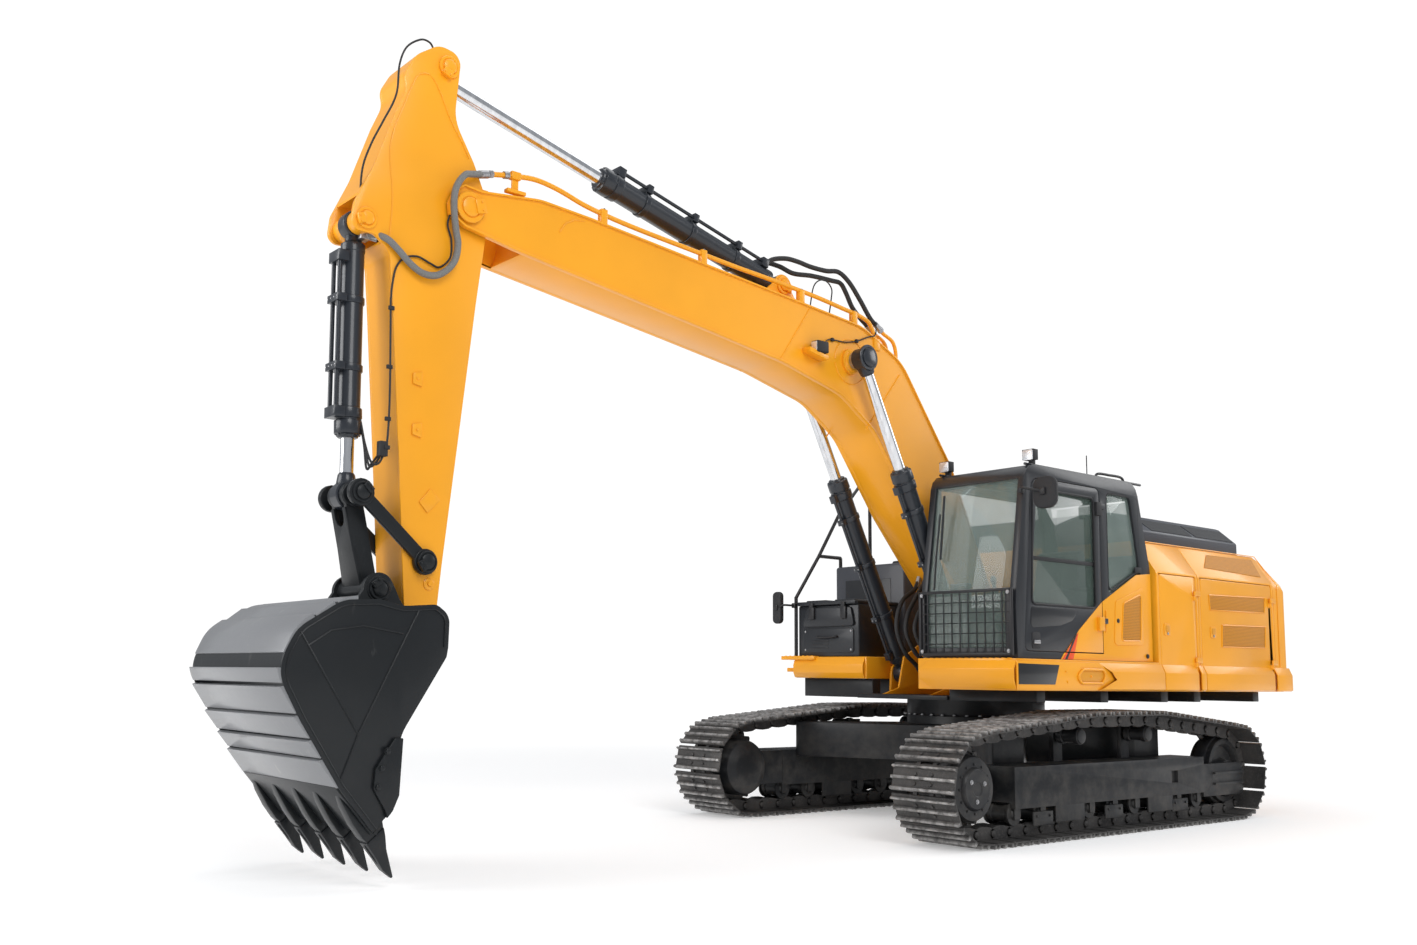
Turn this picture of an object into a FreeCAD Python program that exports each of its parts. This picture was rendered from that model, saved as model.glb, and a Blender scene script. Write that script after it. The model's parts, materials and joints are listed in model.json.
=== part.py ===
"""Hydraulic crawler excavator, built as a parametric FreeCAD document.

Frame: +X points forward (bucket side), +Y left (cab side), +Z up.
The origin lies on the ground under the slewing axis.  Lengths are millimetres.
"""
import FreeCAD, Part
import math
import os
import re
from types import SimpleNamespace

doc = FreeCAD.newDocument("crawler_excavator")

# ---------------------------------------------------------------- driving dimensions

DIMENSIONS = {
    # undercarriage
    "axle_spacing": 4030,
    "track_gauge": 2590,
    "shoe_width": 600,
    "shoe_plate": 12,
    "grouser_height": 30,
    "shoe_count": 48,
    "pitch_radius": 366,
    "link_outer": 45,
    "link_inner": 58,
    "link_rail_gap": 110,
    "link_rail_width": 44,
    "carrier_front": 430,
    "carrier_rear": -640,
    "carrier_height": 823,
    "carrier_radius": 72,
    "roller_radius": 80,
    "roller_top": 306,
    "roller_shaft": 32,
    "collar_width": 46,
    "carrier_stub": 26,
    "roller_count": 9,
    "roller_span": 2860,
    "beam_height": 330,
    "beam_bottom": 270,
    "beam_width": 330,
    "beam_front": 1480,
    "beam_rear": -1500,
    "guard_length": 740,
    "guard_plate": 40,
    "guard_rib": 22,
    "guide_plate": 14,
    "guide_drop": 130,
    "guide_length": 420,
    "guide_spacing": 1428,
    "carrier_post": 40,
    "hatch_x": -970,
    "hatch_size": 110,
    "sprocket_teeth": 21,
    "sprocket_width": 70,
    "hub_radius": 290,
    "carbody_top": 870,
    "carbody_bottom": 540,
    "carbody_half": 560,
    "leg_width": 430,
    "tow_eye_reach": 170,
    "tow_eye_half": 85,
    "tow_eye_plate": 45,
    "tow_eye_bore": 36,
    "race_radius": 640,
    "race_split": 960,
    # upper structure
    "deck_underside": 1110,
    "plate_thickness": 40,
    "frame_half_width": 520,
    "girder_height": 320,
    "beam_box": 120,
    "skirt_bottom": 1210,
    "deck_top": 1470,
    "right_deck_top": 1500,
    "right_deck_bottom": 1290,
    "side_half_width": 1495,
    "left_deck_front": 1490,
    "right_deck_front": 960,
    "house_front": -700,
    "house_seam": -1445,
    "house_rear": -2950,
    "house_shoulder": 2300,
    "house_top": 2600,
    "house_roof_half": 1300,
    "house_wall": 45,
    "tail_radius": 3400,
    "tail_top": 2600,
    "tail_bevel_low": 90,
    "tail_bevel_high": 150,
    "lift_eye_inset": 330,
    "lift_eye_height": 120,
    "lift_eye_plate": 36,
    "lift_eye_bore": 30,
    "lift_eye_spacing": 1300,
    "hood_top": 2920,
    "hood_half_width": 1150,
    "hood_front": -900,
    "panel_gap": 6,
    "hinge_inset": 45,
    "hinge_stand": 16,
    "knuckle_radius": 13,
    "knuckle_height": 46,
    "strap_thickness": 8,
    # cab
    "cab_inner": 500,
    "cab_outer": 1460,
    "cab_roof": 3100,
    "cab_wall": 50,
    "cab_front_foot": 1400,
    "cab_front_head": 1240,
    "cab_rear_foot": -660,
    "cab_rear_head": -460,
    "door_front": 1230,
    "door_rear": 150,
    "door_thickness": 40,
    "door_frame": 90,
    "glass_thickness": 6,
    "hatch_start": 250,
    "hatch_length": 560,
    "hatch_width": 520,
    "seat_height": 410,
    "front_guard_height": 560,
    "guard_stand": 50,
    "guard_radius": 5,
    "guard_uprights": 12,
    "guard_crossbars": 7,
    # storage box, tanks
    "box_front": 930,
    "box_rear": 330,
    "box_inner": 640,
    "box_outer": 1440,
    "box_top": 2050,
    "box_wall": 25,
    "lid_thickness": 40,
    "fuel_tank_rear": -620,
    "fuel_tank_top": 2450,
    "oil_tank_top": 2560,
    "rail_radius": 19,
    "rail_front": 940,
    "rail_inset": 30,
    "rail_lap": 8,
    # boom
    "boom_foot_x": 90,
    "boom_foot_z": 1890,
    "boom_length": 6400,
    "boom_angle": 24.16,
    "boom_half_width": 235,
    "boom_flange": 15,
    "boom_foot_half": 250,
    "boom_foot_radius": 150,
    "boom_tip_radius": 150,
    "tip_slot_radius": 510,
    "ear_gap": 12,
    "ear_thickness": 20,
    "boom_pin_radius": 50,
    "fork_gap": 12,
    "lift_boss_radius": 115,
    "pipe_radius": 17,
    "pipe_height": 32,
    "pipe_spacing": 230,
    "pipe_start": 650,
    "pipe_end": 900,
    "pipe_clamps": 3,
    "clamp_length": 60,
    "clamp_width": 70,
    "lift_pin_along": 2637,
    "lift_pin_off": 1195,
    "lift_foot_x": 600,
    "lift_foot_z": 1350,
    "lift_half_spacing": 375,
    "lift_barrel_radius": 84,
    "lift_rod_radius": 50,
    "lift_barrel_length": 2020,
    "lift_retraction": 790,
    "crowd_foot_along": 3502,
    "crowd_foot_off": 1454,
    "crowd_barrel_radius": 92,
    "crowd_rod_radius": 55,
    "crowd_barrel_length": 2010,
    "crowd_retraction": 1125,
    # arm
    "arm_length": 3042,
    "arm_angle": -84.91,
    "arm_half_width": 190,
    "arm_top_along": -975,
    "arm_top_off": 251,
    "curl_foot_along": 303,
    "curl_foot_off": 726,
    "curl_barrel_radius": 78,
    "curl_rod_radius": 45,
    "curl_barrel_length": 1450,
    "curl_retraction": 140,
    "rod_hole_start": 200,
    "tube_start": 135,
    "gland_length": 130,
    "eye_radius": 95,
    "eye_width": 110,
    "arm_link_back": 542,
    "arm_link_off": 31,
    # bucket and linkage
    "hanger_dx": 464.7,
    "hanger_dz": 962.6,
    "bucket_link_dx": 322,
    "bucket_link_dz": 344,
    "bucket_half_width": 720,
    "bucket_plate": 30,
    "bucket_pin_radius": 45,
    "ear_radius": 108,
    "cutter_plate": 22,
    "bucket_teeth": 5,
    "tooth_width": 92,
    "tooth_reach": 330,
    "lip_dx": 560,
    "lip_drop": 1130,
    "lip_thickness": 50,
    "seat_gap": 0.3,
    "flat_turn": 15,
    "small_radius": 160,
    "link_plate": 36,
    "side_link_y": 215,
}

NOTES = "driving dimensions in millimetres, angles in degrees"
sheet = doc.addObject("Spreadsheet::Sheet", "Sizes")
sheet.set("A1", NOTES)
for row, (alias, number) in enumerate(DIMENSIONS.items(), start=2):
    sheet.set(f"A{row}", alias)
    sheet.set(f"B{row}", str(number))
    sheet.setAlias(f"B{row}", alias)
doc.recompute()
S = SimpleNamespace(**{alias: float(sheet.get(alias)) for alias in DIMENSIONS})

SUB_PARTS = []
Vector = FreeCAD.Vector
X_AXIS = Vector(1, 0, 0)
Y_AXIS = Vector(0, 1, 0)
Z_AXIS = Vector(0, 0, 1)

# ---------------------------------------------------------------- drawing helpers


def linked(text):
    """An expression in which each word is a cell of the sheet."""
    return re.sub(r"[a-z]\w*", lambda word: "Sizes." + word.group(), str(text))


def bind(thing, **links):
    for path, text in links.items():
        thing.setExpression(path.replace("__", "."), linked(text))
    return thing


def box(name, length, width, height, x, y, z):
    """A block with its low corner at x, y, z; every argument is an expression."""
    thing = doc.addObject("Part::Box", name)
    bind(thing, Length=length, Width=width, Height=height)
    return bind(thing, Placement__Base__x=x, Placement__Base__y=y, Placement__Base__z=z)


def slab(name, length, width, height, x, z, y=0):
    """A block centred on y."""
    return box(name, length, width, height, x, f"{y} - ({width}) / 2", z)


def drum(name, radius, width, x, y, z, axis="Y", sides=0):
    """A cylinder, or a prism of that many sides, centred on x, y, z along X, Y or Z."""
    if sides:
        thing = doc.addObject("Part::Prism", name)
        thing.Polygon = sides
        bind(thing, Circumradius=radius, Height=width)
    else:
        thing = doc.addObject("Part::Cylinder", name)
        bind(thing, Radius=radius, Height=width)
    half = f"({width}) / 2"
    turn = {"X": (Y_AXIS, 90), "Y": (X_AXIS, -90), "Z": (Z_AXIS, 0)}[axis]
    thing.Placement = FreeCAD.Placement(Vector(), FreeCAD.Rotation(*turn))
    centre = {"X": x, "Y": y, "Z": z}
    centre[axis] = f"{centre[axis]} - {half}"
    return bind(thing, Placement__Base__x=centre["X"], Placement__Base__y=centre["Y"],
                Placement__Base__z=centre["Z"])


def bar(name, start, end, radius, sides=6):
    """A straight bar of round stock between two points in space, as a prism."""
    run = Vector(*end) - Vector(*start)
    thing = doc.addObject("Part::Prism", name)
    thing.Polygon = sides
    bind(thing, Circumradius=radius)
    thing.Height = run.Length
    thing.Placement = FreeCAD.Placement(Vector(*start), FreeCAD.Rotation(Z_AXIS, run))
    return thing


def railing(name, points, radius):
    """Bars joined end to end through points in space."""
    spots = [Vector(*point) for point in points]
    pieces = []
    for index in range(len(spots) - 1):
        step = (spots[index + 1] - spots[index]).normalize() * S.rail_lap
        start = spots[index] - step if index else spots[index]
        end = spots[index + 1] + step if index < len(spots) - 2 else spots[index + 1]
        pieces.append(bar(f"{name}_run_{index}", start, end, radius))
    return fuse(name, *pieces)


def rounded(a, b, c, radius):
    """Points of short flats that round the corner b between a and c."""
    to_a = (a - b).normalize()
    to_c = (c - b).normalize()
    half = to_a.getAngle(to_c) / 2
    reach = radius / math.tan(half)
    limit = 0.48 * min((a - b).Length, (c - b).Length)
    if reach > limit:
        reach = limit
        radius = reach * math.tan(half)
    centre = b + (to_a + to_c).normalize() * (radius / math.sin(half))
    spoke = b + to_a * reach - centre
    turn = 180 - 2 * math.degrees(half)
    flat = S.flat_turn if radius > S.small_radius else 2 * S.flat_turn
    steps = max(1, round(turn / flat))
    if to_a.cross(to_c).z > 0:
        turn = -turn
    return [centre + FreeCAD.Rotation(Z_AXIS, turn * step / steps).multVec(spoke)
            for step in range(steps + 1)]


def outline_edges(corners):
    """Lines through corners (u, v) or, with the corner rounded, (u, v, radius), closed."""
    count = len(corners)
    spots = [Vector(corner[0], corner[1], 0) for corner in corners]
    line = []
    for index, corner in enumerate(corners):
        if len(corner) > 2 and corner[2] > 0:
            line += rounded(spots[index - 1], spots[index], spots[(index + 1) % count], corner[2])
        else:
            line.append(spots[index])
    return [Part.LineSegment(line[index - 1], line[index]) for index in range(len(line))]


def inset(corners, distance):
    """The outline moved inwards by a distance, keeping its corner count."""
    count = len(corners)
    area = sum(corners[i - 1][0] * corners[i][1] - corners[i][0] * corners[i - 1][1]
               for i in range(count))
    side = distance if area > 0 else -distance
    moved = []
    for index in range(count):
        before = Vector(*corners[index - 1][:2], 0)
        here = Vector(*corners[index][:2], 0)
        after = Vector(*corners[(index + 1) % count][:2], 0)
        first = (here - before).normalize()
        second = (after - here).normalize()
        normal_one = Vector(-first.y, first.x, 0)
        normal_two = Vector(-second.y, second.x, 0)
        bisector = (normal_one + normal_two).normalize()
        spot = here + bisector * (side / bisector.dot(normal_one))
        radius = corners[index][2] if len(corners[index]) > 2 else 0
        turn = first.x * second.y - first.y * second.x
        inward = radius - distance if turn * side > 0 else radius + distance
        moved.append((spot.x, spot.y, max(inward, 0) if radius else 0))
    return moved


def plain(corners):
    """The outline with sharp corners."""
    return [corner[:2] for corner in corners]


def new_sketch(body, plane, outlines, circles=()):
    sketch = body.newObject("Sketcher::SketchObject", body.Name + "_sketch")
    origin_plane = [item for item in body.Origin.OriginFeatures if item.Role == plane][0]
    sketch.AttachmentSupport = [(origin_plane, "")]
    sketch.MapMode = "FlatFace"
    for corners in outlines:
        for edge in outline_edges(corners):
            sketch.addGeometry(edge, False)
    for u, v, radius in circles:
        centre = Vector(u, v, 0)
        sketch.addGeometry(Part.Circle(centre, Z_AXIS, radius), False)
    return sketch


def new_body(name):
    return doc.addObject("PartDesign::Body", name)


def pad(body, plane, outlines, length, symmetric=True, circles=()):
    feature = body.newObject("PartDesign::Pad", body.Name + "_pad")
    feature.Profile = new_sketch(body, plane, outlines, circles)
    feature.SideType = "Symmetric" if symmetric else "One side"
    bind(feature, Length=length)
    doc.recompute()
    return feature


def pocket(body, plane, outlines, length=None, circles=(), offset=0, reverse=False):
    """Cut outlines through the body, or to a length from an offset plane."""
    sketch = new_sketch(body, plane, outlines, circles)
    if offset:
        bind(sketch, AttachmentOffset__Base__z=offset)
    before = body.Shape.Volume
    feature = body.newObject("PartDesign::Pocket", body.Name + "_pocket")
    feature.Profile = sketch
    if length is None:
        feature.Type = "ThroughAll"
        feature.SideType = "Symmetric"
    else:
        bind(feature, Length=length)
        feature.Reversed = reverse
    doc.recompute()
    if body.Shape.Volume > before - 1:
        raise RuntimeError(f"{feature.Name} cuts nothing")
    return feature


def side_plate(name, corners, width, y=0, circles=()):
    """A body padded across the machine from a side outline, centred on y."""
    body = new_body(name)
    pad(body, "XZ_Plane", [corners], width, circles=circles)
    return bind(body, Placement__Base__y=y)


def plan_plate(name, corners, height, z, circles=()):
    """A body padded upwards from a plan outline."""
    body = new_body(name)
    pad(body, "XY_Plane", [corners], height, symmetric=False, circles=circles)
    return bind(body, Placement__Base__z=z)


def fuse(name, *things):
    joined = doc.addObject("Part::MultiFuse", name)
    joined.Shapes = list(things)
    joined.Refine = True
    return joined


def cut(name, base, *tools):
    taken = tools[0] if len(tools) == 1 else fuse(name + "_tools", *tools)
    result = doc.addObject("Part::Cut", name)
    result.Base = base
    result.Tool = taken
    result.Refine = True
    return result


def group(name, *things):
    """Like pieces on one body that don't touch each other."""
    gathered = doc.addObject("Part::Compound", name)
    gathered.Links = list(things)
    return gathered


def sub_part(thing, label):
    thing.Label = label
    SUB_PARTS.append(thing)
    return thing


# ---------------------------------------------------------------- places used by many pieces

HALF_GAUGE = S.track_gauge / 2
AXLE_HEIGHT = S.pitch_radius + S.link_outer + S.shoe_plate + S.grouser_height
BOOM_DIRECTION = math.radians(S.boom_angle)
ARM_DIRECTION = math.radians(S.arm_angle)


def along(origin, direction, distance, offset):
    """A point at a distance along a direction and offset to its left."""
    x = origin[0] + distance * math.cos(direction) - offset * math.sin(direction)
    z = origin[1] + distance * math.sin(direction) + offset * math.cos(direction)
    return (x, z)


def on_boom(distance, offset):
    return along((S.boom_foot_x, S.boom_foot_z), BOOM_DIRECTION, distance, offset)


BOOM_FOOT = on_boom(0, 0)
BOOM_TIP = on_boom(S.boom_length, 0)


def on_arm(distance, offset):
    return along(BOOM_TIP, ARM_DIRECTION, distance, offset)


LIFT_FOOT = (S.lift_foot_x, S.lift_foot_z)
LIFT_PIN = on_boom(S.lift_pin_along, S.lift_pin_off)
CROWD_FOOT = on_boom(S.crowd_foot_along, S.crowd_foot_off)
CROWD_PIN = on_arm(S.arm_top_along, S.arm_top_off)
CURL_FOOT = on_arm(S.curl_foot_along, S.curl_foot_off)
ARM_LINK = on_arm(S.arm_length - S.arm_link_back, S.arm_link_off)
BUCKET_PIN = on_arm(S.arm_length, 0)
HANGER = (BUCKET_PIN[0] + S.hanger_dx, BUCKET_PIN[1] + S.hanger_dz)
BUCKET_LINK = (BUCKET_PIN[0] + S.bucket_link_dx, BUCKET_PIN[1] + S.bucket_link_dz)


def circle_points(centre, radius, start, stop, steps):
    """Corners on a circle from one angle to another, in degrees."""
    turns = [math.radians(start + (stop - start) * i / steps) for i in range(steps + 1)]
    return [(centre[0] + radius * math.cos(t), centre[1] + radius * math.sin(t)) for t in turns]


# ---------------------------------------------------------------- undercarriage


def belt(wheels):
    """Position and heading along the loop round wheels (x, z, radius), given in order."""
    count = len(wheels)
    tangents = []
    for index in range(count):
        x1, z1, r1 = wheels[index]
        x2, z2, r2 = wheels[(index + 1) % count]
        span = math.hypot(x2 - x1, z2 - z1)
        heading = math.atan2(z2 - z1, x2 - x1) - math.asin((r2 - r1) / span)
        tangents.append((heading, math.sqrt(span ** 2 - (r2 - r1) ** 2)))
    stretches = []
    for index in range(count):
        heading, length = tangents[index]
        before = tangents[index - 1][0]
        turn = (heading - before) % (2 * math.pi)
        x, z, radius = wheels[index]
        stretches.append(("arc", x, z, radius, before, turn * radius))
        start = (x + radius * math.sin(heading), z - radius * math.cos(heading))
        stretches.append(("run", start[0], start[1], 0, heading, length))
    return stretches


def belt_point(stretches, distance):
    for kind, x, z, radius, heading, length in stretches:
        if distance <= length:
            if kind == "run":
                return (x + distance * math.cos(heading), z + distance * math.sin(heading), heading)
            turned = heading + distance / radius
            return (x + radius * math.sin(turned), z - radius * math.cos(turned), turned)
        distance -= length
    return belt_point(stretches, distance)


def chain_belt(offset):
    """The chain's loop at an offset outside its pin line."""
    end_radius = S.pitch_radius + offset
    carrier = S.carrier_radius + S.link_inner + offset
    half = S.axle_spacing / 2
    return belt([(half, AXLE_HEIGHT, end_radius),
                 (S.carrier_front, S.carrier_height, carrier),
                 (S.carrier_rear, S.carrier_height, carrier),
                 (-half, AXLE_HEIGHT, end_radius)])


def chain_joints():
    """Pin places and headings of the chain, one for each shoe."""
    stretches = chain_belt(0)
    total = sum(stretch[5] for stretch in stretches)
    pitch = total / S.shoe_count
    return [belt_point(stretches, (i + 0.5) * pitch) for i in range(int(S.shoe_count))]


def offset_spot(spot, offset):
    x, z, heading = spot
    return (x + offset * math.sin(heading), z - offset * math.cos(heading))


def tread_radius(x, z):
    """Radius of a wheel that just clears the rails of the chain round it."""
    rails = [Vector(*offset_spot(joint, -S.link_inner), 0) for joint in chain_joints()]
    spot = Vector(x, z, 0)
    gaps = []
    for index, end in enumerate(rails):
        start = rails[index - 1]
        share = (spot - start).dot(end - start) / (end - start).Length ** 2
        share = min(max(share, 0), 1)
        gaps.append((spot - start - (end - start) * share).Length)
    return min(gaps) - S.seat_gap


def shoe_outline():
    """Outer loop of the shoes with a grouser on each, and the inner loop."""
    joints = chain_joints()
    count = len(joints)
    outer = []
    inner = []
    foot = S.link_outer + S.shoe_plate
    tip = foot + S.grouser_height
    profile = [(0.02, foot), (0.43, foot), (0.5, tip), (0.57, foot)]
    for index in range(count):
        first = joints[index]
        second = joints[(index + 1) % count]
        along_x = second[0] - first[0]
        along_z = second[1] - first[1]
        span = math.hypot(along_x, along_z)
        out_x = along_z / span
        out_z = -along_x / span
        for share, height in profile:
            outer.append((first[0] + share * along_x + height * out_x,
                          first[1] + share * along_z + height * out_z))
        inner.append(offset_spot(first, S.link_outer))
    return outer, inner


def rail_outline():
    joints = chain_joints()
    outer = [offset_spot(joint, S.link_outer) for joint in joints]
    inner = [offset_spot(joint, -S.link_inner) for joint in joints]
    return outer, inner


def make_track(side, y):
    outer, inner = shoe_outline()
    shoes = new_body(f"shoes_{side}")
    pad(shoes, "XZ_Plane", [outer, inner], "shoe_width")
    outer_rail, inner_rail = rail_outline()
    rails = []
    for end in (-1, 1):
        rail = new_body(f"rail_{side}_{'in' if end < 0 else 'out'}")
        pad(rail, "XZ_Plane", [outer_rail, inner_rail], "link_rail_width")
        bind(rail, Placement__Base__y=f"{end} * link_rail_gap / 2 + {end} * link_rail_width / 2")
        rails.append(rail)
    loop = fuse(f"track_{side}", shoes, *rails)
    bind(loop, Placement__Base__y=y)
    return sub_part(loop, f"track_{side}")


def make_rollers(side, y, outward):
    """Track rollers on collars under the beam, and two carrier rollers on stub axles."""
    pieces = []
    tread_width = "link_rail_gap + 2 * link_rail_width"
    spacing = S.roller_span / (S.roller_count - 1)
    height = AXLE_HEIGHT - S.pitch_radius + S.link_inner + S.roller_radius + S.seat_gap
    for index in range(int(S.roller_count)):
        x = S.roller_span / 2 - index * spacing
        name = f"roller_{side}_{index}"
        tread = drum(name + "_tread", "roller_radius", tread_width, x, y, height, sides=10)
        collars = slab(name + "_collars", "2 * roller_shaft", f"{tread_width} + 2 * collar_width",
                       f"beam_bottom - seat_gap - {height} + roller_shaft", x - S.roller_shaft,
                       height - S.roller_shaft, y)
        pieces.append(fuse(name, tread, collars))
    for name, x in (("front", "carrier_front"), ("rear", "carrier_rear")):
        radius = tread_radius(getattr(S, x), S.carrier_height)
        wheel = drum(f"carrier_{side}_{name}", radius, tread_width, x, y, "carrier_height", sides=10)
        stub = f"({tread_width}) / 2 + carrier_stub"
        axle = drum(f"carrier_axle_{side}_{name}", "roller_shaft", stub, x,
                    f"{y} - {outward} * ({stub}) / 2", "carrier_height", sides=8)
        pieces.append(fuse(f"carrier_set_{side}_{name}", wheel, axle))
    return pieces


def make_track_frame(side, y, outward):
    """Box beam with idler guards, carrier posts, track guides and a hatch in its side."""
    top = "beam_bottom + beam_height"
    pieces = [slab(f"beam_{side}", "beam_front - beam_rear", "beam_width", "beam_height",
                   "beam_rear", "beam_bottom", y)]
    for end in (-1, 1):
        name = f"{side}_{'out' if end * outward > 0 else 'in'}"
        centre = f"{y} + {end} * (beam_width / 2 - guard_plate / 2)"
        pieces.append(slab(f"idler_guard_{name}", "guard_length + 20", "guard_plate",
                           "beam_height - 30", "beam_rear - guard_length", "beam_bottom - 40", centre))
        rib_y = f"{y} + {end} * (beam_width / 2 + guard_rib / 2 - 1)"
        for step in (1, 2):
            pieces.append(slab(f"guard_rib_{name}_{step}", "guard_length - 190", "guard_rib + 2",
                               "guard_rib", "beam_rear - guard_length + 20",
                               f"beam_bottom - 40 + {step} * (beam_height - 30) / 3", rib_y))
        guide_y = f"{y} + {end} * (beam_width / 2 - guide_plate / 2 - 1)"
        for step in (-1, 1):
            pieces.append(slab(f"track_guide_{name}_{step + 1}", "guide_length", "guide_plate",
                               "guide_drop + 5", f"{step} * guide_spacing / 2 - guide_length / 2",
                               "beam_bottom - guide_drop", guide_y))
    post_y = (f"{y} - {outward} * (link_rail_gap / 2 + link_rail_width + carrier_stub + seat_gap"
              " + carrier_post / 2)")
    for name, x in (("front", "carrier_front"), ("rear", "carrier_rear")):
        pieces.append(slab(f"carrier_post_{side}_{name}", "130", "carrier_post",
                           "carrier_height + 60 - beam_bottom - beam_height", f"{x} - 65", top, post_y))
    channel = slab(f"roller_channel_{side}", "roller_span + 2 * roller_radius + 80",
                   "link_rail_gap + 2 * link_rail_width + 16",
                   "roller_top + 10 - beam_bottom", "-(roller_span / 2 + roller_radius + 40)",
                   "beam_bottom - 1", y)
    hatch = slab(f"beam_hatch_{side}", "hatch_size", "60", "hatch_size", "hatch_x - hatch_size / 2",
                 f"{top} - beam_height / 2 - hatch_size / 2",
                 f"{y} + {outward} * beam_width / 2")
    frame = cut(f"track_frame_{side}", fuse(f"track_frame_whole_{side}", *pieces), channel, hatch)
    return sub_part(frame, f"track_frame_{side}")


def make_sprocket(side, y, outward):
    centre = (S.axle_spacing / 2, AXLE_HEIGHT)
    teeth = int(S.sprocket_teeth)
    corners = []
    for index in range(teeth):
        for share, radius in ((-0.2, S.pitch_radius - 22), (0.2, S.pitch_radius - 22),
                              (0.5, S.pitch_radius - 50)):
            turn = 2 * math.pi * (index + share) / teeth
            corners.append((centre[0] + radius * math.cos(turn), centre[1] + radius * math.sin(turn)))
    ring = side_plate(f"sprocket_ring_{side}", corners, "sprocket_width", y)
    height = "pitch_radius + link_outer + shoe_plate + grouser_height"
    cover = drum(f"final_drive_{side}", "hub_radius", "190", "axle_spacing / 2",
                 f"{y} + {outward} * 110", height, sides=20)
    motor = drum(f"travel_motor_{side}", "hub_radius - 40", "240", "axle_spacing / 2",
                 f"{y} - {outward} * 150", height, sides=12)
    bridge = slab(f"motor_plate_{side}", "420", "60", "360", "beam_front", "beam_bottom",
                  f"{y} - {outward} * 135")
    return fuse(f"sprocket_{side}", ring, cover, motor, bridge)


def make_idler(side, y):
    height = "pitch_radius + link_outer + shoe_plate + grouser_height"
    wheel = drum(f"idler_wheel_{side}", tread_radius(-S.axle_spacing / 2, AXLE_HEIGHT),
                 "link_rail_gap + 2 * link_rail_width", "-axle_spacing / 2", y, height, sides=20)
    axle = drum(f"idler_axle_{side}", "60", "beam_width - 2 * guard_plate - 2 * seat_gap",
                "-axle_spacing / 2", y, height, sides=8)
    return fuse(f"idler_{side}", wheel, axle)


def make_car_body():
    """X-shaped centre frame with four box legs and the fixed bearing race."""
    reach_x = 1300
    reach_y = HALF_GAUGE - S.beam_width / 2 - 0.3
    half = S.carbody_half
    width = S.leg_width
    quarter = [(half + 120, 0), (reach_x, reach_y - 60), (reach_x, reach_y),
               (reach_x - width, reach_y), (0, half)]
    plan = list(quarter)
    plan += [(-x, y) for x, y in reversed(quarter[:-1])]
    plan += [(x, -y) for x, y in [(-a, b) for a, b in quarter[1:]]]
    plan += [(x, -y) for x, y in reversed(quarter[1:-1])]
    centre = plan_plate("carbody_legs", plan, "carbody_top - carbody_bottom", "carbody_bottom")
    race = drum("fixed_race", "race_radius", "race_split - carbody_top", 0, 0,
                "(carbody_top + race_split) / 2", "Z", sides=24)
    sub_part(fuse("car_body", centre, race), "car_body")
    eyes = []
    spread = (reach_x - half - 120) / (reach_y - 60)
    for name, sign in (("front", 1), ("rear", -1)):
        end = sign * (half + 120 + 2 * S.seat_gap)
        tip = end + sign * S.tow_eye_reach
        flank = end + sign * spread * S.tow_eye_half
        plan = [(flank, -S.tow_eye_half), (end, 0), (flank, S.tow_eye_half)]
        plan += [(tip - sign * 40, S.tow_eye_half), (tip, S.tow_eye_half - 40),
                 (tip, 40 - S.tow_eye_half), (tip - sign * 40, -S.tow_eye_half)]
        eyes.append(plan_plate(f"tow_eye_{name}", plan, "tow_eye_plate", "carbody_bottom + 20",
                               circles=[(tip - sign * S.tow_eye_half, 0, S.tow_eye_bore)]))
    sub_part(group("tow_eyes", *eyes), "tow_eyes")


def make_undercarriage():
    make_car_body()
    rollers = []
    sprockets = []
    idlers = []
    for side, outward in (("left", 1), ("right", -1)):
        y = f"{outward} * track_gauge / 2"
        make_track_frame(side, y, outward)
        make_track(side, y)
        rollers += make_rollers(side, y, outward)
        sprockets.append(make_sprocket(side, y, outward))
        idlers.append(make_idler(side, y))
    for label, pieces in (("rollers", rollers), ("sprockets", sprockets), ("idlers", idlers)):
        sub_part(group(label, *pieces), label)


# ---------------------------------------------------------------- upper structure


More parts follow.
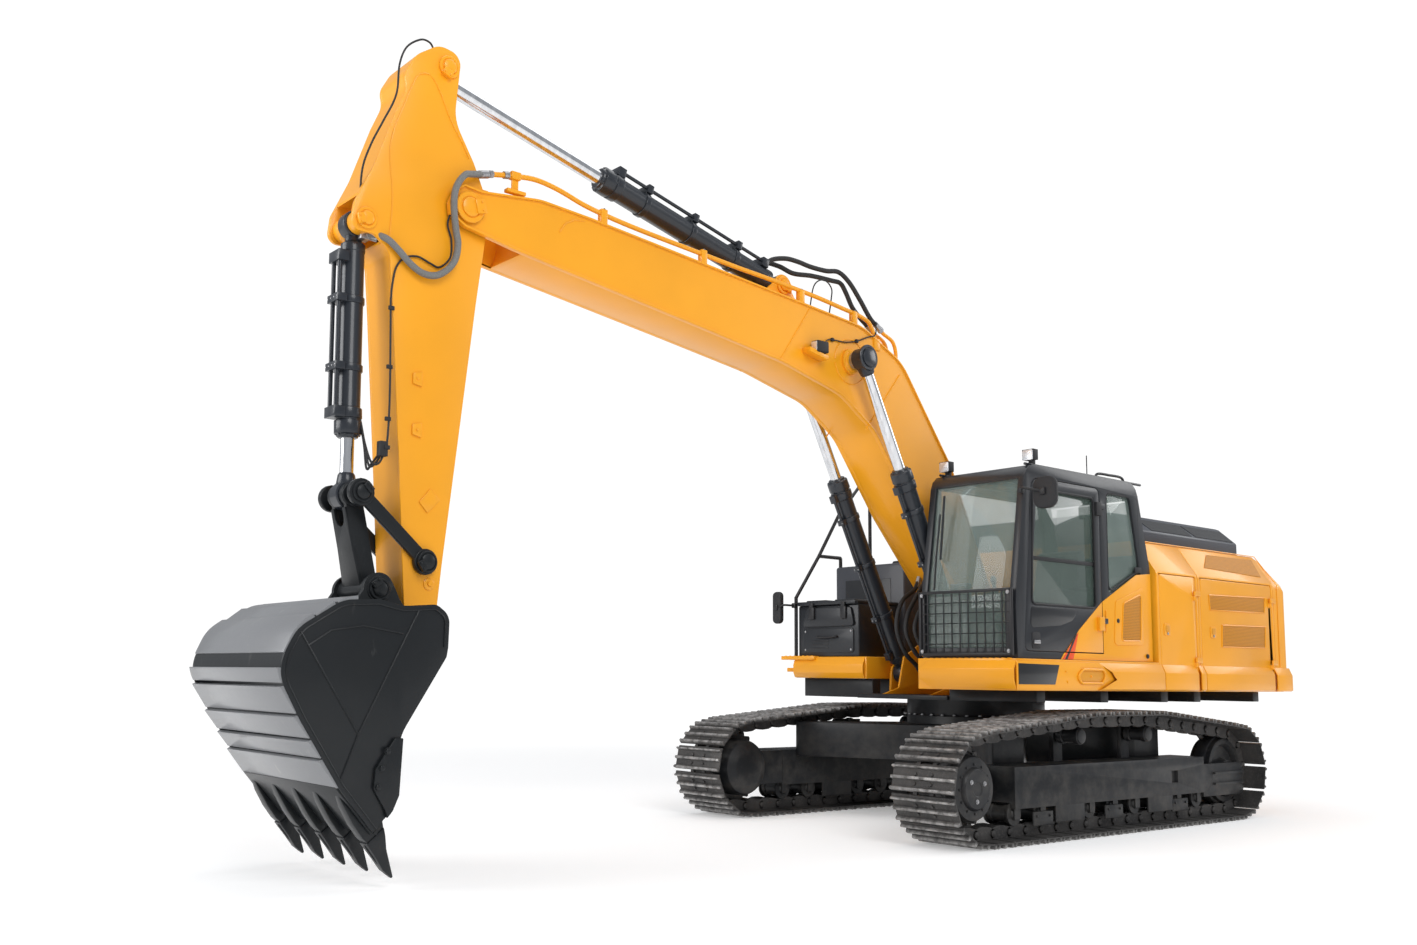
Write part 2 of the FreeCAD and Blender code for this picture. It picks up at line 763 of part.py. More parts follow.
def make_platform():
    """Base plate on the moving race, with its beams, and the brackets of the boom."""
    plate = slab("base_plate", "1100 - house_rear", "2 * frame_half_width", "plate_thickness",
                 "house_rear", "deck_underside")
    race = drum("moving_race", "race_radius", "deck_underside - race_split - seat_gap", 0, 0,
                "(deck_underside + race_split + seat_gap) / 2", "Z", sides=24)
    pieces = [plate, race]
    reach = S.side_half_width - 90
    for index, x in enumerate((S.house_rear + 200, S.house_seam - 150)):
        for side, low in (("left", S.frame_half_width), ("right", -reach)):
            pieces.append(box(f"{side}_cross_beam_{index}", "beam_box", f"{reach} - frame_half_width",
                              "skirt_bottom - seat_gap - deck_underside", x, low, "deck_underside"))
    for index, x in enumerate((S.house_front - 300, 0, S.left_deck_front - 540)):
        pieces.append(box(f"left_outrigger_{index}", "beam_box", f"{reach} - frame_half_width",
                          "skirt_bottom - seat_gap - deck_underside", x, "frame_half_width",
                          "deck_underside"))
    for index, x in enumerate((S.house_seam + 250, -300, S.right_deck_front - 200)):
        pieces.append(box(f"right_outrigger_{index}", "beam_box", f"{reach} - frame_half_width",
                          "right_deck_bottom - seat_gap - deck_underside", x, -reach,
                          "deck_underside"))
    sub_part(fuse("platform_frame", *pieces), "platform_frame")
    floor = S.deck_underside + S.plate_thickness + S.seat_gap
    foot_x, foot_z = BOOM_FOOT
    lift_x, lift_z = LIFT_FOOT
    radius = S.boom_foot_radius - 10
    girder = [(S.house_rear + 40, floor), (S.house_rear + 40, floor + S.girder_height),
              (S.house_front + 160, floor + S.girder_height), (foot_x - 300, foot_z - 120)]
    girder += circle_points(BOOM_FOOT, radius, 180, 0, 6)
    girder += [(foot_x + radius + 40, foot_z - 150), (lift_x + 120, lift_z + 150),
               (lift_x + 200, floor + 60), (lift_x + 420, floor)]
    ear = [(lift_x - 150, floor)] + circle_points(LIFT_FOOT, S.eye_radius, 180, 0, 5)
    ear += [(lift_x + 110, floor)]
    girder_y = "boom_foot_half + ear_gap + ear_thickness / 2"
    ear_y = "lift_half_spacing + eye_width / 2 + 20"
    brackets = []
    for side, sign in (("left", 1), ("right", -1)):
        plate = side_plate(f"girder_{side}", girder, "ear_thickness", f"{sign} * ({girder_y})")
        lift_ear = side_plate(f"lift_ear_{side}", ear, "25", f"{sign} * ({ear_y})")
        pin = drum(f"lift_foot_pin_{side}", "boom_pin_radius - 5",
                   f"{ear_y} + 25 - boom_foot_half - ear_gap", "lift_foot_x",
                   f"{sign} * ({ear_y} + 25 + boom_foot_half + ear_gap) / 2", "lift_foot_z", sides=12)
        half_pin = drum(f"boom_foot_pin_{side}", "boom_pin_radius", f"{girder_y} + 30", "boom_foot_x",
                        f"{sign} * ({girder_y} + 30 + seat_gap) / 2", "boom_foot_z", sides=12)
        brackets.append(fuse(f"boom_bracket_{side}", plate, lift_ear, pin, half_pin))
    return sub_part(group("boom_brackets", *brackets), "boom_brackets")


def make_decks():
    left = [(S.house_front, S.frame_half_width + 0.3), (S.left_deck_front, S.frame_half_width + 0.3),
            (S.left_deck_front, S.side_half_width, 120), (S.house_front, S.side_half_width)]
    skirt = plan_plate("left_platform", left, "deck_top - skirt_bottom", "skirt_bottom")
    pocket(skirt, "XY_Plane", [inset(left, 30)], "deck_top - skirt_bottom - 30", reverse=True)
    sub_part(skirt, "left_platform")
    right = [(S.house_seam, -S.side_half_width), (S.right_deck_front, -S.side_half_width, 80),
             (S.right_deck_front, -S.frame_half_width - 0.3),
             (S.house_seam, -S.frame_half_width - 0.3)]
    deck = plan_plate("right_platform", right, "right_deck_top - right_deck_bottom",
                      "right_deck_bottom")
    pocket(deck, "XY_Plane", [inset(right, 30)], "right_deck_top - right_deck_bottom - 30",
           reverse=True)
    sub_part(deck, "right_platform")


def make_counterweight():
    front = S.house_rear - 0.3
    corner_x = -math.sqrt(S.tail_radius ** 2 - S.side_half_width ** 2)
    corner = math.degrees(math.atan2(S.side_half_width, corner_x))
    plan = [(front, -S.side_half_width), (front, S.side_half_width)]
    plan += circle_points((0, 0), S.tail_radius, corner, 360 - corner, 8)
    body = plan_plate("counterweight_block", plan, "tail_top - skirt_bottom", "skirt_bottom")
    doc.recompute()
    bevelled = doc.addObject("Part::Chamfer", "counterweight_bevelled")
    bevelled.Base = body
    bevels = {S.skirt_bottom: S.tail_bevel_low, S.tail_top: S.tail_bevel_high}
    rims = []
    for number, edge in enumerate(body.Shape.Edges, start=1):
        spot = edge.valueAt((edge.FirstParameter + edge.LastParameter) / 2)
        if round(spot.z, 3) in bevels and spot.x < front - 1:
            rims.append((number, bevels[round(spot.z, 3)], bevels[round(spot.z, 3)]))
    bevelled.Edges = rims
    sub_part(bevelled, "counterweight")
    eyes = []
    for side, sign in (("left", 1), ("right", -1)):
        x = -S.tail_radius + S.lift_eye_inset
        foot = S.tail_top + S.seat_gap
        eye = [(x - 70, foot), (x - 70, foot + 50), (x - 35, foot + S.lift_eye_height),
               (x + 35, foot + S.lift_eye_height), (x + 70, foot + 50), (x + 70, foot)]
        eyes.append(side_plate(f"lifting_eye_{side}", eye, "lift_eye_plate",
                               f"{sign} * lift_eye_spacing / 2",
                               circles=[(x, foot + S.lift_eye_height - 62, S.lift_eye_bore)]))
    return sub_part(group("lifting_eyes", *eyes), "lifting_eyes")


def house_section(low):
    side = S.side_half_width
    return [(side, low), (side, S.house_shoulder, 60), (S.house_roof_half, S.house_top, 40)]


def make_house():
    """Engine and cooler enclosures with door, hood and roof openings."""
    low = S.skirt_bottom
    wall = S.house_wall
    left = house_section(low)
    right = [(-y, *rest) for y, *rest in reversed(left)]
    ring = left + right
    rear = new_body("engine_shell")
    pad(rear, "YZ_Plane", [ring], "house_seam - house_rear", symmetric=False)
    bind(rear, Placement__Base__x="house_rear")
    pocket(rear, "YZ_Plane", [plain(inset(ring, wall))],
           "house_seam - house_rear - 2 * house_wall", offset="house_wall", reverse=True)
    half_tunnel = S.frame_half_width + 10
    opening = (S.house_seam - S.house_rear) - 80
    length = S.house_seam - S.house_rear
    side_hole = [(40, low + 80), (40 + opening, low + 80),
                 (40 + opening, S.house_shoulder - 10), (40, S.house_shoulder - 10)]
    pocket(rear, "XZ_Plane", [side_hole])
    top_hole = [(90, -1000), (length - 90, -1000), (length - 90, 1000), (90, 1000)]
    pocket(rear, "XY_Plane", [top_hole], 200, offset="house_top - 100", reverse=True)
    tunnel = [(-10, -half_tunnel), (length + 10, -half_tunnel), (length + 10, half_tunnel),
              (-10, half_tunnel)]
    girder_top = "deck_underside + plate_thickness + girder_height + 10"
    pocket(rear, "XY_Plane", [tunnel], girder_top, reverse=True)
    inner = -S.frame_half_width
    ring = left + [(inner, S.house_top), (inner, low)]
    front = new_body("cooler_shell")
    pad(front, "YZ_Plane", [ring], "house_front - house_seam - panel_gap", symmetric=False)
    bind(front, Placement__Base__x="house_seam + panel_gap")
    pocket(front, "YZ_Plane", [plain(inset(ring, wall))],
           "house_front - house_seam - panel_gap - 2 * house_wall", offset="house_wall",
           reverse=True)
    length = S.house_front - S.house_seam - S.panel_gap
    side_hole = [(40, low + 80), (length - 40, low + 80), (length - 40, S.house_shoulder - 10),
                 (40, S.house_shoulder - 10)]
    pocket(front, "XZ_Plane", [side_hole], "side_half_width", offset="-side_half_width - 10",
           reverse=True)
    tunnel = [(-10, inner + wall), (length + 10, inner + wall), (length + 10, half_tunnel),
              (-10, half_tunnel)]
    pocket(front, "XY_Plane", [tunnel], girder_top, reverse=True)
    return rear, front


def hinge_halves(name, x, y, z, sign, reach, face):
    """A gooseneck on the frame and a knuckle on the leaf, about one upright axis.

    reach is the strap's length from the axis to the frame, along X; face is the
    outer face that both halves stand on.
    """
    leaf = drum(name + "_knuckle", "knuckle_radius", "knuckle_height", x, y, z, "Z", sides=6)
    pad_y = min(face, y)
    foot = box(name + "_knuckle_foot", "2 * knuckle_radius", abs(y - face), "knuckle_height",
               f"{x} - knuckle_radius", pad_y, f"{z} - knuckle_height / 2")
    upper = z + S.knuckle_height + 0.5
    fixed = drum(name + "_gooseneck", "knuckle_radius", "knuckle_height", x, y, upper, "Z", sides=6)
    strap_x = min(x, x + reach)
    strap = box(name + "_strap", abs(reach), "strap_thickness", "knuckle_height", strap_x,
                y - S.strap_thickness / 2 + sign * 4, upper - S.knuckle_height / 2)
    end_x = x + reach
    end = box(name + "_strap_foot", 30, abs(y - face) + S.strap_thickness, "knuckle_height",
              end_x - 15, min(face, y) - (S.strap_thickness if sign < 0 else 0),
              upper - S.knuckle_height / 2)
    return fuse(name + "_leaf", leaf, foot), fuse(name + "_frame", fixed, strap, end)


def door_axis(edge):
    """Upright axis of a side door, set in from the edge it hangs on."""
    return edge + S.hinge_inset


def side_door(name, x_low, x_high, sign):
    """A flush door leaf with two hinge knuckles; returns the frame's halves."""
    low = S.skirt_bottom + 86
    high = S.house_shoulder - 16
    inner = S.side_half_width - S.door_thickness
    outline = [(x_low, low, 30), (x_high, low, 30), (x_high, high, 30), (x_low, high, 30)]
    leaf = side_plate(name + "_panel", outline, "door_thickness",
                      sign * (inner + S.door_thickness / 2))
    face = sign * S.side_half_width
    axis_y = sign * (S.side_half_width + S.hinge_stand)
    halves = [hinge_halves(f"{name}_hinge_{place}", door_axis(x_low), axis_y, z, sign,
                           -S.hinge_inset - 40, face)
              for place, z in (("low", low + 160), ("high", high - 200))]
    sub_part(fuse(name, leaf, *[pair[0] for pair in halves]), name)
    return [pair[1] for pair in halves]


def make_doors(rear, front):
    """Side doors, and the enclosures that carry their hinges."""
    hinges = side_door("left_door_front", S.house_seam + S.panel_gap + 46, S.house_front - 46, 1)
    sub_part(fuse("cooler_enclosure", front, *hinges), "cooler_enclosure")
    hinges = side_door("left_door_rear", S.house_rear + 46, S.house_seam - 46, 1)
    hinges += side_door("right_door", S.house_rear + 46, S.house_seam - 46, -1)
    sub_part(fuse("engine_enclosure", rear, *hinges), "engine_enclosure")


def make_hood():
    half = S.hood_half_width
    base = S.house_top + S.seat_gap
    ring = [(half, base), (half, base + 140), (half - 200, S.hood_top, 60),
            (-half + 200, S.hood_top, 60), (-half, base + 140), (-half, base)]
    hood = new_body("engine_hood")
    pad(hood, "YZ_Plane", [ring], "hood_front - house_rear", symmetric=False)
    bind(hood, Placement__Base__x="house_rear")
    inner = [(half - 30, base - 5), (half - 30, base + 130), (half - 215, S.hood_top - 30),
             (-half + 215, S.hood_top - 30), (-half + 30, base + 130), (-half + 30, base - 5)]
    pocket(hood, "YZ_Plane", [inner], "hood_front - house_rear - 60", offset="30", reverse=True)
    return sub_part(hood, "engine_hood")


def make_engine():
    block = slab("engine_block", "1050", "960", "950", "-2650",
                 "deck_underside + plate_thickness + girder_height + 0.3")
    return sub_part(block, "engine_block")


def make_tanks():
    width = "side_half_width - frame_half_width - 60"
    fuel = box("fuel_tank", "box_rear - 10 - fuel_tank_rear", width, "fuel_tank_top - right_deck_top",
               "fuel_tank_rear", "-side_half_width + 5", "right_deck_top + seat_gap")
    sub_part(fuel, "fuel_tank")
    oil = box("hydraulic_tank", "fuel_tank_rear - house_seam - 20", width,
              "oil_tank_top - right_deck_top", "house_seam + 10", "-side_half_width + 5",
              "right_deck_top + seat_gap")
    sub_part(oil, "hydraulic_tank")


def make_handrails():
    """Rail up the right-hand steps, with its cross bar, and the mirror on each side."""
    y = -S.side_half_width + S.rail_inset
    foot = S.right_deck_top + S.seat_gap
    climb = [(S.rail_front, y, foot), (S.rail_front, y, 2100), (600, y, 2550), (290, y, 3010),
             (-30, y, 3340), (-200, y, 3340), (-200, y, S.fuel_tank_top + S.seat_gap)]
    rail = railing("climbing_rail", climb, "rail_radius")
    brace = bar("rail_brace", (600, y, 2550), (S.box_rear - 60, y, 2550), "rail_radius")
    post = bar("rail_post", (S.box_rear - 60, y, 2550), (S.box_rear - 60, y, S.fuel_tank_top
                                                         + S.seat_gap), "rail_radius")
    sub_part(fuse("handrail", rail, brace, post), "handrail")
    stay = bar("right_mirror_stay", (S.rail_front + S.rail_radius + 1.5 * S.seat_gap, y, 2000),
               (S.rail_front + 130, y - 60, 2000), "rail_radius / 2")
    head = box("right_mirror_head", 60, 200, 330, S.rail_front + 110, y - 190, 1830)
    mirrors = [fuse("right_mirror", stay, head)]
    post_x = S.door_front + 20
    face = S.cab_outer + S.seat_gap
    mirrors.append(fuse("left_mirror", box("left_mirror_foot", 30, 20, 90, post_x, face, 2660),
                        box("left_mirror_stay", 30, 160, 24, post_x, face, 2700),
                        box("left_mirror_head", 60, 190, 330, post_x, face + 120, 2500)))
    sub_part(group("mirrors", *mirrors), "mirrors")
    tread = box("right_step", 420, 130, 40, S.right_deck_front - 470, -S.side_half_width - 130
                - S.seat_gap, S.right_deck_bottom + 60)
    return sub_part(tread, "right_step")


def make_storage_box():
    low = "right_deck_top + 0.3"
    outer = box("box_outside", "box_front - box_rear", "box_outer - box_inner",
                f"box_top - lid_thickness - ({low})", "box_rear", "-box_outer", low)
    hollow = box("box_inside", "box_front - box_rear - 2 * box_wall",
                 "box_outer - box_inner - 2 * box_wall", "box_top", "box_rear + box_wall",
                 "-box_outer + box_wall", f"{low} + box_wall")
    sub_part(cut("storage_box", outer, hollow), "storage_box")
    lid = box("storage_lid", "box_front - box_rear + 20", "box_outer - box_inner",
              "lid_thickness - seat_gap", "box_rear", "-box_outer", "box_top - lid_thickness + seat_gap")
    sub_part(lid, "storage_lid")


def cab_outline():
    low = S.deck_top + 0.3
    return [(S.cab_rear_foot, low), (S.cab_front_foot, low),
            (S.cab_front_foot + 15, low + 500, 900), (S.cab_front_head, S.cab_roof, 160),
            (S.cab_rear_head, S.cab_roof, 160), (S.cab_rear_foot, S.house_shoulder, 300)]


def quarter_window():
    """Corners of the pane behind the door, whose lower edge climbs to the rear."""
    return [(S.cab_rear_foot + 160, S.house_shoulder - 60, 40), (S.door_rear - 110, 2050, 40),
            (S.door_rear - 110, S.cab_roof - 130, 60), (S.cab_rear_head + 110, S.cab_roof - 130, 80)]


def right_window():
    return [(S.cab_rear_foot + 180, 2150), (S.door_front + 40, 2000),
            (S.door_front - 60, S.cab_roof - 130), (S.cab_rear_head + 110, S.cab_roof - 130)]


def door_corners(margin):
    """Outline of the cab door, or of its opening, with a margin round the leaf."""
    return [(S.door_rear - margin, S.deck_top + 64 - margin),
            (S.door_front + 76 + margin, S.deck_top + 64 - margin, 60),
            (S.door_front - 64 + margin, S.cab_roof - 114 + margin, 120),
            (S.door_rear - margin, S.cab_roof - 114 + margin, 60)]


def door_window():
    edge = inset(door_corners(0), S.door_frame)
    return [(S.door_rear + S.door_frame, S.deck_top + 450, 40),
            (S.door_front - 30, S.deck_top + 450, 40), edge[2], edge[3]]


CAB_MIDDLE = "(cab_outer + cab_inner) / 2"
CAB_INSIDE = "cab_outer - cab_inner - 2 * cab_wall"


def make_cab():
    width = "cab_outer - cab_inner"
    outline = cab_outline()
    shell = side_plate("cab_shell_solid", outline, width, CAB_MIDDLE)
    pocket(shell, "XZ_Plane", [inset(outline, S.cab_wall)], CAB_INSIDE,
           offset="-(cab_outer - cab_inner) / 2 + cab_wall", reverse=True)
    tools = [side_plate("door_opening", door_corners(4), "4 * cab_wall", "cab_outer"),
             side_plate("quarter_opening", quarter_window(), "4 * cab_wall", "cab_outer"),
             side_plate("right_opening", right_window(), "4 * cab_wall", "cab_inner"),
             slab("front_opening", "400", f"{CAB_INSIDE} - 20", "cab_roof - 130 - deck_top - 90",
                  "cab_front_head - 150", "deck_top + 90", CAB_MIDDLE),
             slab("rear_opening", "400", f"{CAB_INSIDE} - 20", "500", "cab_rear_foot - 100",
                  "cab_roof - 650", CAB_MIDDLE),
             slab("hatch_opening", "hatch_length", "hatch_width", "4 * cab_wall", "hatch_start",
                  "cab_roof - 2 * cab_wall", CAB_MIDDLE)]
    shell = cut("cab_opened", shell, *tools)
    leaf = new_body("cab_door_leaf")
    pad(leaf, "XZ_Plane", [door_corners(0), door_window()], "door_thickness")
    bind(leaf, Placement__Base__y="cab_outer - door_thickness / 2")
    axis_y = S.cab_outer + S.hinge_stand
    halves = [hinge_halves(f"cab_hinge_{place}", door_axis(S.door_rear), axis_y, z, 1,
                           -S.hinge_inset - 40, S.cab_outer)
              for place, z in (("low", S.deck_top + 300), ("high", S.cab_roof - 320))]
    sub_part(fuse("cab_door", leaf, *[pair[0] for pair in halves]), "cab_door")
    sub_part(fuse("cab_shell", shell, *[pair[1] for pair in halves]), "cab_shell")
    pane = side_plate("cab_door_glass", inset(door_window(), S.seat_gap), "glass_thickness",
                      "cab_outer - door_thickness / 2")
    sub_part(pane, "cab_door_glass")
    make_cab_fittings()


def make_cab_fittings():
    """Roof hatch, two roof lamps and the guard over the lower windscreen."""
    hatch = slab("roof_hatch", "hatch_length + 80", "hatch_width + 80", "30", "hatch_start - 40",
                 "cab_roof + seat_gap", CAB_MIDDLE)
    sub_part(hatch, "roof_hatch")
    lamps = []
    for side, sign in (("left", 1), ("right", -1)):
        y = f"{CAB_MIDDLE} + {sign} * ({CAB_INSIDE}) / 2"
        foot = slab(f"lamp_foot_{side}", 60, 30, 46, "cab_front_head - 200",
                    "cab_roof + seat_gap", y)
        head = slab(f"lamp_head_{side}", 70, 110, 90, "cab_front_head - 180",
                    "cab_roof + 40", y)
        lamps.append(fuse(f"roof_lamp_{side}", foot, head))
    sub_part(group("roof_lamps", *lamps), "roof_lamps")
    guard_front = S.cab_front_foot + S.guard_stand
    low, high = S.deck_top + 30, S.deck_top + S.front_guard_height
    left, right = S.cab_outer - 20, S.cab_inner + 20
    rod = 2 * S.guard_radius
    back = guard_front - rod - S.seat_gap
    rails = []
    for index in range(int(S.guard_uprights)):
        y = right + index * (left - right) / (S.guard_uprights - 1)
        rails.append(box(f"guard_upright_{index}", rod, rod, high - low, guard_front, y - rod / 2, low))
    for index in range(int(S.guard_crossbars)):
        z = low + index * (high - low - rod) / (S.guard_crossbars - 1)
        rails.append(box(f"guard_crossbar_{index}", rod, left - right + rod, rod, back,
                         right - rod / 2, z))
        if index in (0, int(S.guard_crossbars) - 1):
            face = max(cab_front_x(z), cab_front_x(z + rod)) + S.seat_gap
            rails += [box(f"guard_stay_{index}_{side}", back - S.seat_gap - face, rod, rod, face, y, z)
                      for side, y in (("left", left - 60), ("right", right + 60))]
    sub_part(group("front_guard", *rails), "front_guard")


def make_seat():
    """Operator's seat on its pedestal, with the two consoles beside it."""
    floor = "deck_top + cab_wall + 2 * seat_gap"
    base = slab("seat_base", 420, 400, "seat_height - 110", 60, floor, CAB_MIDDLE)
    sub_part(base, "seat_pedestal")
    cushion = slab("operator_seat_cushion", 610, 500, 110, -50, f"{floor} + seat_height - 110 + seat_gap",
                   CAB_MIDDLE)
    back = slab("operator_seat_back", 110, 480, 560, -50, f"{floor} + seat_height - 5", CAB_MIDDLE)
    sub_part(fuse("operator_seat", cushion, back), "operator_seat")
    consoles = [slab(f"console_{side}", 620, 130, "seat_height + 150", 40, floor,
                     f"{CAB_MIDDLE} + {sign} * 330")
                for side, sign in (("left", 1), ("right", -1))]
    sub_part(group("consoles", *consoles), "consoles")


def cab_front_x(z):
    """The cab's front face at a height, below and above the crank of its outline."""
    corners = cab_outline()
    low, high = (corners[1], corners[2]) if z < corners[2][1] else (corners[2], corners[3])
    share = (z - low[1]) / (high[1] - low[1])
    return low[0] + share * (high[0] - low[0])


def make_cab_glass():
    clearance = S.seat_gap
    side = side_plate("quarter_glass", inset(quarter_window(), clearance), "glass_thickness",
                      "cab_outer - cab_wall / 2")
    other = side_plate("right_glass", inset(right_window(), clearance), "glass_thickness",
                       "cab_inner + cab_wall / 2")
    rear = slab("rear_glass", "glass_thickness", f"{CAB_INSIDE} - 20 - 2 * seat_gap",
                "500 - 2 * seat_gap", "(cab_rear_foot + cab_rear_head) / 2 - 35",
                "cab_roof - 650 + seat_gap", CAB_MIDDLE)
    sub_part(group("cab_glass", side, other, front_pane(), rear), "cab_glass")


def front_pane():
    """Windscreen that follows the raked front of the cab."""
    low = S.deck_top + 90 + S.seat_gap
    crank = cab_outline()[2][1]
    high = S.cab_roof - 130 - S.seat_gap
    inner = S.cab_wall / 2 + S.glass_thickness
    outer = S.cab_wall / 2
    foot = cab_front_x(crank)
    head = cab_front_x(high)
    pane = [(foot - inner, low), (foot - outer, low), (foot - outer, crank), (head - outer, high),
            (head - inner, high), (foot - inner, crank)]
    return side_plate("windscreen", pane, f"{CAB_INSIDE} - 20 - 2 * seat_gap", CAB_MIDDLE)


# ---------------------------------------------------------------- boom, arm and bucket


BOOM_BACK = [(-60, S.boom_foot_radius - 5, 0), (1150, 1010, 900), (2300, 1510, 900),
             (3230, 1400, 700), (S.boom_length - 871, 575, 900), (S.boom_length - 21, 175, 0)]
BOOM_BELLY = [(S.boom_length - 501, -80, 0), (S.boom_length - 2131, 405, 1200), (3100, 745, 900),
              (2100, 735, 500), (1350, 328, 800)]


def bore(name, spot, radius, width=2000):
    return drum(name, radius, width, spot[0], 0, spot[1])


def boom_top(distance):
    """Height of the boom's upper plate above its pin line, on the stretch to the tip."""
    first, last = BOOM_BACK[3], BOOM_BACK[4]
    share = (distance - first[0]) / (last[0] - first[0])
    return first[1] + share * (last[1] - first[1])


def make_boom():
    """Cranked box boom with a forked tip and a boss at its foot."""
    radius = S.boom_foot_radius
    tip = S.boom_tip_radius
    length = S.boom_length
    top = [on_boom(u, v) + (bend,) for u, v, bend in BOOM_BACK]
    nose = [on_boom(length + tip - 45, 130), on_boom(length + tip, 60), on_boom(length + tip, -60),
            on_boom(length + tip - 45, -130), on_boom(length - 30, -tip + 10)]
    bottom = [on_boom(u, v) + (bend,) for u, v, bend in BOOM_BELLY]
    heel = [on_boom(140, 20 - radius), on_boom(60, -radius), on_boom(-60, -radius),
            on_boom(60 - radius, -100), on_boom(-radius, -50), on_boom(-radius, radius - 60)]
    outline = top + nose + bottom + heel
    core = new_body("boom_core")
    pad(core, "XZ_Plane", [outline], "2 * (boom_half_width + boom_flange)")
    panel = inset(outline, S.boom_flange)
    recess = []
    for sign in (1, -1):
        recess.append(side_plate(f"boom_recess_{sign + 1}", panel, "boom_flange + 1",
                                 f"{sign} * (boom_half_width + boom_flange / 2 + 0.5)"))
    bosses = [drum("boom_foot_boss", "boom_foot_radius - 25", "2 * boom_foot_half", "boom_foot_x", 0,
                   "boom_foot_z", sides=12),
              drum("lift_boss", "lift_boss_radius", "2 * (boom_half_width + 30)", LIFT_PIN[0], 0,
                   LIFT_PIN[1], sides=12)]
    fork = "2 * (arm_half_width + fork_gap)"
    slot = drum("tip_slot_round", "tip_slot_radius", fork, BOOM_TIP[0], 0, BOOM_TIP[1], sides=16)
    slot_box = slab("tip_slot_front", 700, fork, "2 * tip_slot_radius - 120", BOOM_TIP[0],
                    f"{BOOM_TIP[1]} - tip_slot_radius + 60")
    boom = cut("boom_slotted", fuse("boom_with_bosses", cut("boom_web", core, *recess), *bosses),
               slot, slot_box, bore("foot_bore", BOOM_FOOT, "boom_pin_radius + 0.08"),
               bore("tip_bore", BOOM_TIP, "boom_pin_radius + 0.08"))
    ears = []
    root = on_boom(3200, boom_top(3200) - 70)
    heel = on_boom(3660, boom_top(3660) - 100)
    top_angle = S.boom_angle + 90
    for side, sign in (("left", 1), ("right", -1)):
        ear = [root] + circle_points(CROWD_FOOT, S.eye_radius, top_angle + 80, top_angle - 90, 5)
        ears.append(side_plate(f"crowd_ear_{side}", ear + [heel], "30",
                               f"{sign} * (eye_width / 2 + 18)"))
    ears.append(drum("crowd_foot_pin", "boom_pin_radius - 5", "eye_width + 100", CROWD_FOOT[0], 0,
                     CROWD_FOOT[1], sides=12))
    ears.append(drum("lift_pin", "boom_pin_radius - 5", "2 * (lift_half_spacing - eye_width / 2 - 2)",
                     LIFT_PIN[0], 0, LIFT_PIN[1], sides=12))
    sub_part(fuse("boom", boom, *ears), "boom")
    make_boom_pipes()


def make_boom_pipes():
    """Two steel pipes along the boom's back, held in clamps."""
    sets = []
    start = BOOM_BACK[3][0] + S.pipe_start
    end = S.boom_length - S.pipe_end
    for side, sign in (("left", 1), ("right", -1)):
        y = sign * S.pipe_spacing / 2
        line = [(spot[0], y, spot[1]) for spot in
                (on_boom(start, boom_top(start) + S.pipe_height),
                 on_boom(end, boom_top(end) + S.pipe_height))]
        pieces = [bar(f"boom_pipe_{side}", line[0], line[1], "pipe_radius")]
        for step in range(int(S.pipe_clamps)):
            middle = start + (step + 0.5) * (end - start) / S.pipe_clamps
            low, high = middle - S.clamp_length / 2, middle + S.clamp_length / 2
            clamp = [on_boom(low, boom_top(low) + S.seat_gap), on_boom(high, boom_top(high) + S.seat_gap),
                     on_boom(high, boom_top(high) + 2 * S.pipe_height),
                     on_boom(low, boom_top(low) + 2 * S.pipe_height)]
            pieces.append(side_plate(f"pipe_clamp_{side}_{step}", clamp, "clamp_width", y))
        sets.append(fuse(f"boom_line_{side}", *pieces))
    return sub_part(group("boom_lines", *sets), "boom_lines")


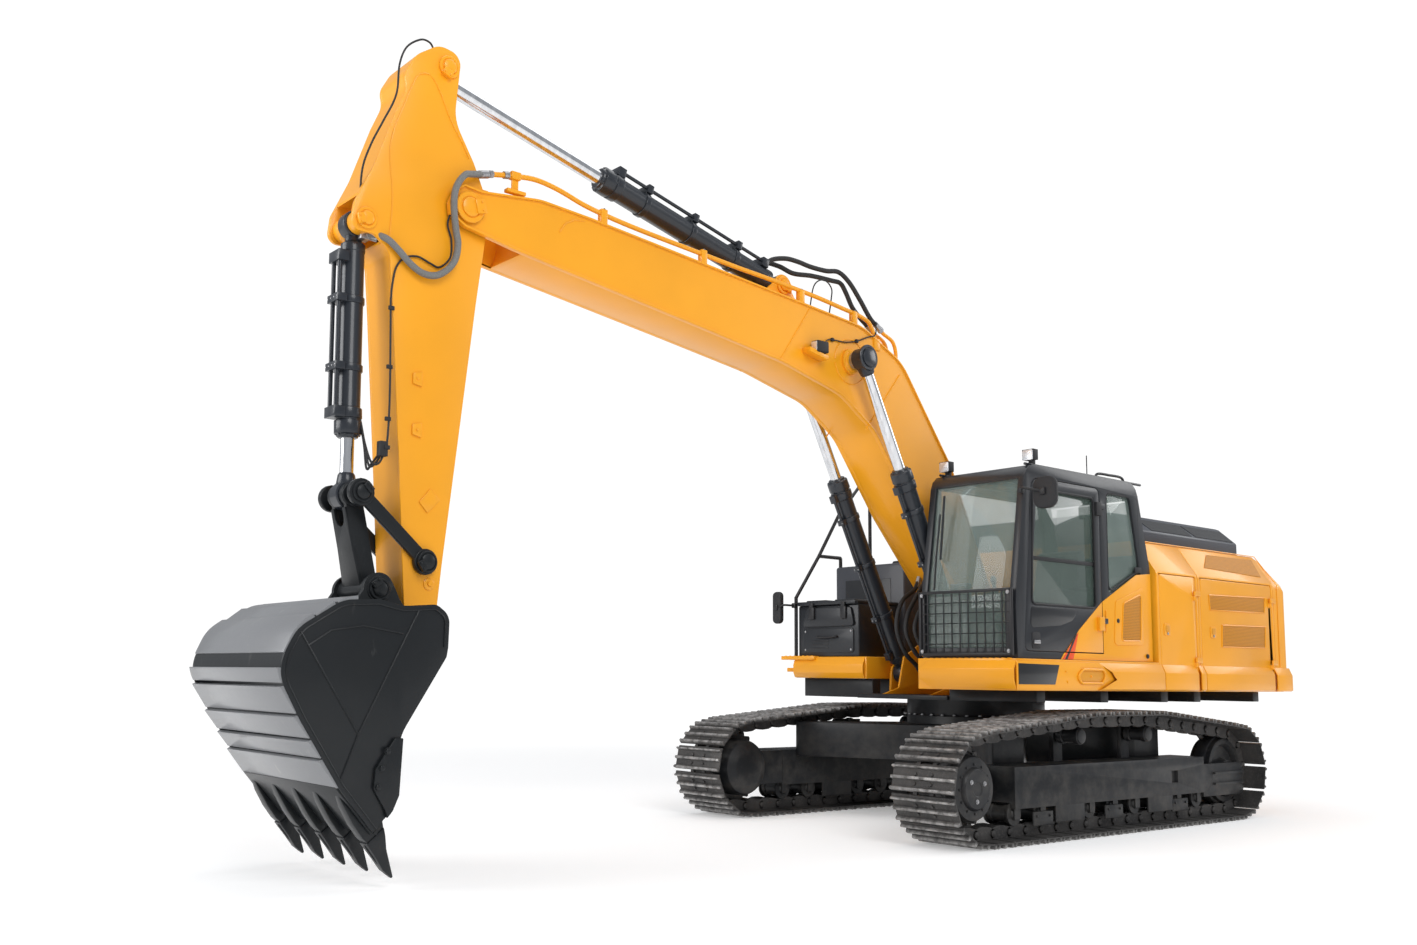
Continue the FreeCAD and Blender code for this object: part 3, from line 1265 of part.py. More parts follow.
def make_arm():
    outline = [on_arm(-620, 200), on_arm(-300, -20) + (200,), on_arm(0, -190) + (180,),
               on_arm(400, -150) + (400,), on_arm(S.arm_length - S.arm_link_back, -115),
               on_arm(S.arm_length - 90, -110), on_arm(S.arm_length + 50, -95),
               on_arm(S.arm_length + 95, -40), on_arm(S.arm_length + 95, 40),
               on_arm(S.arm_length + 50, 95), on_arm(S.arm_length - 150, 120),
               on_arm(S.arm_length - 1142, 282) + (600,), on_arm(560, 500) + (300,), on_arm(330, 640),
               on_arm(240, 700), on_arm(-60, 720) + (200,), on_arm(-330, 640) + (150,),
               on_arm(-620, 560)]
    core = new_body("arm_core")
    pad(core, "XZ_Plane", [outline], "2 * arm_half_width")
    pieces = [core]
    for side, sign in (("left", 1), ("right", -1)):
        top = [on_arm(-560, 190)] + circle_points(CROWD_PIN, S.eye_radius + 15, S.arm_angle + 270,
                                                  S.arm_angle + 110, 5)
        top += [on_arm(-560, 590)]
        pieces.append(side_plate(f"crowd_lug_{side}", top, "36", f"{sign} * (eye_width / 2 + 21)"))
        foot = [on_arm(60, 650)] + circle_points(CURL_FOOT, S.eye_radius, S.arm_angle + 130,
                                                 S.arm_angle, 5)
        foot += [on_arm(480, 520)]
        pieces.append(side_plate(f"curl_lug_{side}", foot, "30", f"{sign} * (eye_width / 2 + 18)"))
    pieces.append(drum("tip_pin", "boom_pin_radius", "2 * (boom_half_width + boom_flange + 12)",
                       BOOM_TIP[0], 0, BOOM_TIP[1], sides=12))
    pieces.append(drum("arm_link_pin", "bucket_pin_radius", "2 * (side_link_y + link_plate / 2 + 10)",
                       ARM_LINK[0], 0, ARM_LINK[1], sides=12))
    pieces.append(drum("arm_end_pin", "bucket_pin_radius", "2 * (side_link_y + 50)",
                       BUCKET_PIN[0], 0, BUCKET_PIN[1], sides=12))
    joined = fuse("arm_joined", *pieces)
    slots = [drum("curl_slot", "eye_radius + 20", "eye_width + 6", CURL_FOOT[0], 0, CURL_FOOT[1],
                  sides=14),
             drum("crowd_slot", "eye_radius + 20", "eye_width + 6", CROWD_PIN[0], 0, CROWD_PIN[1],
                  sides=14)]
    shaft = drum("curl_foot_pin", "bucket_pin_radius - 5", "eye_width + 100", CURL_FOOT[0], 0,
                 CURL_FOOT[1], sides=12)
    return sub_part(fuse("arm", cut("arm_slotted", joined, *slots), shaft), "arm")


def ram(name, foot, pin, barrel_radius, rod_radius, barrel_length, retraction, y=0,
        foot_pin="boom_pin_radius - 5"):
    """Barrel with a foot eye and gland, and rod with its eye, between two pins."""
    reach = math.hypot(pin[0] - foot[0], pin[1] - foot[1])
    slope = math.degrees(math.atan2(pin[1] - foot[1], pin[0] - foot[0]))
    tilt = FreeCAD.Rotation(Y_AXIS, -slope)

    def rod_stock(label, radius, length, distance, sides):
        thing = doc.addObject("Part::Prism", f"{name}_{label}")
        thing.Polygon = sides
        bind(thing, Circumradius=radius, Height=length)
        shift = tilt.multVec(Vector(distance, 0, 0))
        thing.Placement = FreeCAD.Placement(Vector(foot[0], 0, foot[1]) + shift,
                                            tilt * FreeCAD.Rotation(Y_AXIS, 90))
        return bind(thing, Placement__Base__y=y)

    gland_start = getattr(S, barrel_length) - S.gland_length
    tube = rod_stock("tube", barrel_radius, f"{barrel_length} - tube_start", S.tube_start, 12)
    neck = rod_stock("neck", "eye_width / 2 - 4", "tube_start + 5", 0, 8)
    gland = rod_stock("gland", f"{barrel_radius} + 10", "gland_length", gland_start, 12)
    eye = drum(name + "_foot_eye", "eye_radius", "eye_width", foot[0], y, foot[1], sides=12)
    inside = rod_stock("rod_hole", f"{rod_radius} + 0.3", barrel_length, S.rod_hole_start, 12)
    foot_hole = drum(name + "_foot_hole", f"{foot_pin} + 0.08", "eye_width + 10", foot[0], y, foot[1])
    barrel = cut(name + "_barrel_body", fuse(name + "_barrel_joined", tube, neck, gland, eye), inside,
                 foot_hole)
    rod_start = S.rod_hole_start + getattr(S, retraction) + 10
    rod = rod_stock("rod_bar", rod_radius, reach - rod_start, rod_start, 12)
    rod_eye = drum(name + "_rod_eye", "eye_radius", "eye_width", pin[0], y, pin[1], sides=12)
    return barrel, fuse(name + "_rod_body", rod, rod_eye)


def make_rams():
    barrels = []
    rods = []
    for side, sign in (("left", 1), ("right", -1)):
        barrel, rod = ram(f"lift_{side}", LIFT_FOOT, LIFT_PIN, "lift_barrel_radius",
                          "lift_rod_radius", "lift_barrel_length", "lift_retraction",
                          f"{sign} * lift_half_spacing")
        barrels.append(barrel)
        rods.append(rod)
    sub_part(group("boom_cylinder_barrels", *barrels), "boom_cylinder_barrels")
    sub_part(group("boom_cylinder_rods", *rods), "boom_cylinder_rods")
    barrel, rod = ram("crowd", CROWD_FOOT, CROWD_PIN, "crowd_barrel_radius", "crowd_rod_radius",
                      "crowd_barrel_length", "crowd_retraction")
    sub_part(barrel, "arm_cylinder_barrel")
    sub_part(rod, "arm_cylinder_rod")
    barrel, rod = ram("curl", CURL_FOOT, HANGER, "curl_barrel_radius", "curl_rod_radius",
                      "curl_barrel_length", "curl_retraction", foot_pin="bucket_pin_radius - 5")
    sub_part(barrel, "bucket_cylinder_barrel")
    sub_part(rod, "bucket_cylinder_rod")


def link_outline(first, second, radius):
    """Corners of a bar with round ends about two pins."""
    heading = math.degrees(math.atan2(second[1] - first[1], second[0] - first[0]))
    return (circle_points(first, radius, heading + 90, heading + 270, 6)
            + circle_points(second, radius, heading - 90, heading + 90, 6))


def make_links():
    plates = []
    for side, sign in (("left", 1), ("right", -1)):
        plate = side_plate(f"side_link_{side}", link_outline(ARM_LINK, HANGER, 85), "link_plate",
                           f"{sign} * side_link_y",
                           circles=[(ARM_LINK[0], ARM_LINK[1], S.bucket_pin_radius + 0.08)])
        stub = drum(f"hanger_stub_{side}", "bucket_pin_radius", "side_link_y - 118", HANGER[0],
                    f"{sign} * (side_link_y + 118) / 2", HANGER[1], sides=12)
        plates.append(fuse(f"side_link_body_{side}", plate, stub))
    sub_part(group("side_links", *plates), "side_links")
    webs = []
    for side, sign in (("left", 1), ("right", -1)):
        webs.append(side_plate(f"h_web_{side}", link_outline(BUCKET_LINK, HANGER, 80), "44",
                               f"{sign} * (eye_width / 2 + 28)",
                               circles=[(BUCKET_LINK[0], BUCKET_LINK[1],
                                         S.bucket_pin_radius + 0.08)]))
    middle = ((BUCKET_LINK[0] + HANGER[0]) / 2, (BUCKET_LINK[1] + HANGER[1]) / 2)
    webs.append(drum("h_bar", "60", "eye_width + 20", middle[0], 0, middle[1], sides=8))
    webs.append(drum("h_boss", "80", "2 * arm_half_width", BUCKET_LINK[0], 0, BUCKET_LINK[1], sides=12))
    hole = bore("h_bore", BUCKET_LINK, "bucket_pin_radius + 0.08")
    sub_part(cut("h_link", fuse("h_link_solid", *webs), hole), "h_link")


LIP_END = (BUCKET_PIN[0] + S.lip_dx, BUCKET_PIN[1] - S.lip_drop)
FLOOR_START = (BUCKET_PIN[0] + 780, BUCKET_PIN[1] - 870)
FLOOR_HEADING = math.atan2(LIP_END[1] - FLOOR_START[1], LIP_END[0] - FLOOR_START[0])


def on_lip(distance, inwards):
    """A point ahead of the cutting edge's outer corner and inwards from the floor."""
    return along(LIP_END, FLOOR_HEADING, distance, -inwards)


def bucket_outline():
    """Side outline of the bucket, from its mouth corner over the back to the lip."""
    x, z = BUCKET_PIN
    return [(x + 80, z + 10, 60), (x + 80, z - 60, 40), (x + 390, z - 560, 300),
            (x + 470, z - 1040), LIP_END, FLOOR_START + (200,),
            (x + 1040, z - 470, 500), (x + 1200, z - 180, 300), (x + 1080, z + 60, 250),
            (x + 800, z + 235, 250), (x + 560, z + 250, 200), (x + 260, z + 200, 80)]


def make_bucket():
    outline = bucket_outline()
    x, z = BUCKET_PIN
    shell = side_plate("bucket_solid", outline, "2 * bucket_half_width")
    hollow = [(x + 40, z - 90), (x + 360, z - 560, 300), (x + 400, z - 1090),
              on_lip(60, S.lip_thickness), on_lip(-220, S.lip_thickness) + (150,),
              (x + 1005, z - 455, 470), (x + 1165, z - 180, 270),
              (x + 1060, z + 40, 220), (x + 790, z + 205, 220), (x + 560, z + 215, 180),
              (x + 270, z + 165), (x - 100, z + 120)]
    inside = side_plate("bucket_space", hollow, "2 * (bucket_half_width - bucket_plate)")
    pieces = [cut("bucket_shell", shell, inside)]
    link = BUCKET_LINK
    slant = math.degrees(math.atan2(S.bucket_link_dz, S.bucket_link_dx))
    for side, sign in (("left", 1), ("right", -1)):
        ear = circle_points(BUCKET_PIN, S.ear_radius, slant + 270, slant + 90, 6)
        ear += circle_points(link, S.ear_radius, slant + 70, slant - 60, 5)
        ear += [(link[0] + 300, link[1] - 110), (x + 540, z + 232), (x + 275, z + 182)]
        pieces.append(side_plate(f"bucket_ear_{side}", ear, "link_plate",
                                 f"{sign} * (side_link_y + 3)"))
        cutter = [on_lip(-60, -20), on_lip(-60, 250), (x + 452, z - 760), (x + 425, z - 600),
                  (x + 470, z - 560), (x + 590, z - 780), on_lip(-230, 120), on_lip(-230, -20)]
        pieces.append(side_plate(f"side_cutter_{side}", cutter, "cutter_plate + 2",
                                 f"{sign} * (bucket_half_width + cutter_plate / 2 - 1)"))
    pieces.append(drum("bucket_link_pin", "bucket_pin_radius", "2 * (side_link_y + 40)", link[0], 0,
                       link[1], sides=12))
    joined = fuse("bucket_joined", *pieces)
    hole = bore("bucket_bore", BUCKET_PIN, "bucket_pin_radius + 0.08")
    sub_part(cut("bucket", joined, hole), "bucket")
    make_teeth()


def make_teeth():
    """Adapters that straddle the cutting edge, each with its tooth."""
    thick = S.lip_thickness
    seat = S.seat_gap
    tooth = [on_lip(-170, -seat), on_lip(-170, -18), on_lip(70, -30), on_lip(S.tooth_reach, thick + 22),
             on_lip(S.tooth_reach, thick + 40), on_lip(90, thick + 36), on_lip(-120, thick + 20),
             on_lip(-120, thick + seat), on_lip(seat, thick + seat), on_lip(seat, -seat)]
    spacing = (2 * S.bucket_half_width - S.tooth_width - 2 * S.bucket_plate - 20) / (S.bucket_teeth - 1)
    first = -spacing * (S.bucket_teeth - 1) / 2
    teeth = [side_plate(f"tooth_{index}", tooth, "tooth_width", first + index * spacing)
             for index in range(int(S.bucket_teeth))]
    sub_part(group("bucket_teeth", *teeth), "bucket_teeth")


# ---------------------------------------------------------------- build and export

make_undercarriage()
make_platform()
make_decks()
make_counterweight()
make_doors(*make_house())
make_hood()
make_engine()
make_tanks()
make_storage_box()
make_handrails()
make_cab()
make_seat()
make_cab_glass()
make_boom()
make_arm()
make_rams()
make_links()
make_bucket()
doc.recompute()

faults = []
for thing in doc.Objects:
    if "Invalid" in thing.State or "Error" in thing.State:
        faults.append(f"{thing.Name} state {thing.State}")
for thing in SUB_PARTS:
    if thing.Shape.isNull() or not thing.Shape.isValid() or thing.Shape.Volume <= 0:
        faults.append(f"{thing.Label} has no valid shape")
if faults:
    raise RuntimeError("; ".join(faults))

os.makedirs("parts", exist_ok=True)
for thing in SUB_PARTS:
    thing.Shape.exportStep(os.path.join("parts", thing.Label + ".step"))
    print(thing.Label, len(thing.Shape.Solids), "solids")
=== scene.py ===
import json
import math
import bmesh
import bpy
from mathutils import Matrix, Vector
from mathutils.bvhtree import BVHTree


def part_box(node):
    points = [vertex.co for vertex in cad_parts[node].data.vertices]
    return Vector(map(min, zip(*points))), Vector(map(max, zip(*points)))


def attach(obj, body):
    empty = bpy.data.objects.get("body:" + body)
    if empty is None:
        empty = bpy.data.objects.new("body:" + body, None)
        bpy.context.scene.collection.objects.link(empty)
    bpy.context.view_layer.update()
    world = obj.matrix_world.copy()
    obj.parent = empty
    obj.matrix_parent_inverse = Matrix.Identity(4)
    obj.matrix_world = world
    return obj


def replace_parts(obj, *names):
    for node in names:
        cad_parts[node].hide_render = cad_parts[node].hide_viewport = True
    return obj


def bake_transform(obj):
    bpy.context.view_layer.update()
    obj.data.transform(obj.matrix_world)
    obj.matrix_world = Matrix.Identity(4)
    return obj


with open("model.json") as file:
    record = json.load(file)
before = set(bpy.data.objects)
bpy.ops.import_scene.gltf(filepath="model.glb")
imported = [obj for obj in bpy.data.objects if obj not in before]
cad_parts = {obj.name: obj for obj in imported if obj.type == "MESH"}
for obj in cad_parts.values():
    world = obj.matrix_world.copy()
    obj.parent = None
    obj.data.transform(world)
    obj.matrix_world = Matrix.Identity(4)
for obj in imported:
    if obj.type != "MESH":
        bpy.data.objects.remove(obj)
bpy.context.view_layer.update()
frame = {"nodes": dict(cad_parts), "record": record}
NODES = frame["nodes"]
RECORD = frame["record"]
BODY_OF = {node: body for body, nodes in RECORD["behaviour"]["bodies"].items() for node in nodes}
PIN = {j["name"]: Vector(j["pos_m"]) for j in RECORD["behaviour"]["joints"] if "pos_m" in j}
rad = math.radians

# ------------------------------------------------------------------ camera, floor and light


def make_camera():
    """Camera at the photograph's place: pan, tilt, roll and a small lens shift."""
    pan, tilt, roll = rad(-127.72), rad(6.35), rad(0.75)
    look = Vector((math.cos(tilt) * math.cos(pan), math.cos(tilt) * math.sin(pan), math.sin(tilt)))
    right = look.cross(Vector((0, 0, 1))).normalized()
    up = right.cross(look)
    across = right * math.cos(roll) + up * math.sin(roll)
    upward = up * math.cos(roll) - right * math.sin(roll)
    data = bpy.data.cameras.new("camera")
    data.sensor_width = 36
    data.lens = 32.153
    data.shift_x = 0.0663
    data.shift_y = 0.0436
    data.clip_end = 200
    camera = bpy.data.objects.new("camera", data)
    bpy.context.scene.collection.objects.link(camera)
    axes = Matrix((across, upward, -look)).transposed().to_4x4()
    camera.matrix_world = Matrix.Translation((10.308, 7.605, 1.292)) @ axes
    bpy.context.scene.camera = camera


def area_light(name, place, target, size, watts):
    """A soft rectangular lamp turned to its target."""
    data = bpy.data.lights.new(name, "AREA")
    data.shape = "RECTANGLE"
    data.size, data.size_y = size
    data.energy = watts
    lamp = bpy.data.objects.new(name, data)
    bpy.context.scene.collection.objects.link(lamp)
    lamp.location = place
    lamp.rotation_euler = (Vector(target) - Vector(place)).to_track_quat("-Z", "Y").to_euler()


make_camera()
area_light("key", (9, 15, 13), (1, 0, 1.5), (9, 9), 1500)
area_light("fill", (17, -5, 7), (3, 0, 1.5), (9, 7), 1000)
area_light("rim", (-12, 6, 9), (-1, 0, 1.5), (8, 6), 500)
area_light("top", (1, -1, 15), (1, 0, 0), (14, 10), 650)

# ------------------------------------------------------------------ shader maths


class Sock:
    """A shader value; arithmetic on it adds Math nodes to its tree."""

    def __init__(self, paint, out):
        self.paint, self.out = paint, out

    def math(self, kind, *others):
        return self.paint.node("Math", operation=kind, ins=[self, *others])

    def __add__(self, other): return self.math("ADD", other)
    def __mul__(self, other): return self.math("MULTIPLY", other)
    def __sub__(self, other): return self.math("SUBTRACT", other)
    def __truediv__(self, other): return self.math("DIVIDE", other)
    def __rsub__(self, other): return self.paint.node("Math", operation="SUBTRACT", ins=[other, self])
    __radd__, __rmul__ = __add__, __mul__

    def above(self, low, high):
        """0 at low and 1 at high, held outside them."""
        return self.paint.node("MapRange", ins=[self, low, high, 0.0, 1.0])


class Paint:
    """One material: its shader, and nodes made by one method."""

    def __init__(self, name, **constants):
        self.material = bpy.data.materials.new(name)
        self.material.use_nodes = True
        self.tree = self.material.node_tree
        self.shader = self.tree.nodes["Principled BSDF"]
        self.set(**constants)

    def node(self, kind, out=0, ins=(), **facts):
        made = self.tree.nodes.new("ShaderNode" + kind)
        for key, value in facts.items():
            setattr(made, key, value)
        for index, value in (ins.items() if isinstance(ins, dict) else enumerate(ins)):
            self.feed(made.inputs[index], value)
        return Sock(self, made.outputs[out])

    def feed(self, socket, value):
        if isinstance(value, Sock):
            self.tree.links.new(value.out, socket)
        elif value is not None:
            size = len(socket.default_value) if hasattr(socket.default_value, "__len__") else 1
            socket.default_value = (*value, 1.0)[:size] if size > 1 and hasattr(value, "__len__") else value

    def set(self, **values):
        for key, value in values.items():
            self.feed(self.shader.inputs[key.replace("_", " ")], value)
        return self

    def place(self, scale=(1, 1, 1), turn=(0, 0, 0)):
        spot = self.node("TexCoord", 3)
        return self.node("Mapping", ins=[spot, (0, 0, 0), turn, scale])

    def axis(self, index):
        return self.node("SeparateXYZ", index, ins=[self.node("TexCoord", 3)])

    def facing(self, index):
        return self.node("SeparateXYZ", index, ins=[self.node("NewGeometry", 1)])

    def noise(self, scale, detail=3.0, rough=0.55, where=None):
        return self.node("TexNoise", ins={"Vector": where or self.place(), "Scale": scale,
                                          "Detail": detail, "Roughness": rough})

    def blend(self, share, low, high):
        made = self.tree.nodes.new("ShaderNodeMix")
        made.data_type = "RGBA"
        self.feed(made.inputs[0], share)
        self.feed(made.inputs[6], low)
        self.feed(made.inputs[7], high)
        return Sock(self, made.outputs[2])

    def bump(self, height, strength=0.2, reach=0.002, under=None):
        return self.node("Bump", ins={"Strength": strength, "Distance": reach, "Height": height,
                                      "Normal": under})


M = {}
DUST = (0.30, 0.27, 0.23)


def tone(colour, factor):
    """A colour made lighter or darker."""
    return tuple(min(c * factor, 1.0) for c in colour)


def painted(name, colour, rough, coat=0.0, dust=0.0, wear=0.0, peel=0.25):
    """Sprayed enamel: slow tone drift, orange peel, dust low down and on top faces."""
    p = Paint(name, Coat_Weight=coat, Coat_Roughness=0.12, Specular_IOR_Level=0.35)
    slow = p.noise(0.9, 3)
    fine = p.noise(34, 4, 0.6)
    body = p.blend(slow.above(0.3, 0.7), tone(colour, 0.93), tone(colour, 1.06))
    body = p.blend((fine.above(0.62, 0.8)) * 0.10, body, tone(colour, 0.8))
    if dust:
        low = 1.0 - p.axis(2).above(0.0, 1.1)
        up = p.facing(2).above(0.55, 1.0)
        patch = p.noise(5.5, 5, 0.62).above(0.42, 0.72)
        share = (low * 0.75 + up * 0.6 + 0.12) * patch * dust
        body = p.blend(share.above(0.0, 1.0), body, DUST)
        p.set(Roughness=(share * 0.4 + fine * 0.08 + (rough - 0.04)).above(0.0, 1.0))
    else:
        p.set(Roughness=fine * 0.10 + slow * 0.06 + (rough - 0.08))
    if wear:
        scuff = p.noise(11, 6, 0.7,
                        p.place((1, 1, 0.25))).above(0.60, 0.68) * p.noise(2.3, 2).above(0.45, 0.6)
        body = p.blend(scuff * wear, body, (0.34, 0.33, 0.32))
    p.set(Base_Color=body)
    skin = p.bump(p.noise(260, 2), peel * 0.25, 0.0006)
    p.set(Normal=p.bump(p.noise(7, 2), 0.10, 0.004, skin))
    M[name] = p.material
    return p


YELLOW = (0.90, 0.375, 0.012)
CHARCOAL = (0.020, 0.022, 0.026)
painted("yellow_enamel", YELLOW, 0.36, coat=0.22)
# darker copy of the yellow enamel: painted shade for the step recess and the latch pulls
painted("yellow_painted_shade", (0.70, 0.30, 0.018), 0.45, coat=0.1)
painted("charcoal_enamel", CHARCOAL, 0.38, coat=0.12)
painted("hood_grey", (0.060, 0.065, 0.078), 0.40, coat=0.1)
painted("undercarriage_black", (0.014, 0.015, 0.017), 0.42, coat=0.05, dust=0.22).set(Specular_IOR_Level=0.28)
painted("barrel_slate", (0.020, 0.024, 0.031), 0.32, coat=0.3)
painted("bucket_black", (0.012, 0.014, 0.016), 0.36, coat=0.05, wear=0.08,
        dust=0.03).set(Specular_IOR_Level=0.25)
painted("worn_plate", (0.20, 0.205, 0.215), 0.30, coat=0.25, wear=0.45, dust=0.10)
painted("rail_black", (0.02, 0.02, 0.022), 0.4)
painted("engine_grey", (0.12, 0.12, 0.12), 0.55, dust=0.3)
painted("flame_red", (0.80, 0.085, 0.012), 0.4, coat=0.1)
painted("blank_plate", (0.012, 0.013, 0.015), 0.3, coat=0.3)
painted("moulded_black", (0.022, 0.022, 0.024), 0.6, peel=1.2)


def track_steel():
    """Dark track steel, rubbed to a bright edge on the grousers."""
    p = Paint("track_steel", Metallic=0.35)
    grit = p.noise(60, 5, 0.7)
    patch = p.noise(3.2, 4)
    base = p.blend(patch.above(0.35, 0.7), (0.035, 0.034, 0.034), (0.085, 0.080, 0.076))
    base = p.blend(grit.above(0.52, 0.75) * 0.6, base, (0.16, 0.15, 0.145))
    edge = p.node("Attribute", 2, attribute_name="rub", attribute_type="GEOMETRY")
    share = (edge * p.noise(18, 4).above(0.30, 0.62)).above(0.0, 1.0)
    p.set(Base_Color=p.blend(share, base, (0.36, 0.35, 0.34)), Roughness=0.58 - share * 0.22,
          Normal=p.bump(grit, 0.35, 0.0015))
    M["track_steel"] = p.material


def chrome():
    """Polished rod chrome, and plain steel for bolts and fittings."""
    p = Paint("hard_chrome", Metallic=1.0)
    streak = p.noise(26, 3, 0.5, p.place((1, 1, 0.05)))
    p.set(Base_Color=p.blend(streak.above(0.3, 0.7), (0.62, 0.63, 0.65), (0.80, 0.81, 0.83)),
          Roughness=streak * 0.10 + 0.10)
    M["hard_chrome"] = p.material
    p = Paint("bare_steel", Metallic=0.85)
    p.set(Base_Color=p.blend(p.noise(22, 4).above(0.3, 0.7), (0.30, 0.30, 0.31), (0.48, 0.48, 0.49)),
          Roughness=p.noise(40, 3) * 0.2 + 0.28)
    M["bare_steel"] = p.material


def glass(name, tint, clear, rough=0.03):
    """Safety glass: mostly see-through, with a faint film that catches the light."""
    p = Paint(name, Coat_Weight=0.6, Coat_Roughness=0.02)
    film = p.noise(4.0, 4)
    p.set(Base_Color=p.blend(film, tint, tone(tint, 1.25)), Roughness=film * 0.05 + rough,
          Alpha=film * 0.08 + (1.0 - clear))
    M[name] = p.material


def cloth():
    """Woven seat cloth."""
    p = Paint("seat_cloth", Sheen_Weight=0.4)
    wave = p.node("TexWave", ins={"Vector": p.place(), "Scale": 190.0, "Distortion": 1.5})
    cross = p.node("TexWave", bands_direction="Z", ins={"Vector": p.place(), "Scale": 190.0})
    weave = wave * cross
    p.set(Base_Color=p.blend(weave, (0.018, 0.018, 0.020), (0.060, 0.060, 0.066)),
          Roughness=weave * 0.1 + 0.80, Normal=p.bump(weave, 0.5, 0.001))
    M["seat_cloth"] = p.material


def rubber(name, colour, ribs=0.0):
    """Hose rubber, with a braid where ribs are given."""
    p = Paint(name)
    grain = p.noise(140, 3)
    height = grain
    if ribs:
        height = p.node("TexVoronoi", ins={"Vector": p.place(), "Scale": ribs})
    p.set(Base_Color=p.blend(height.above(0.2, 0.8), tone(colour, 0.7), tone(colour, 1.35)),
          Roughness=grain * 0.2 + 0.55, Normal=p.bump(height, 0.5, 0.001))
    M[name] = p.material


def perforated(name, colour, pitch):
    """Punched sheet: rows of round holes, painted dark as the shade seen through them, set off in alternate
    rows.
    """
    p = Paint(name)
    across = p.axis(0) / pitch
    upward = p.axis(2) / (pitch * 0.866)
    row = upward.math("FLOOR")
    shift = row.math("MODULO", 2.0) * 0.5
    u = (across + shift).math("FRACT") - 0.5
    v = upward.math("FRACT") - 0.5
    hole = 1.0 - ((u * u + v * v).math("SQRT")).above(0.22, 0.30)
    # painted shade: the holes are a darkened copy of the sheet's colour, standing for the shade behind them
    p.set(Base_Color=p.blend(hole, colour, tone(colour, 0.35)), Roughness=p.noise(30, 3) * 0.1 + 0.55,
          Normal=p.bump(1.0 - hole, 0.5, 0.002))
    M[name] = p.material


def lens():
    """Ribbed lamp lens, and mirror glass."""
    p = Paint("lamp_lens", Coat_Weight=0.8, Coat_Roughness=0.03)
    rib = p.node("TexWave", bands_direction="Z", ins={"Vector": p.place(), "Scale": 60.0})
    p.set(Base_Color=p.blend(rib, (0.55, 0.57, 0.60), (0.85, 0.87, 0.90)), Roughness=rib * 0.1 + 0.08,
          Metallic=rib * 0.2 + 0.3, Normal=p.bump(rib, 0.3, 0.001))
    M["lamp_lens"] = p.material
    p = Paint("mirror_glass", Metallic=0.95)
    film = p.noise(9, 2)
    p.set(Base_Color=p.blend(film, (0.62, 0.68, 0.74), (0.72, 0.77, 0.82)), Roughness=film * 0.04 + 0.03)
    M["mirror_glass"] = p.material


track_steel()
chrome()
glass("tinted_glass", (0.24, 0.31, 0.28), 0.72)
glass("door_glass", (0.10, 0.14, 0.12), 0.55)
cloth()
rubber("hose_rubber", (0.018, 0.018, 0.019))
rubber("braided_hose", (0.17, 0.17, 0.165), ribs=260.0)
# the grille yellow is a darker copy of the yellow enamel: painted shade on the grilles
perforated("grille_yellow_shaded", (0.60, 0.235, 0.006), 0.016)
perforated("grille_grey", (0.022, 0.024, 0.027), 0.016)
lens()

floor_paint = Paint("studio_floor", Roughness=0.95, Emission_Strength=1.0)
away = floor_paint.node("VectorMath", 1, operation="LENGTH", ins=[floor_paint.node("TexCoord", 3)])
far = away.above(5.5, 15.0) * (floor_paint.noise(0.4, 2) * 0.02 + 0.99)
floor_paint.set(Base_Color=floor_paint.blend(far, (0.80, 0.80, 0.80), (0.0, 0.0, 0.0)),
                Emission_Color=floor_paint.blend(far, (0.30, 0.30, 0.30), (1.05, 1.05, 1.05)))
mesh = bpy.data.meshes.new("studio_floor")
mesh.from_pydata([(-60, -60, 0), (60, -60, 0), (60, 60, 0), (-60, 60, 0)], [], [(0, 1, 2, 3)])
floor = bpy.data.objects.new("studio_floor", mesh)
mesh.materials.append(floor_paint.material)
bpy.context.scene.collection.objects.link(floor)


def make_world():
    """Soft sky light, seen as white by the camera."""
    world = bpy.data.worlds.new("studio")
    world.use_nodes = True
    tree = world.node_tree
    ground = tree.nodes["Background"]
    ground.inputs[0].default_value = (0.92, 0.95, 1.0, 1)
    ground.inputs[1].default_value = 0.42
    white = tree.nodes.new("ShaderNodeBackground")
    white.inputs[0].default_value = (1, 1, 1, 1)
    white.inputs[1].default_value = 1.05
    rays = tree.nodes.new("ShaderNodeLightPath")
    mix = tree.nodes.new("ShaderNodeMixShader")
    tree.links.new(rays.outputs["Is Camera Ray"], mix.inputs[0])
    tree.links.new(ground.outputs[0], mix.inputs[1])
    tree.links.new(white.outputs[0], mix.inputs[2])
    tree.links.new(mix.outputs[0], tree.nodes["World Output"].inputs[0])
    bpy.context.scene.world = world


make_world()
bpy.context.scene.view_settings.view_transform = "Standard"

# ------------------------------------------------------------------ making pieces


def add(name, mesh, finish, body, smooth=None):
    """A piece of the object from a mesh, at the origin, riding on a body."""
    piece = bpy.data.objects.new(name, mesh)
    bpy.context.scene.collection.objects.link(piece)
    if finish:
        mesh.materials.clear()
        mesh.materials.append(M[finish])
    if smooth is not None:
        mesh.shade_smooth()
        mesh.set_sharp_from_angle(angle=rad(smooth))
    if body:
        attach(piece, body)
    return piece


def as_mesh(name, bm):
    """The mesh of bm, which is freed."""
    bm.normal_update()
    mesh = bpy.data.meshes.new(name)
    bm.to_mesh(mesh)
    bm.free()
    return mesh


def evaluated(work):
    """A plain mesh of an object with its modifiers applied."""
    return bpy.data.meshes.new_from_object(work.evaluated_get(bpy.context.evaluated_depsgraph_get()))


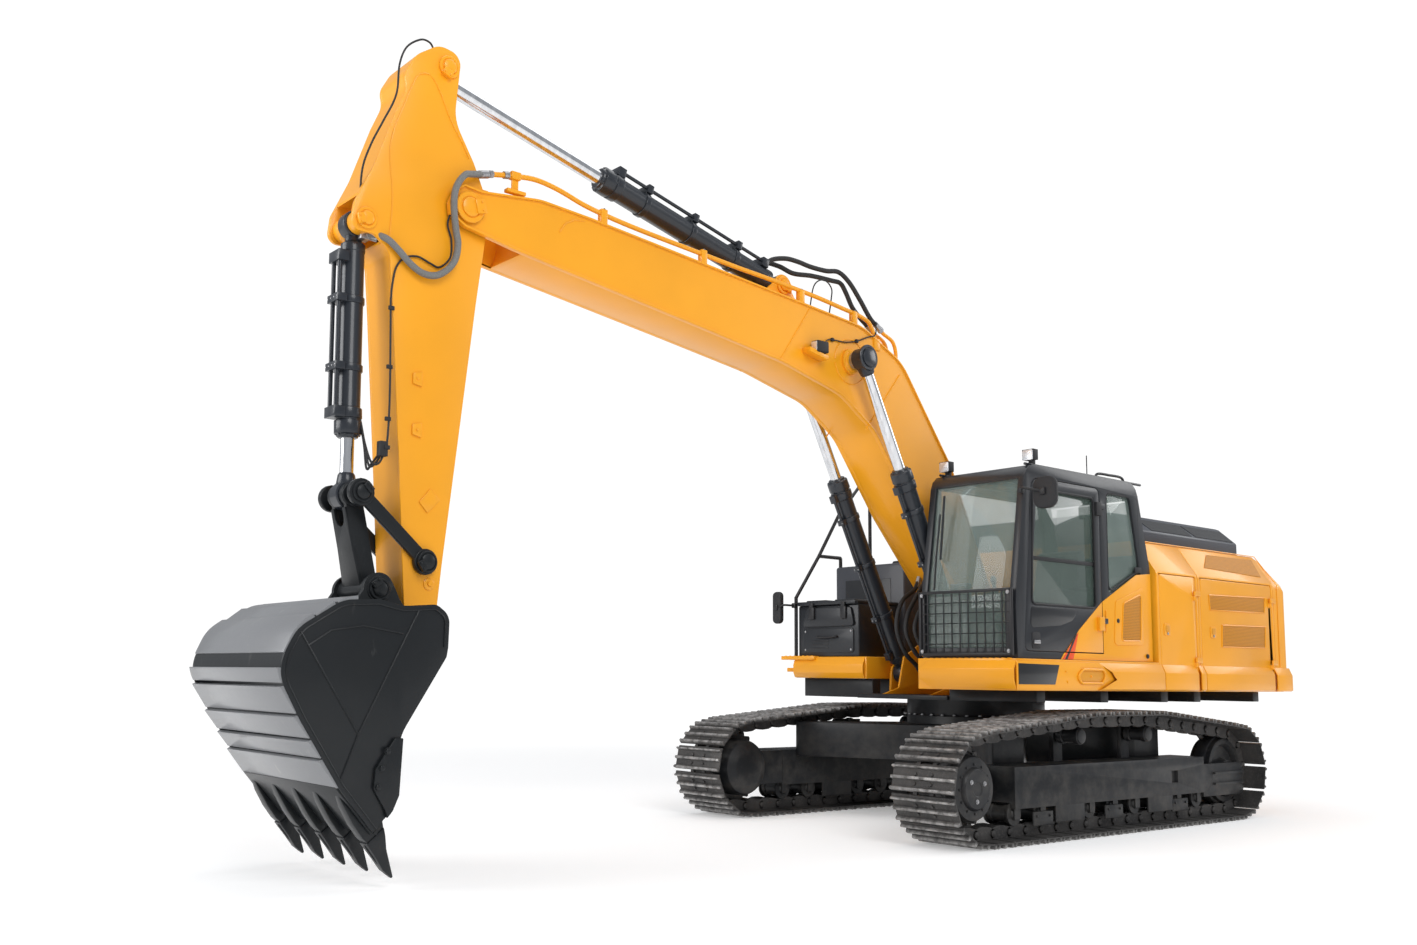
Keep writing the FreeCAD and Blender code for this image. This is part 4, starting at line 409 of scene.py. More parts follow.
def softened(name, mesh, width, steps=2, angle=32):
    """The mesh with its sharp edges rounded by a bevel."""
    work = bpy.data.objects.new(name, mesh)
    bpy.context.scene.collection.objects.link(work)
    bevel = work.modifiers.new("round", "BEVEL")
    bevel.width, bevel.segments = width, steps
    bevel.limit_method, bevel.angle_limit = "ANGLE", rad(angle)
    bevel.miter_outer = "MITER_ARC"
    done = evaluated(work)
    bpy.data.objects.remove(work)
    done.name = name
    return done


def solid(name, bm, finish, body, width=0.0, steps=2, angle=32, smooth=35):
    """A piece from bm, with its sharp edges rounded where a width is given."""
    mesh = as_mesh(name, bm)
    if width:
        mesh = softened(name, mesh, width, steps, angle)
    return add(name, mesh, finish, body, smooth=smooth)


def refined(node, finish, width=0.006, steps=2):
    """A CAD node with rounded edges; it stands for the node."""
    bm = bmesh.new()
    bm.from_mesh(NODES[node].data)
    bmesh.ops.remove_doubles(bm, verts=bm.verts, dist=2e-5)
    bmesh.ops.dissolve_limit(bm, angle_limit=rad(0.8), verts=bm.verts, edges=bm.edges)
    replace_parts(solid(node + "_body", bm, finish, BODY_OF[node], width, steps), node)


def block(bm, low, high):
    """A box between two corners, added to bm."""
    made = bmesh.ops.create_cube(bm, size=1.0)["verts"]
    size = [h - l for l, h in zip(low, high)]
    middle = [(h + l) / 2 for l, h in zip(low, high)]
    for v in made:
        v.co = Vector([c * s + m for c, s, m in zip(v.co, size, middle)])
    return made


def skin(bm, rings, closed=False):
    """Faces between rings of points, with an end cap on each side unless the rings close on themselves."""
    faces = [] if closed else [bm.faces.new(rings[0]), bm.faces.new(rings[-1][::-1])]
    count = len(rings[0])
    for a, b in zip(rings, rings[1:] + (rings[:1] if closed else [])):
        for k in range(count):
            j = (k + 1) % count
            faces.append(bm.faces.new((a[k], a[j], b[j], b[k])))
    bmesh.ops.recalc_face_normals(bm, faces=faces)


def prism(bm, outline, start, end, axis=1):
    """An outline of two coordinates carried along the third axis from start to end."""
    rings = []
    for place in (start, end):
        ring = []
        for u, v in outline:
            spot = [u, v]
            spot.insert(axis, place)
            ring.append(bm.verts.new(spot))
        rings.append(ring)
    skin(bm, rings)
    return rings


def turned(bm, profile, centre, axis=1, steps=48):
    """A closed profile of (along, radius) turned about an axis through centre."""
    rings = []
    frame_axes = [i for i in range(3) if i != axis]
    for along, radius in profile:
        ring = []
        for k in range(steps):
            angle = 2 * math.pi * k / steps
            spot = list(centre)
            spot[axis] += along
            spot[frame_axes[0]] += radius * math.cos(angle)
            spot[frame_axes[1]] += radius * math.sin(angle)
            ring.append(bm.verts.new(spot))
        rings.append(ring)
    skin(bm, rings)


def rod(bm, start, end, radius, steps=24, profile=None):
    """A turned bar from start to end in any direction; profile is (share of length, radius)."""
    start, end = Vector(start), Vector(end)
    run = end - start
    side = run.orthogonal().normalized()
    other = run.normalized().cross(side)
    rings = []
    for share, r in profile or ((0, radius), (1, radius)):
        middle = start + run * share
        rings.append([bm.verts.new(middle + (side * math.cos(2 * math.pi * k / steps)
                                             + other * math.sin(2 * math.pi * k / steps)) * r)
                      for k in range(steps)])
    skin(bm, rings)


def pipe(name, points, radius, finish, body, smooth_line=True, steps=3):
    """A bent tube or hose along points, as a mesh."""
    curve = bpy.data.curves.new(name, "CURVE")
    curve.dimensions = "3D"
    curve.bevel_depth = radius
    curve.bevel_resolution = steps
    curve.resolution_u = 10
    curve.use_fill_caps = True
    line = curve.splines.new("NURBS" if smooth_line else "POLY")
    line.points.add(len(points) - 1)
    for spot, target in zip(points, line.points):
        target.co = (*spot, 1.0)
    if smooth_line:
        line.order_u = 3
        line.use_endpoint_u = True
    work = bpy.data.objects.new(name, curve)
    bpy.context.scene.collection.objects.link(work)
    mesh = evaluated(work)
    bpy.data.objects.remove(work)
    mesh.name = name
    return add(name, mesh, finish, body, smooth=50)


def copies_tree():
    """Puts copies of one item on points, each turned as its point says."""
    tree = bpy.data.node_groups.new("copies", "GeometryNodeTree")
    face = tree.interface
    for label, kind in (("Spots", "Geometry"), ("Item", "Object"), ("Finish", "Material")):
        face.new_socket(label, in_out="INPUT", socket_type="NodeSocket" + kind)
    face.new_socket("Copies", in_out="OUTPUT", socket_type="NodeSocketGeometry")
    make = tree.nodes.new
    start, stop = make("NodeGroupInput"), make("NodeGroupOutput")
    item, place = make("GeometryNodeObjectInfo"), make("GeometryNodeInstanceOnPoints")
    turn, euler = make("GeometryNodeInputNamedAttribute"), make("FunctionNodeEulerToRotation")
    solid, finish = make("GeometryNodeRealizeInstances"), make("GeometryNodeSetMaterial")
    turn.data_type = "FLOAT_VECTOR"
    turn.inputs["Name"].default_value = "turn"
    item.inputs["As Instance"].default_value = True
    join = tree.links.new
    join(start.outputs["Spots"], place.inputs["Points"])
    join(start.outputs["Item"], item.inputs["Object"])
    join(item.outputs["Geometry"], place.inputs["Instance"])
    join(turn.outputs["Attribute"], euler.inputs[0])
    join(euler.outputs[0], place.inputs["Rotation"])
    join(place.outputs[0], solid.inputs[0])
    join(solid.outputs[0], finish.inputs["Geometry"])
    join(start.outputs["Finish"], finish.inputs["Material"])
    join(finish.outputs[0], stop.inputs["Copies"])
    return tree


COPIES = copies_tree()


def repeat(name, item, spots, finish, body):
    """Copies of a mesh at spots of (place, 3x3 turn), realised as one piece."""
    points = bpy.data.meshes.new(name)
    points.from_pydata([tuple(place) for place, turn in spots], [], [])
    turns = points.attributes.new("turn", "FLOAT_VECTOR", "POINT")
    for index, (place, turn) in enumerate(spots):
        turns.data[index].vector = turn.to_euler()
    work = bpy.data.objects.new(name, points)
    one = bpy.data.objects.new(name + "_item", item)
    for thing in (work, one):
        bpy.context.scene.collection.objects.link(thing)
    copies = work.modifiers.new("copies", "NODES")
    copies.node_group = COPIES
    for socket in COPIES.interface.items_tree:
        if socket.name in ("Item", "Finish"):
            copies[socket.identifier] = one if socket.name == "Item" else M[finish]
    mesh = evaluated(work)
    for thing in (work, one):
        bpy.data.objects.remove(thing)
    mesh.name = name
    return add(name, mesh, finish, body, smooth=35)


def facing(normal):
    """Turn that takes +Z to a direction."""
    return Vector(normal).to_track_quat("Z", "Y").to_matrix()


def bolt(size, washer=True):
    """A hexagon bolt head on a washer, standing on z = 0."""
    bm = bmesh.new()
    if washer:
        turned(bm, ((0, size * 1.15), (size * 0.16, size * 1.15)), (0, 0, 0), 2, 16)
    turned(bm, ((size * 0.1, size * 0.86), (size * 0.62, size * 0.86), (size * 0.74, size * 0.66)),
           (0, 0, 0), 2, 6)
    return as_mesh("bolt", bm)


def mirrored(sign, near, far):
    """Two distances to the left in rising order, on the side that sign gives."""
    return sorted((sign * near, sign * far))


def sided(sign, profile):
    """A turned profile on the side that sign gives."""
    return [(sign * reach, radius) for reach, radius in profile]


def bolts(name, places, normal, size, finish, body):
    """Bolt heads at places, standing on a face with this normal."""
    turn = facing(normal)
    return repeat(name, bolt(size), [(Vector(p), turn) for p in places], finish, body)


def ring_places(centre, radius, count, axis=1, phase=0.0):
    """Places on a circle about an axis."""
    out = []
    keep = [i for i in range(3) if i != axis]
    for k in range(count):
        angle = 2 * math.pi * (k + phase) / count
        spot = list(centre)
        spot[keep[0]] += radius * math.cos(angle)
        spot[keep[1]] += radius * math.sin(angle)
        out.append(tuple(spot))
    return out


def along(origin, angle, distance, offset):
    """A point of the side view, by distance and offset on a slanted line."""
    return (origin[0] + distance * math.cos(angle) - offset * math.sin(angle),
            origin[1] + distance * math.sin(angle) + offset * math.cos(angle))


class Line:
    """A slanted frame of the side view: along from a towards b, up at a left turn, side to the left."""

    def __init__(self, a, b, y=0.0):
        self.start = Vector((a[0], y, a[1]))
        run = Vector((b[0] - a[0], 0, b[1] - a[1]))
        self.length = run.length
        self.u = run.normalized()
        self.n = Vector((-self.u.z, 0, self.u.x))

    def at(self, along, up=0.0, side=0.0):
        return self.start + self.u * along + self.n * up + Vector((0, side, 0))

    def flat(self, along, up=0.0):
        return xz(self.at(along, up))

    def lay(self, verts):
        """Moves points of (along, side, up) onto the slanted frame."""
        for v in verts:
            v.co = self.at(v.co.x, v.co.z, v.co.y)

    def block(self, bm, low, high):
        """A box by its (along, side, up) corners."""
        self.lay(block(bm, low, high))

    def ring(self, distance, radius, count, phase=0.0):
        """Places on a circle about the line."""
        turns = [2 * math.pi * (k + phase) / count for k in range(count)]
        return [self.at(distance, radius * math.cos(t), radius * math.sin(t)) for t in turns]


def loft(bm, line, sections):
    """Rectangles (along, half width, low, high) on a slanted frame, joined in order."""
    rings = [[bm.verts.new(line.at(a, up, side)) for side, up in
              ((-w, low), (w, low), (w, high), (-w, high))] for a, w, low, high in sections]
    skin(bm, rings)


def curved(corners, turn=6.0, closed=True):
    """An outline with its corners (u, v, radius) rounded by short flats."""
    out = []
    count = len(corners)
    for i, corner in enumerate(corners):
        here = Vector(corner[:2])
        if len(corner) < 3 or (not closed and i in (0, count - 1)):
            out.append(tuple(here))
            continue
        back = Vector(corners[i - 1][:2]) - here
        fore = Vector(corners[(i + 1) % count][:2]) - here
        inner = back.angle(fore)
        radius = min(corner[2], 0.48 * min(back.length, fore.length) * math.tan(inner / 2))
        reach = radius / math.tan(inner / 2)
        start, end = here + back.normalized() * reach, here + fore.normalized() * reach
        middle = here + (back.normalized() + fore.normalized()).normalized() * radius / math.sin(inner / 2)
        steps = max(2, round((math.pi - inner) / rad(turn)))
        a, b = start - middle, end - middle
        sweep = a.angle_signed(b)
        for k in range(steps + 1):
            c, q = math.cos(-sweep * k / steps), math.sin(-sweep * k / steps)
            out.append((middle.x + a.x * c - a.y * q, middle.y + a.x * q + a.y * c))
    return out


def offset(outline, distance, closed=False):
    """The outline moved to its right by a distance."""
    out = []
    count = len(outline)
    for i, (x, z) in enumerate(outline):
        before = outline[i - 1] if i or closed else outline[0]
        after = outline[(i + 1) % count] if i < count - 1 or closed else outline[-1]
        run = Vector((after[0] - before[0], after[1] - before[1])).normalized()
        out.append((x + run.y * distance, z - run.x * distance))
    return out


def part_of(outline, start, end):
    """The stretch of an open outline between two distances along it."""
    out, done = [], 0.0
    for a, b in zip(outline, outline[1:]):
        step = math.hypot(b[0] - a[0], b[1] - a[1])
        for mark in (start, end):
            if done <= mark < done + step:
                t = (mark - done) / step
                out.append((a[0] + (b[0] - a[0]) * t, a[1] + (b[1] - a[1]) * t))
        done += step
        if start < done < end:
            out.append(b)
    return out


def flowing(points, per=10):
    """A smooth line through points, as close points."""
    spots = [Vector(p) for p in points]
    spots = [spots[0] * 2 - spots[1]] + spots + [spots[-1] * 2 - spots[-2]]
    out = []
    for a, b, c, d in zip(spots, spots[1:], spots[2:], spots[3:]):
        for k in range(per):
            t = k / per
            out.append((b * 2 + (c - a) * t + (a * 2 - b * 5 + c * 4 - d) * t * t
                        + (b * 3 - a - c * 3 + d) * t * t * t) * 0.5)
    return out + [spots[-2]]


def xz(spot):
    """A place without its distance to the left."""
    return (spot[0], spot[2])


FOOT, TIP, TOE = (xz(PIN[n]) for n in ("boom_lift", "arm_crowd", "bucket_curl"))
BOOM_TURN = math.atan2(TIP[1] - FOOT[1], TIP[0] - FOOT[0])
ARM_TURN = math.atan2(TOE[1] - TIP[1], TOE[0] - TIP[0])


def on_boom(distance, offset):
    """A point along the boom's line from foot to tip, offset to its upper side."""
    return along(FOOT, BOOM_TURN, distance, offset)


def on_arm(distance, offset):
    """A point along the arm's line from its boom pin to its bucket pin."""
    return along(TIP, ARM_TURN, distance, offset)


def at(spot, y):
    """A point of the side view at a distance to the left."""
    return (spot[0], y, spot[1])


def framed(low_u, high_u, low_v, high_v, radius, turn=20):
    """A rectangle with round corners."""
    return curved([(low_u, low_v, radius), (high_u, low_v, radius), (high_u, high_v, radius),
                   (low_u, high_v, radius)], turn)


def ringed(line):
    """The line with its first point again at the end."""
    return line + line[:1]


def rods(name, parts, finish, body, smooth=34):
    """Straight bars of (start, end, radius, steps) as one piece."""
    bm = bmesh.new()
    for part in parts:
        rod(bm, *part)
    return solid(name, bm, finish, body, smooth=smooth)


def turned_piece(name, profile, centre, finish, body, axis=2, steps=24, smooth=34):
    """One turned shape as a piece."""
    bm = bmesh.new()
    turned(bm, profile, centre, axis, steps)
    return solid(name, bm, finish, body, smooth=smooth)


def tube(name, line, radius, finish, body):
    """A round tube on close points, as a mesh."""
    return pipe(name, line, radius, finish, body, False)


def hose(name, points, radius, finish, body, across=None):
    """A free hose or cable through points, on its body; where it crosses a joint it rides on no body."""
    line = flowing(points)
    piece = tube(name, line, radius, finish, None if across else body)
    if across:
        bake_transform(piece)
    length = sum((b - a).length for a, b in zip(line, line[1:]))
    return piece


def bead(name, points, finish, body, radius=0.005):
    """A weld bead or a seam along points."""
    return pipe(name, points, radius, finish, body, False, 1)


def dense(outline, step=0.04):
    """The closed outline with long flats split."""
    out = []
    for a, b in zip(outline, outline[1:] + outline[:1]):
        count = max(1, math.ceil(math.hypot(b[0] - a[0], b[1] - a[1]) / step))
        out += [(a[0] + (b[0] - a[0]) * k / count, a[1] + (b[1] - a[1]) * k / count) for k in range(count)]
    return out


def strip(bm, outer, inner, low, high, closed=False):
    """A plate standing on edge between two lines, carried from low to high across the machine."""
    rings = [[bm.verts.new(at(q, y)) for q, y in ((o, low), (i, low), (i, high), (o, high))]
             for o, i in zip(outer, inner)]
    skin(bm, rings, closed)


LIFT_FOOT, CROWD_FOOT, CURL_FOOT, ARM_LINK, BUCKET_LINK = (
    xz(PIN[n]) for n in ("boom_cylinder_pivot", "arm_cylinder_pivot", "bucket_cylinder_pivot",
                         "side_link_pivot", "h_link_pivot"))
LIFT_PIN = on_boom(2.637, 1.195)
CROWD_PIN = on_arm(-0.975, 0.251)
HANGER = (6.664, 2.442)

# ------------------------------------------------------------------ crawler tracks

AXLE_X, AXLE_Z, PITCH_RADIUS = 2.015, 0.453, 0.366
CARRIERS = ((0.43, 0.823), (-0.64, 0.823))
SHOE_COUNT, GAUGE = 48, 1.295
SIDES = ((1, "left"), (-1, "right"))
UNDER, HOUSE = "undercarriage", "upper_structure"
YEL, BLACK, DULL, STEEL = "yellow_enamel", "bucket_black", "undercarriage_black", "bare_steel"


def chain_places():
    """Middle, heading and pin of every link round the sprocket, carriers and idler."""
    wheels = [(AXLE_X, AXLE_Z, PITCH_RADIUS)] + [(x, z, 0.130) for x, z in CARRIERS]
    wheels.append((-AXLE_X, AXLE_Z, PITCH_RADIUS))
    tangents = []
    for (x1, z1, r1), (x2, z2, r2) in zip(wheels, wheels[1:] + wheels[:1]):
        span = math.hypot(x2 - x1, z2 - z1)
        heading = math.atan2(z2 - z1, x2 - x1) - math.asin((r2 - r1) / span)
        tangents.append((heading, math.sqrt(span ** 2 - (r2 - r1) ** 2)))
    stretches = []
    for index, (x, z, r) in enumerate(wheels):
        heading, length = tangents[index]
        before = tangents[index - 1][0]
        stretches.append(("arc", x, z, r, before, (heading - before) % (2 * math.pi) * r))
        stretches.append(("run", x + r * math.sin(heading), z - r * math.cos(heading), 0, heading, length))
    total = sum(s[5] for s in stretches)
    pins = []
    for k in range(SHOE_COUNT):
        left = (k + 0.5) * total / SHOE_COUNT
        for kind, x, z, r, heading, length in stretches:
            if left <= length:
                break
            left -= length
        if kind == "arc":
            turn = heading + left / r
            pins.append((x + r * math.sin(turn), z - r * math.cos(turn)))
        else:
            pins.append((x + left * math.cos(heading), z + left * math.sin(heading)))
    out = []
    for a, b in zip(pins, pins[1:] + pins[:1]):
        out.append(((a[0] + b[0]) / 2, (a[1] + b[1]) / 2, math.atan2(b[1] - a[1], b[0] - a[0]), a))
    return out, total / SHOE_COUNT


LINKS, PITCH = chain_places()


def link_spot(link, y, out=0.0):
    """Place and turn of a link, moved outwards from the pin line."""
    x, z, heading = link[:3]
    c, s = math.cos(heading), math.sin(heading)
    turn = Matrix(((c, 0, s), (0, -1, 0), (s, 0, -c)))
    return Vector((x + out * s, y, z - out * c)), turn


def shoe_mesh():
    """A shoe with three grousers, clipped rear corners and four bolt heads."""
    half = PITCH / 2
    top, tip = 0.012, 0.041
    bm = bmesh.new()
    section = [(-half + 0.004, 0.0), (half - 0.012, 0.0), (half - 0.004, -0.006), (half + 0.006, -0.004),
               (half + 0.004, 0.006), (half - 0.012, top), (half - 0.014, tip - 0.005),
               (half - 0.020, tip), (half - 0.028, tip - 0.002), (half - 0.038, top), (0.018, top),
               (0.010, tip - 0.002), (0.0, tip), (-0.010, tip - 0.002), (-0.018, top),
               (-half + 0.040, top), (-half + 0.028, tip - 0.002), (-half + 0.018, tip),
               (-half + 0.009, tip - 0.003), (-half + 0.004, top - 0.004)]
    ring = []
    for y in (-0.30, -0.292, 0.292, 0.30):
        end = abs(y) > 0.295
        row = []
        for x, z in section:
            row.append(bm.verts.new((x * (0.985 if end else 1.0), y, z - (0.003 if end and z > 0 else 0))))
        ring.append(row)
    skin(bm, ring)
    for x in (-0.042, 0.034):
        for y in (-0.078, 0.078):
            turned(bm, ((top - 0.001, 0.015), (top + 0.009, 0.015), (top + 0.012, 0.012)), (x, y, 0), 2, 6)
    mesh = as_mesh("shoe", bm)
    rub = mesh.attributes.new("rub", "FLOAT", "POINT")
    for index, v in enumerate(mesh.vertices):
        rub.data[index].value = 1.0 if v.co.z > 0.03 else 0.0
    return mesh


def link_mesh():
    """Two link plates with a pin boss between them; z = 0 is the pin line, +z outwards."""
    half = PITCH / 2
    bm = bmesh.new()
    outline = [(-half - 0.034, 0.0), (-half - 0.022, -0.030), (-half + 0.012, -0.046), (-0.03, -0.0575),
               (0.05, -0.0575), (half - 0.01, -0.044), (half + 0.020, -0.026), (half + 0.030, 0.004),
               (half + 0.016, 0.034), (half - 0.02, 0.0445), (-half + 0.02, 0.0445), (-half - 0.020, 0.030)]
    for side in (-1, 1):
        low, high = sorted((side * 0.058, side * 0.097))
        prism(bm, outline, low, high)
        turned(bm, ((0, 0.026), (0.012, 0.026), (0.015, 0.021)) if side > 0 else
               ((-0.015, 0.021), (-0.012, 0.026), (0, 0.026)), (-half, side * 0.097, 0), 1, 16)
    turned(bm, ((-0.058, 0.024), (0.058, 0.024)), (-half, 0, 0), 1, 16)
    mesh = as_mesh("link", bm)
    mesh.attributes.new("rub", "FLOAT", "POINT")
    return mesh


for sign, side in SIDES:
    y = sign * GAUGE
    shoes = repeat("shoes_" + side, shoe_mesh(), [link_spot(k, y, 0.045) for k in LINKS],
                   "track_steel", UNDER)
    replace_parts(shoes, "track_" + side)
    repeat("chain_" + side, link_mesh(), [link_spot(k, y) for k in LINKS], "track_steel", UNDER)


def sprocket(sign, side):
    """Toothed rim, dished final drive with its bolts, and the travel motor's cover."""
    y = sign * GAUGE
    bm = bmesh.new()
    first = next(k for k in LINKS if math.hypot(k[3][0] - AXLE_X, k[3][1] - AXLE_Z) < PITCH_RADIUS + 0.001)
    phase = math.atan2(first[3][1] - AXLE_Z, first[3][0] - AXLE_X)
    outline = []
    for tooth in range(24):
        for share, radius in ((0.0, 0.318), (0.12, 0.322), (0.30, 0.344), (0.42, 0.352), (0.58, 0.352),
                              (0.70, 0.344), (0.88, 0.322)):
            angle = phase + 2 * math.pi * (tooth + share) / 24
            outline.append((AXLE_X + radius * math.cos(angle), AXLE_Z + radius * math.sin(angle)))
    prism(bm, outline, y - 0.034, y + 0.034)
    rim = solid("sprocket_rim_" + side, bm, "track_steel", UNDER, 0.004, 1, smooth=30)
    bm = bmesh.new()
    dish = ((0.02, 0.29), (0.075, 0.29), (0.085, 0.284), (0.095, 0.262), (0.150, 0.252), (0.166, 0.243),
            (0.172, 0.205), (0.176, 0.170), (0.198, 0.160), (0.205, 0.150), (0.205, 0.06), (0.199, 0.052))
    turned(bm, sided(sign, dish), (AXLE_X, y, AXLE_Z), 1, 72)
    motor = ((-0.03, 0.262), (-0.20, 0.252), (-0.225, 0.240), (-0.262, 0.170), (-0.270, 0.150))
    turned(bm, sided(sign, motor), (AXLE_X, y, AXLE_Z), 1, 48)
    solid("final_drive_" + side, bm, DULL, UNDER)
    place = (AXLE_X, y + sign * 0.0945, AXLE_Z)
    bolts("drive_bolts_" + side, ring_places(place, 0.274, 20), (0, sign, 0), 0.013, DULL,
          UNDER)
    bolts("cover_bolts_" + side, ring_places((AXLE_X, y + sign * 0.174, AXLE_Z), 0.188, 12), (0, sign, 0),
          0.011, DULL, UNDER)
    bolts("drain_plugs_" + side, ring_places((AXLE_X, y + sign * 0.204, AXLE_Z), 0.095, 3, phase=0.3),
          (0, sign, 0), 0.016, STEEL, UNDER)
    bm = bmesh.new()
    low, high = sorted((y - sign * 0.105, y - sign * 0.163))
    prism(bm, [(1.46, 0.285), (1.86, 0.285), (1.92, 0.34), (1.92, 0.54), (1.86, 0.60), (1.46, 0.60)], low,
          high)
    solid("motor_bridge_" + side, bm, DULL, UNDER, 0.012)
    return rim


def wheels_and_rollers():
    """Idlers, track rollers with their brackets, carrier rollers and sprockets."""
    bm = bmesh.new()
    for sign, side in SIDES:
        y = sign * GAUGE
        profile = ((-0.099, 0.292), (-0.097, 0.300), (-0.056, 0.303), (-0.052, 0.322), (-0.030, 0.330),
                   (0.030, 0.330), (0.052, 0.322), (0.056, 0.303), (0.097, 0.300), (0.099, 0.292),
                   (0.099, 0.255), (0.060, 0.225), (0.060, 0.120), (0.098, 0.105), (0.124, 0.098),
                   (0.124, 0.0))
        front = [(a, max(r, 0.01)) for a, r in profile]
        back = [(-a, r) for a, r in front[::-1] if a > 0.0985]
        turned(bm, back[:-1] + front, (-AXLE_X, y, AXLE_Z), 1, 72)
    idlers = solid("idler_wheels", bm, DULL, UNDER, smooth=30)
    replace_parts(idlers, "idlers")
    bm = bmesh.new()
    roller = ((-0.135, 0.034), (-0.128, 0.044), (-0.118, 0.050), (-0.116, 0.093), (-0.102, 0.096),
              (-0.100, 0.0795), (-0.056, 0.0795), (-0.050, 0.070), (0.050, 0.070), (0.056, 0.0795),
              (0.100, 0.0795), (0.102, 0.096), (0.116, 0.093), (0.118, 0.050), (0.128, 0.044), (0.135, 0.034))
    carrier = ((-0.118, 0.040), (-0.112, 0.060), (-0.100, 0.066), (-0.098, 0.0705), (-0.056, 0.0705),
               (-0.050, 0.058), (0.050, 0.058), (0.056, 0.0705), (0.098, 0.0705), (0.100, 0.066),
               (0.112, 0.060), (0.118, 0.040))
    for sign, side in SIDES:
        y = sign * GAUGE
        for k in range(9):
            x = 1.43 - k * 0.3575
            turned(bm, roller, (x, y, 0.2253), 1, 36)
            for end in (-1, 1):
                low, high = sorted((y + end * 0.118, y + end * 0.146))
                block(bm, (x - 0.036, low, 0.188), (x + 0.036, high, 0.2697))
        for x, z in CARRIERS:
            turned(bm, carrier, (x, y, z), 1, 36)
            rod(bm, (x, y - sign * 0.10, z), (x, y - sign * 0.150, z), 0.032, 20)
    rollers = solid("track_rollers", bm, DULL, UNDER, smooth=30)
    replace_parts(rollers, "rollers")
    rims = [sprocket(sign, side) for sign, side in SIDES]
    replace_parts(rims[0], "sprockets")


wheels_and_rollers()
for sign, side in SIDES:
    refined("track_frame_" + side, DULL, 0.010, 3)
refined("car_body", DULL, 0.012, 3)
refined("tow_eyes", DULL, 0.005)

# ------------------------------------------------------------------ upper structure

for node, finish, width in (
        ("platform_frame", DULL, 0.006), ("boom_brackets", YEL, 0.006),
        ("left_platform", YEL, 0.012), ("right_platform", YEL, 0.012),
        ("right_step", YEL, 0.004), ("lifting_eyes", YEL, 0.006), ("engine_enclosure", YEL, 0.008),
        ("cooler_enclosure", YEL, 0.008), ("left_door_front", YEL, 0.006),
        ("left_door_rear", YEL, 0.006), ("right_door", YEL, 0.006),
        ("engine_hood", "hood_grey", 0.012), ("engine_block", "engine_grey", 0.02),
        ("fuel_tank", "hood_grey", 0.025), ("hydraulic_tank", "hood_grey", 0.025),
        ("storage_box", "charcoal_enamel", 0.012), ("storage_lid", "charcoal_enamel", 0.012),
        ("handrail", "rail_black", 0.003),
        ("cab_shell", "charcoal_enamel", 0.010), ("cab_door", "charcoal_enamel", 0.008),
        ("cab_glass", "tinted_glass", 0.001), ("cab_door_glass", "door_glass", 0.001),
        ("roof_hatch", "charcoal_enamel", 0.008), ("roof_lamps", "moulded_black", 0.008),
        ("front_guard", "rail_black", 0.002), ("consoles", "moulded_black", 0.03),
        ("seat_pedestal", "moulded_black", 0.02)):
    refined(node, finish, width)

# ------------------------------------------------------------------ hydraulic cylinders


def eye(bm, spot, y):
    """The round end of a cylinder, on its pin."""
    radius, half = 0.095, 0.055
    turned(bm, ((-half, radius - 0.008), (0.008 - half, radius), (half - 0.008, radius),
                (half, radius - 0.008)), at(spot, y), 1, 32)


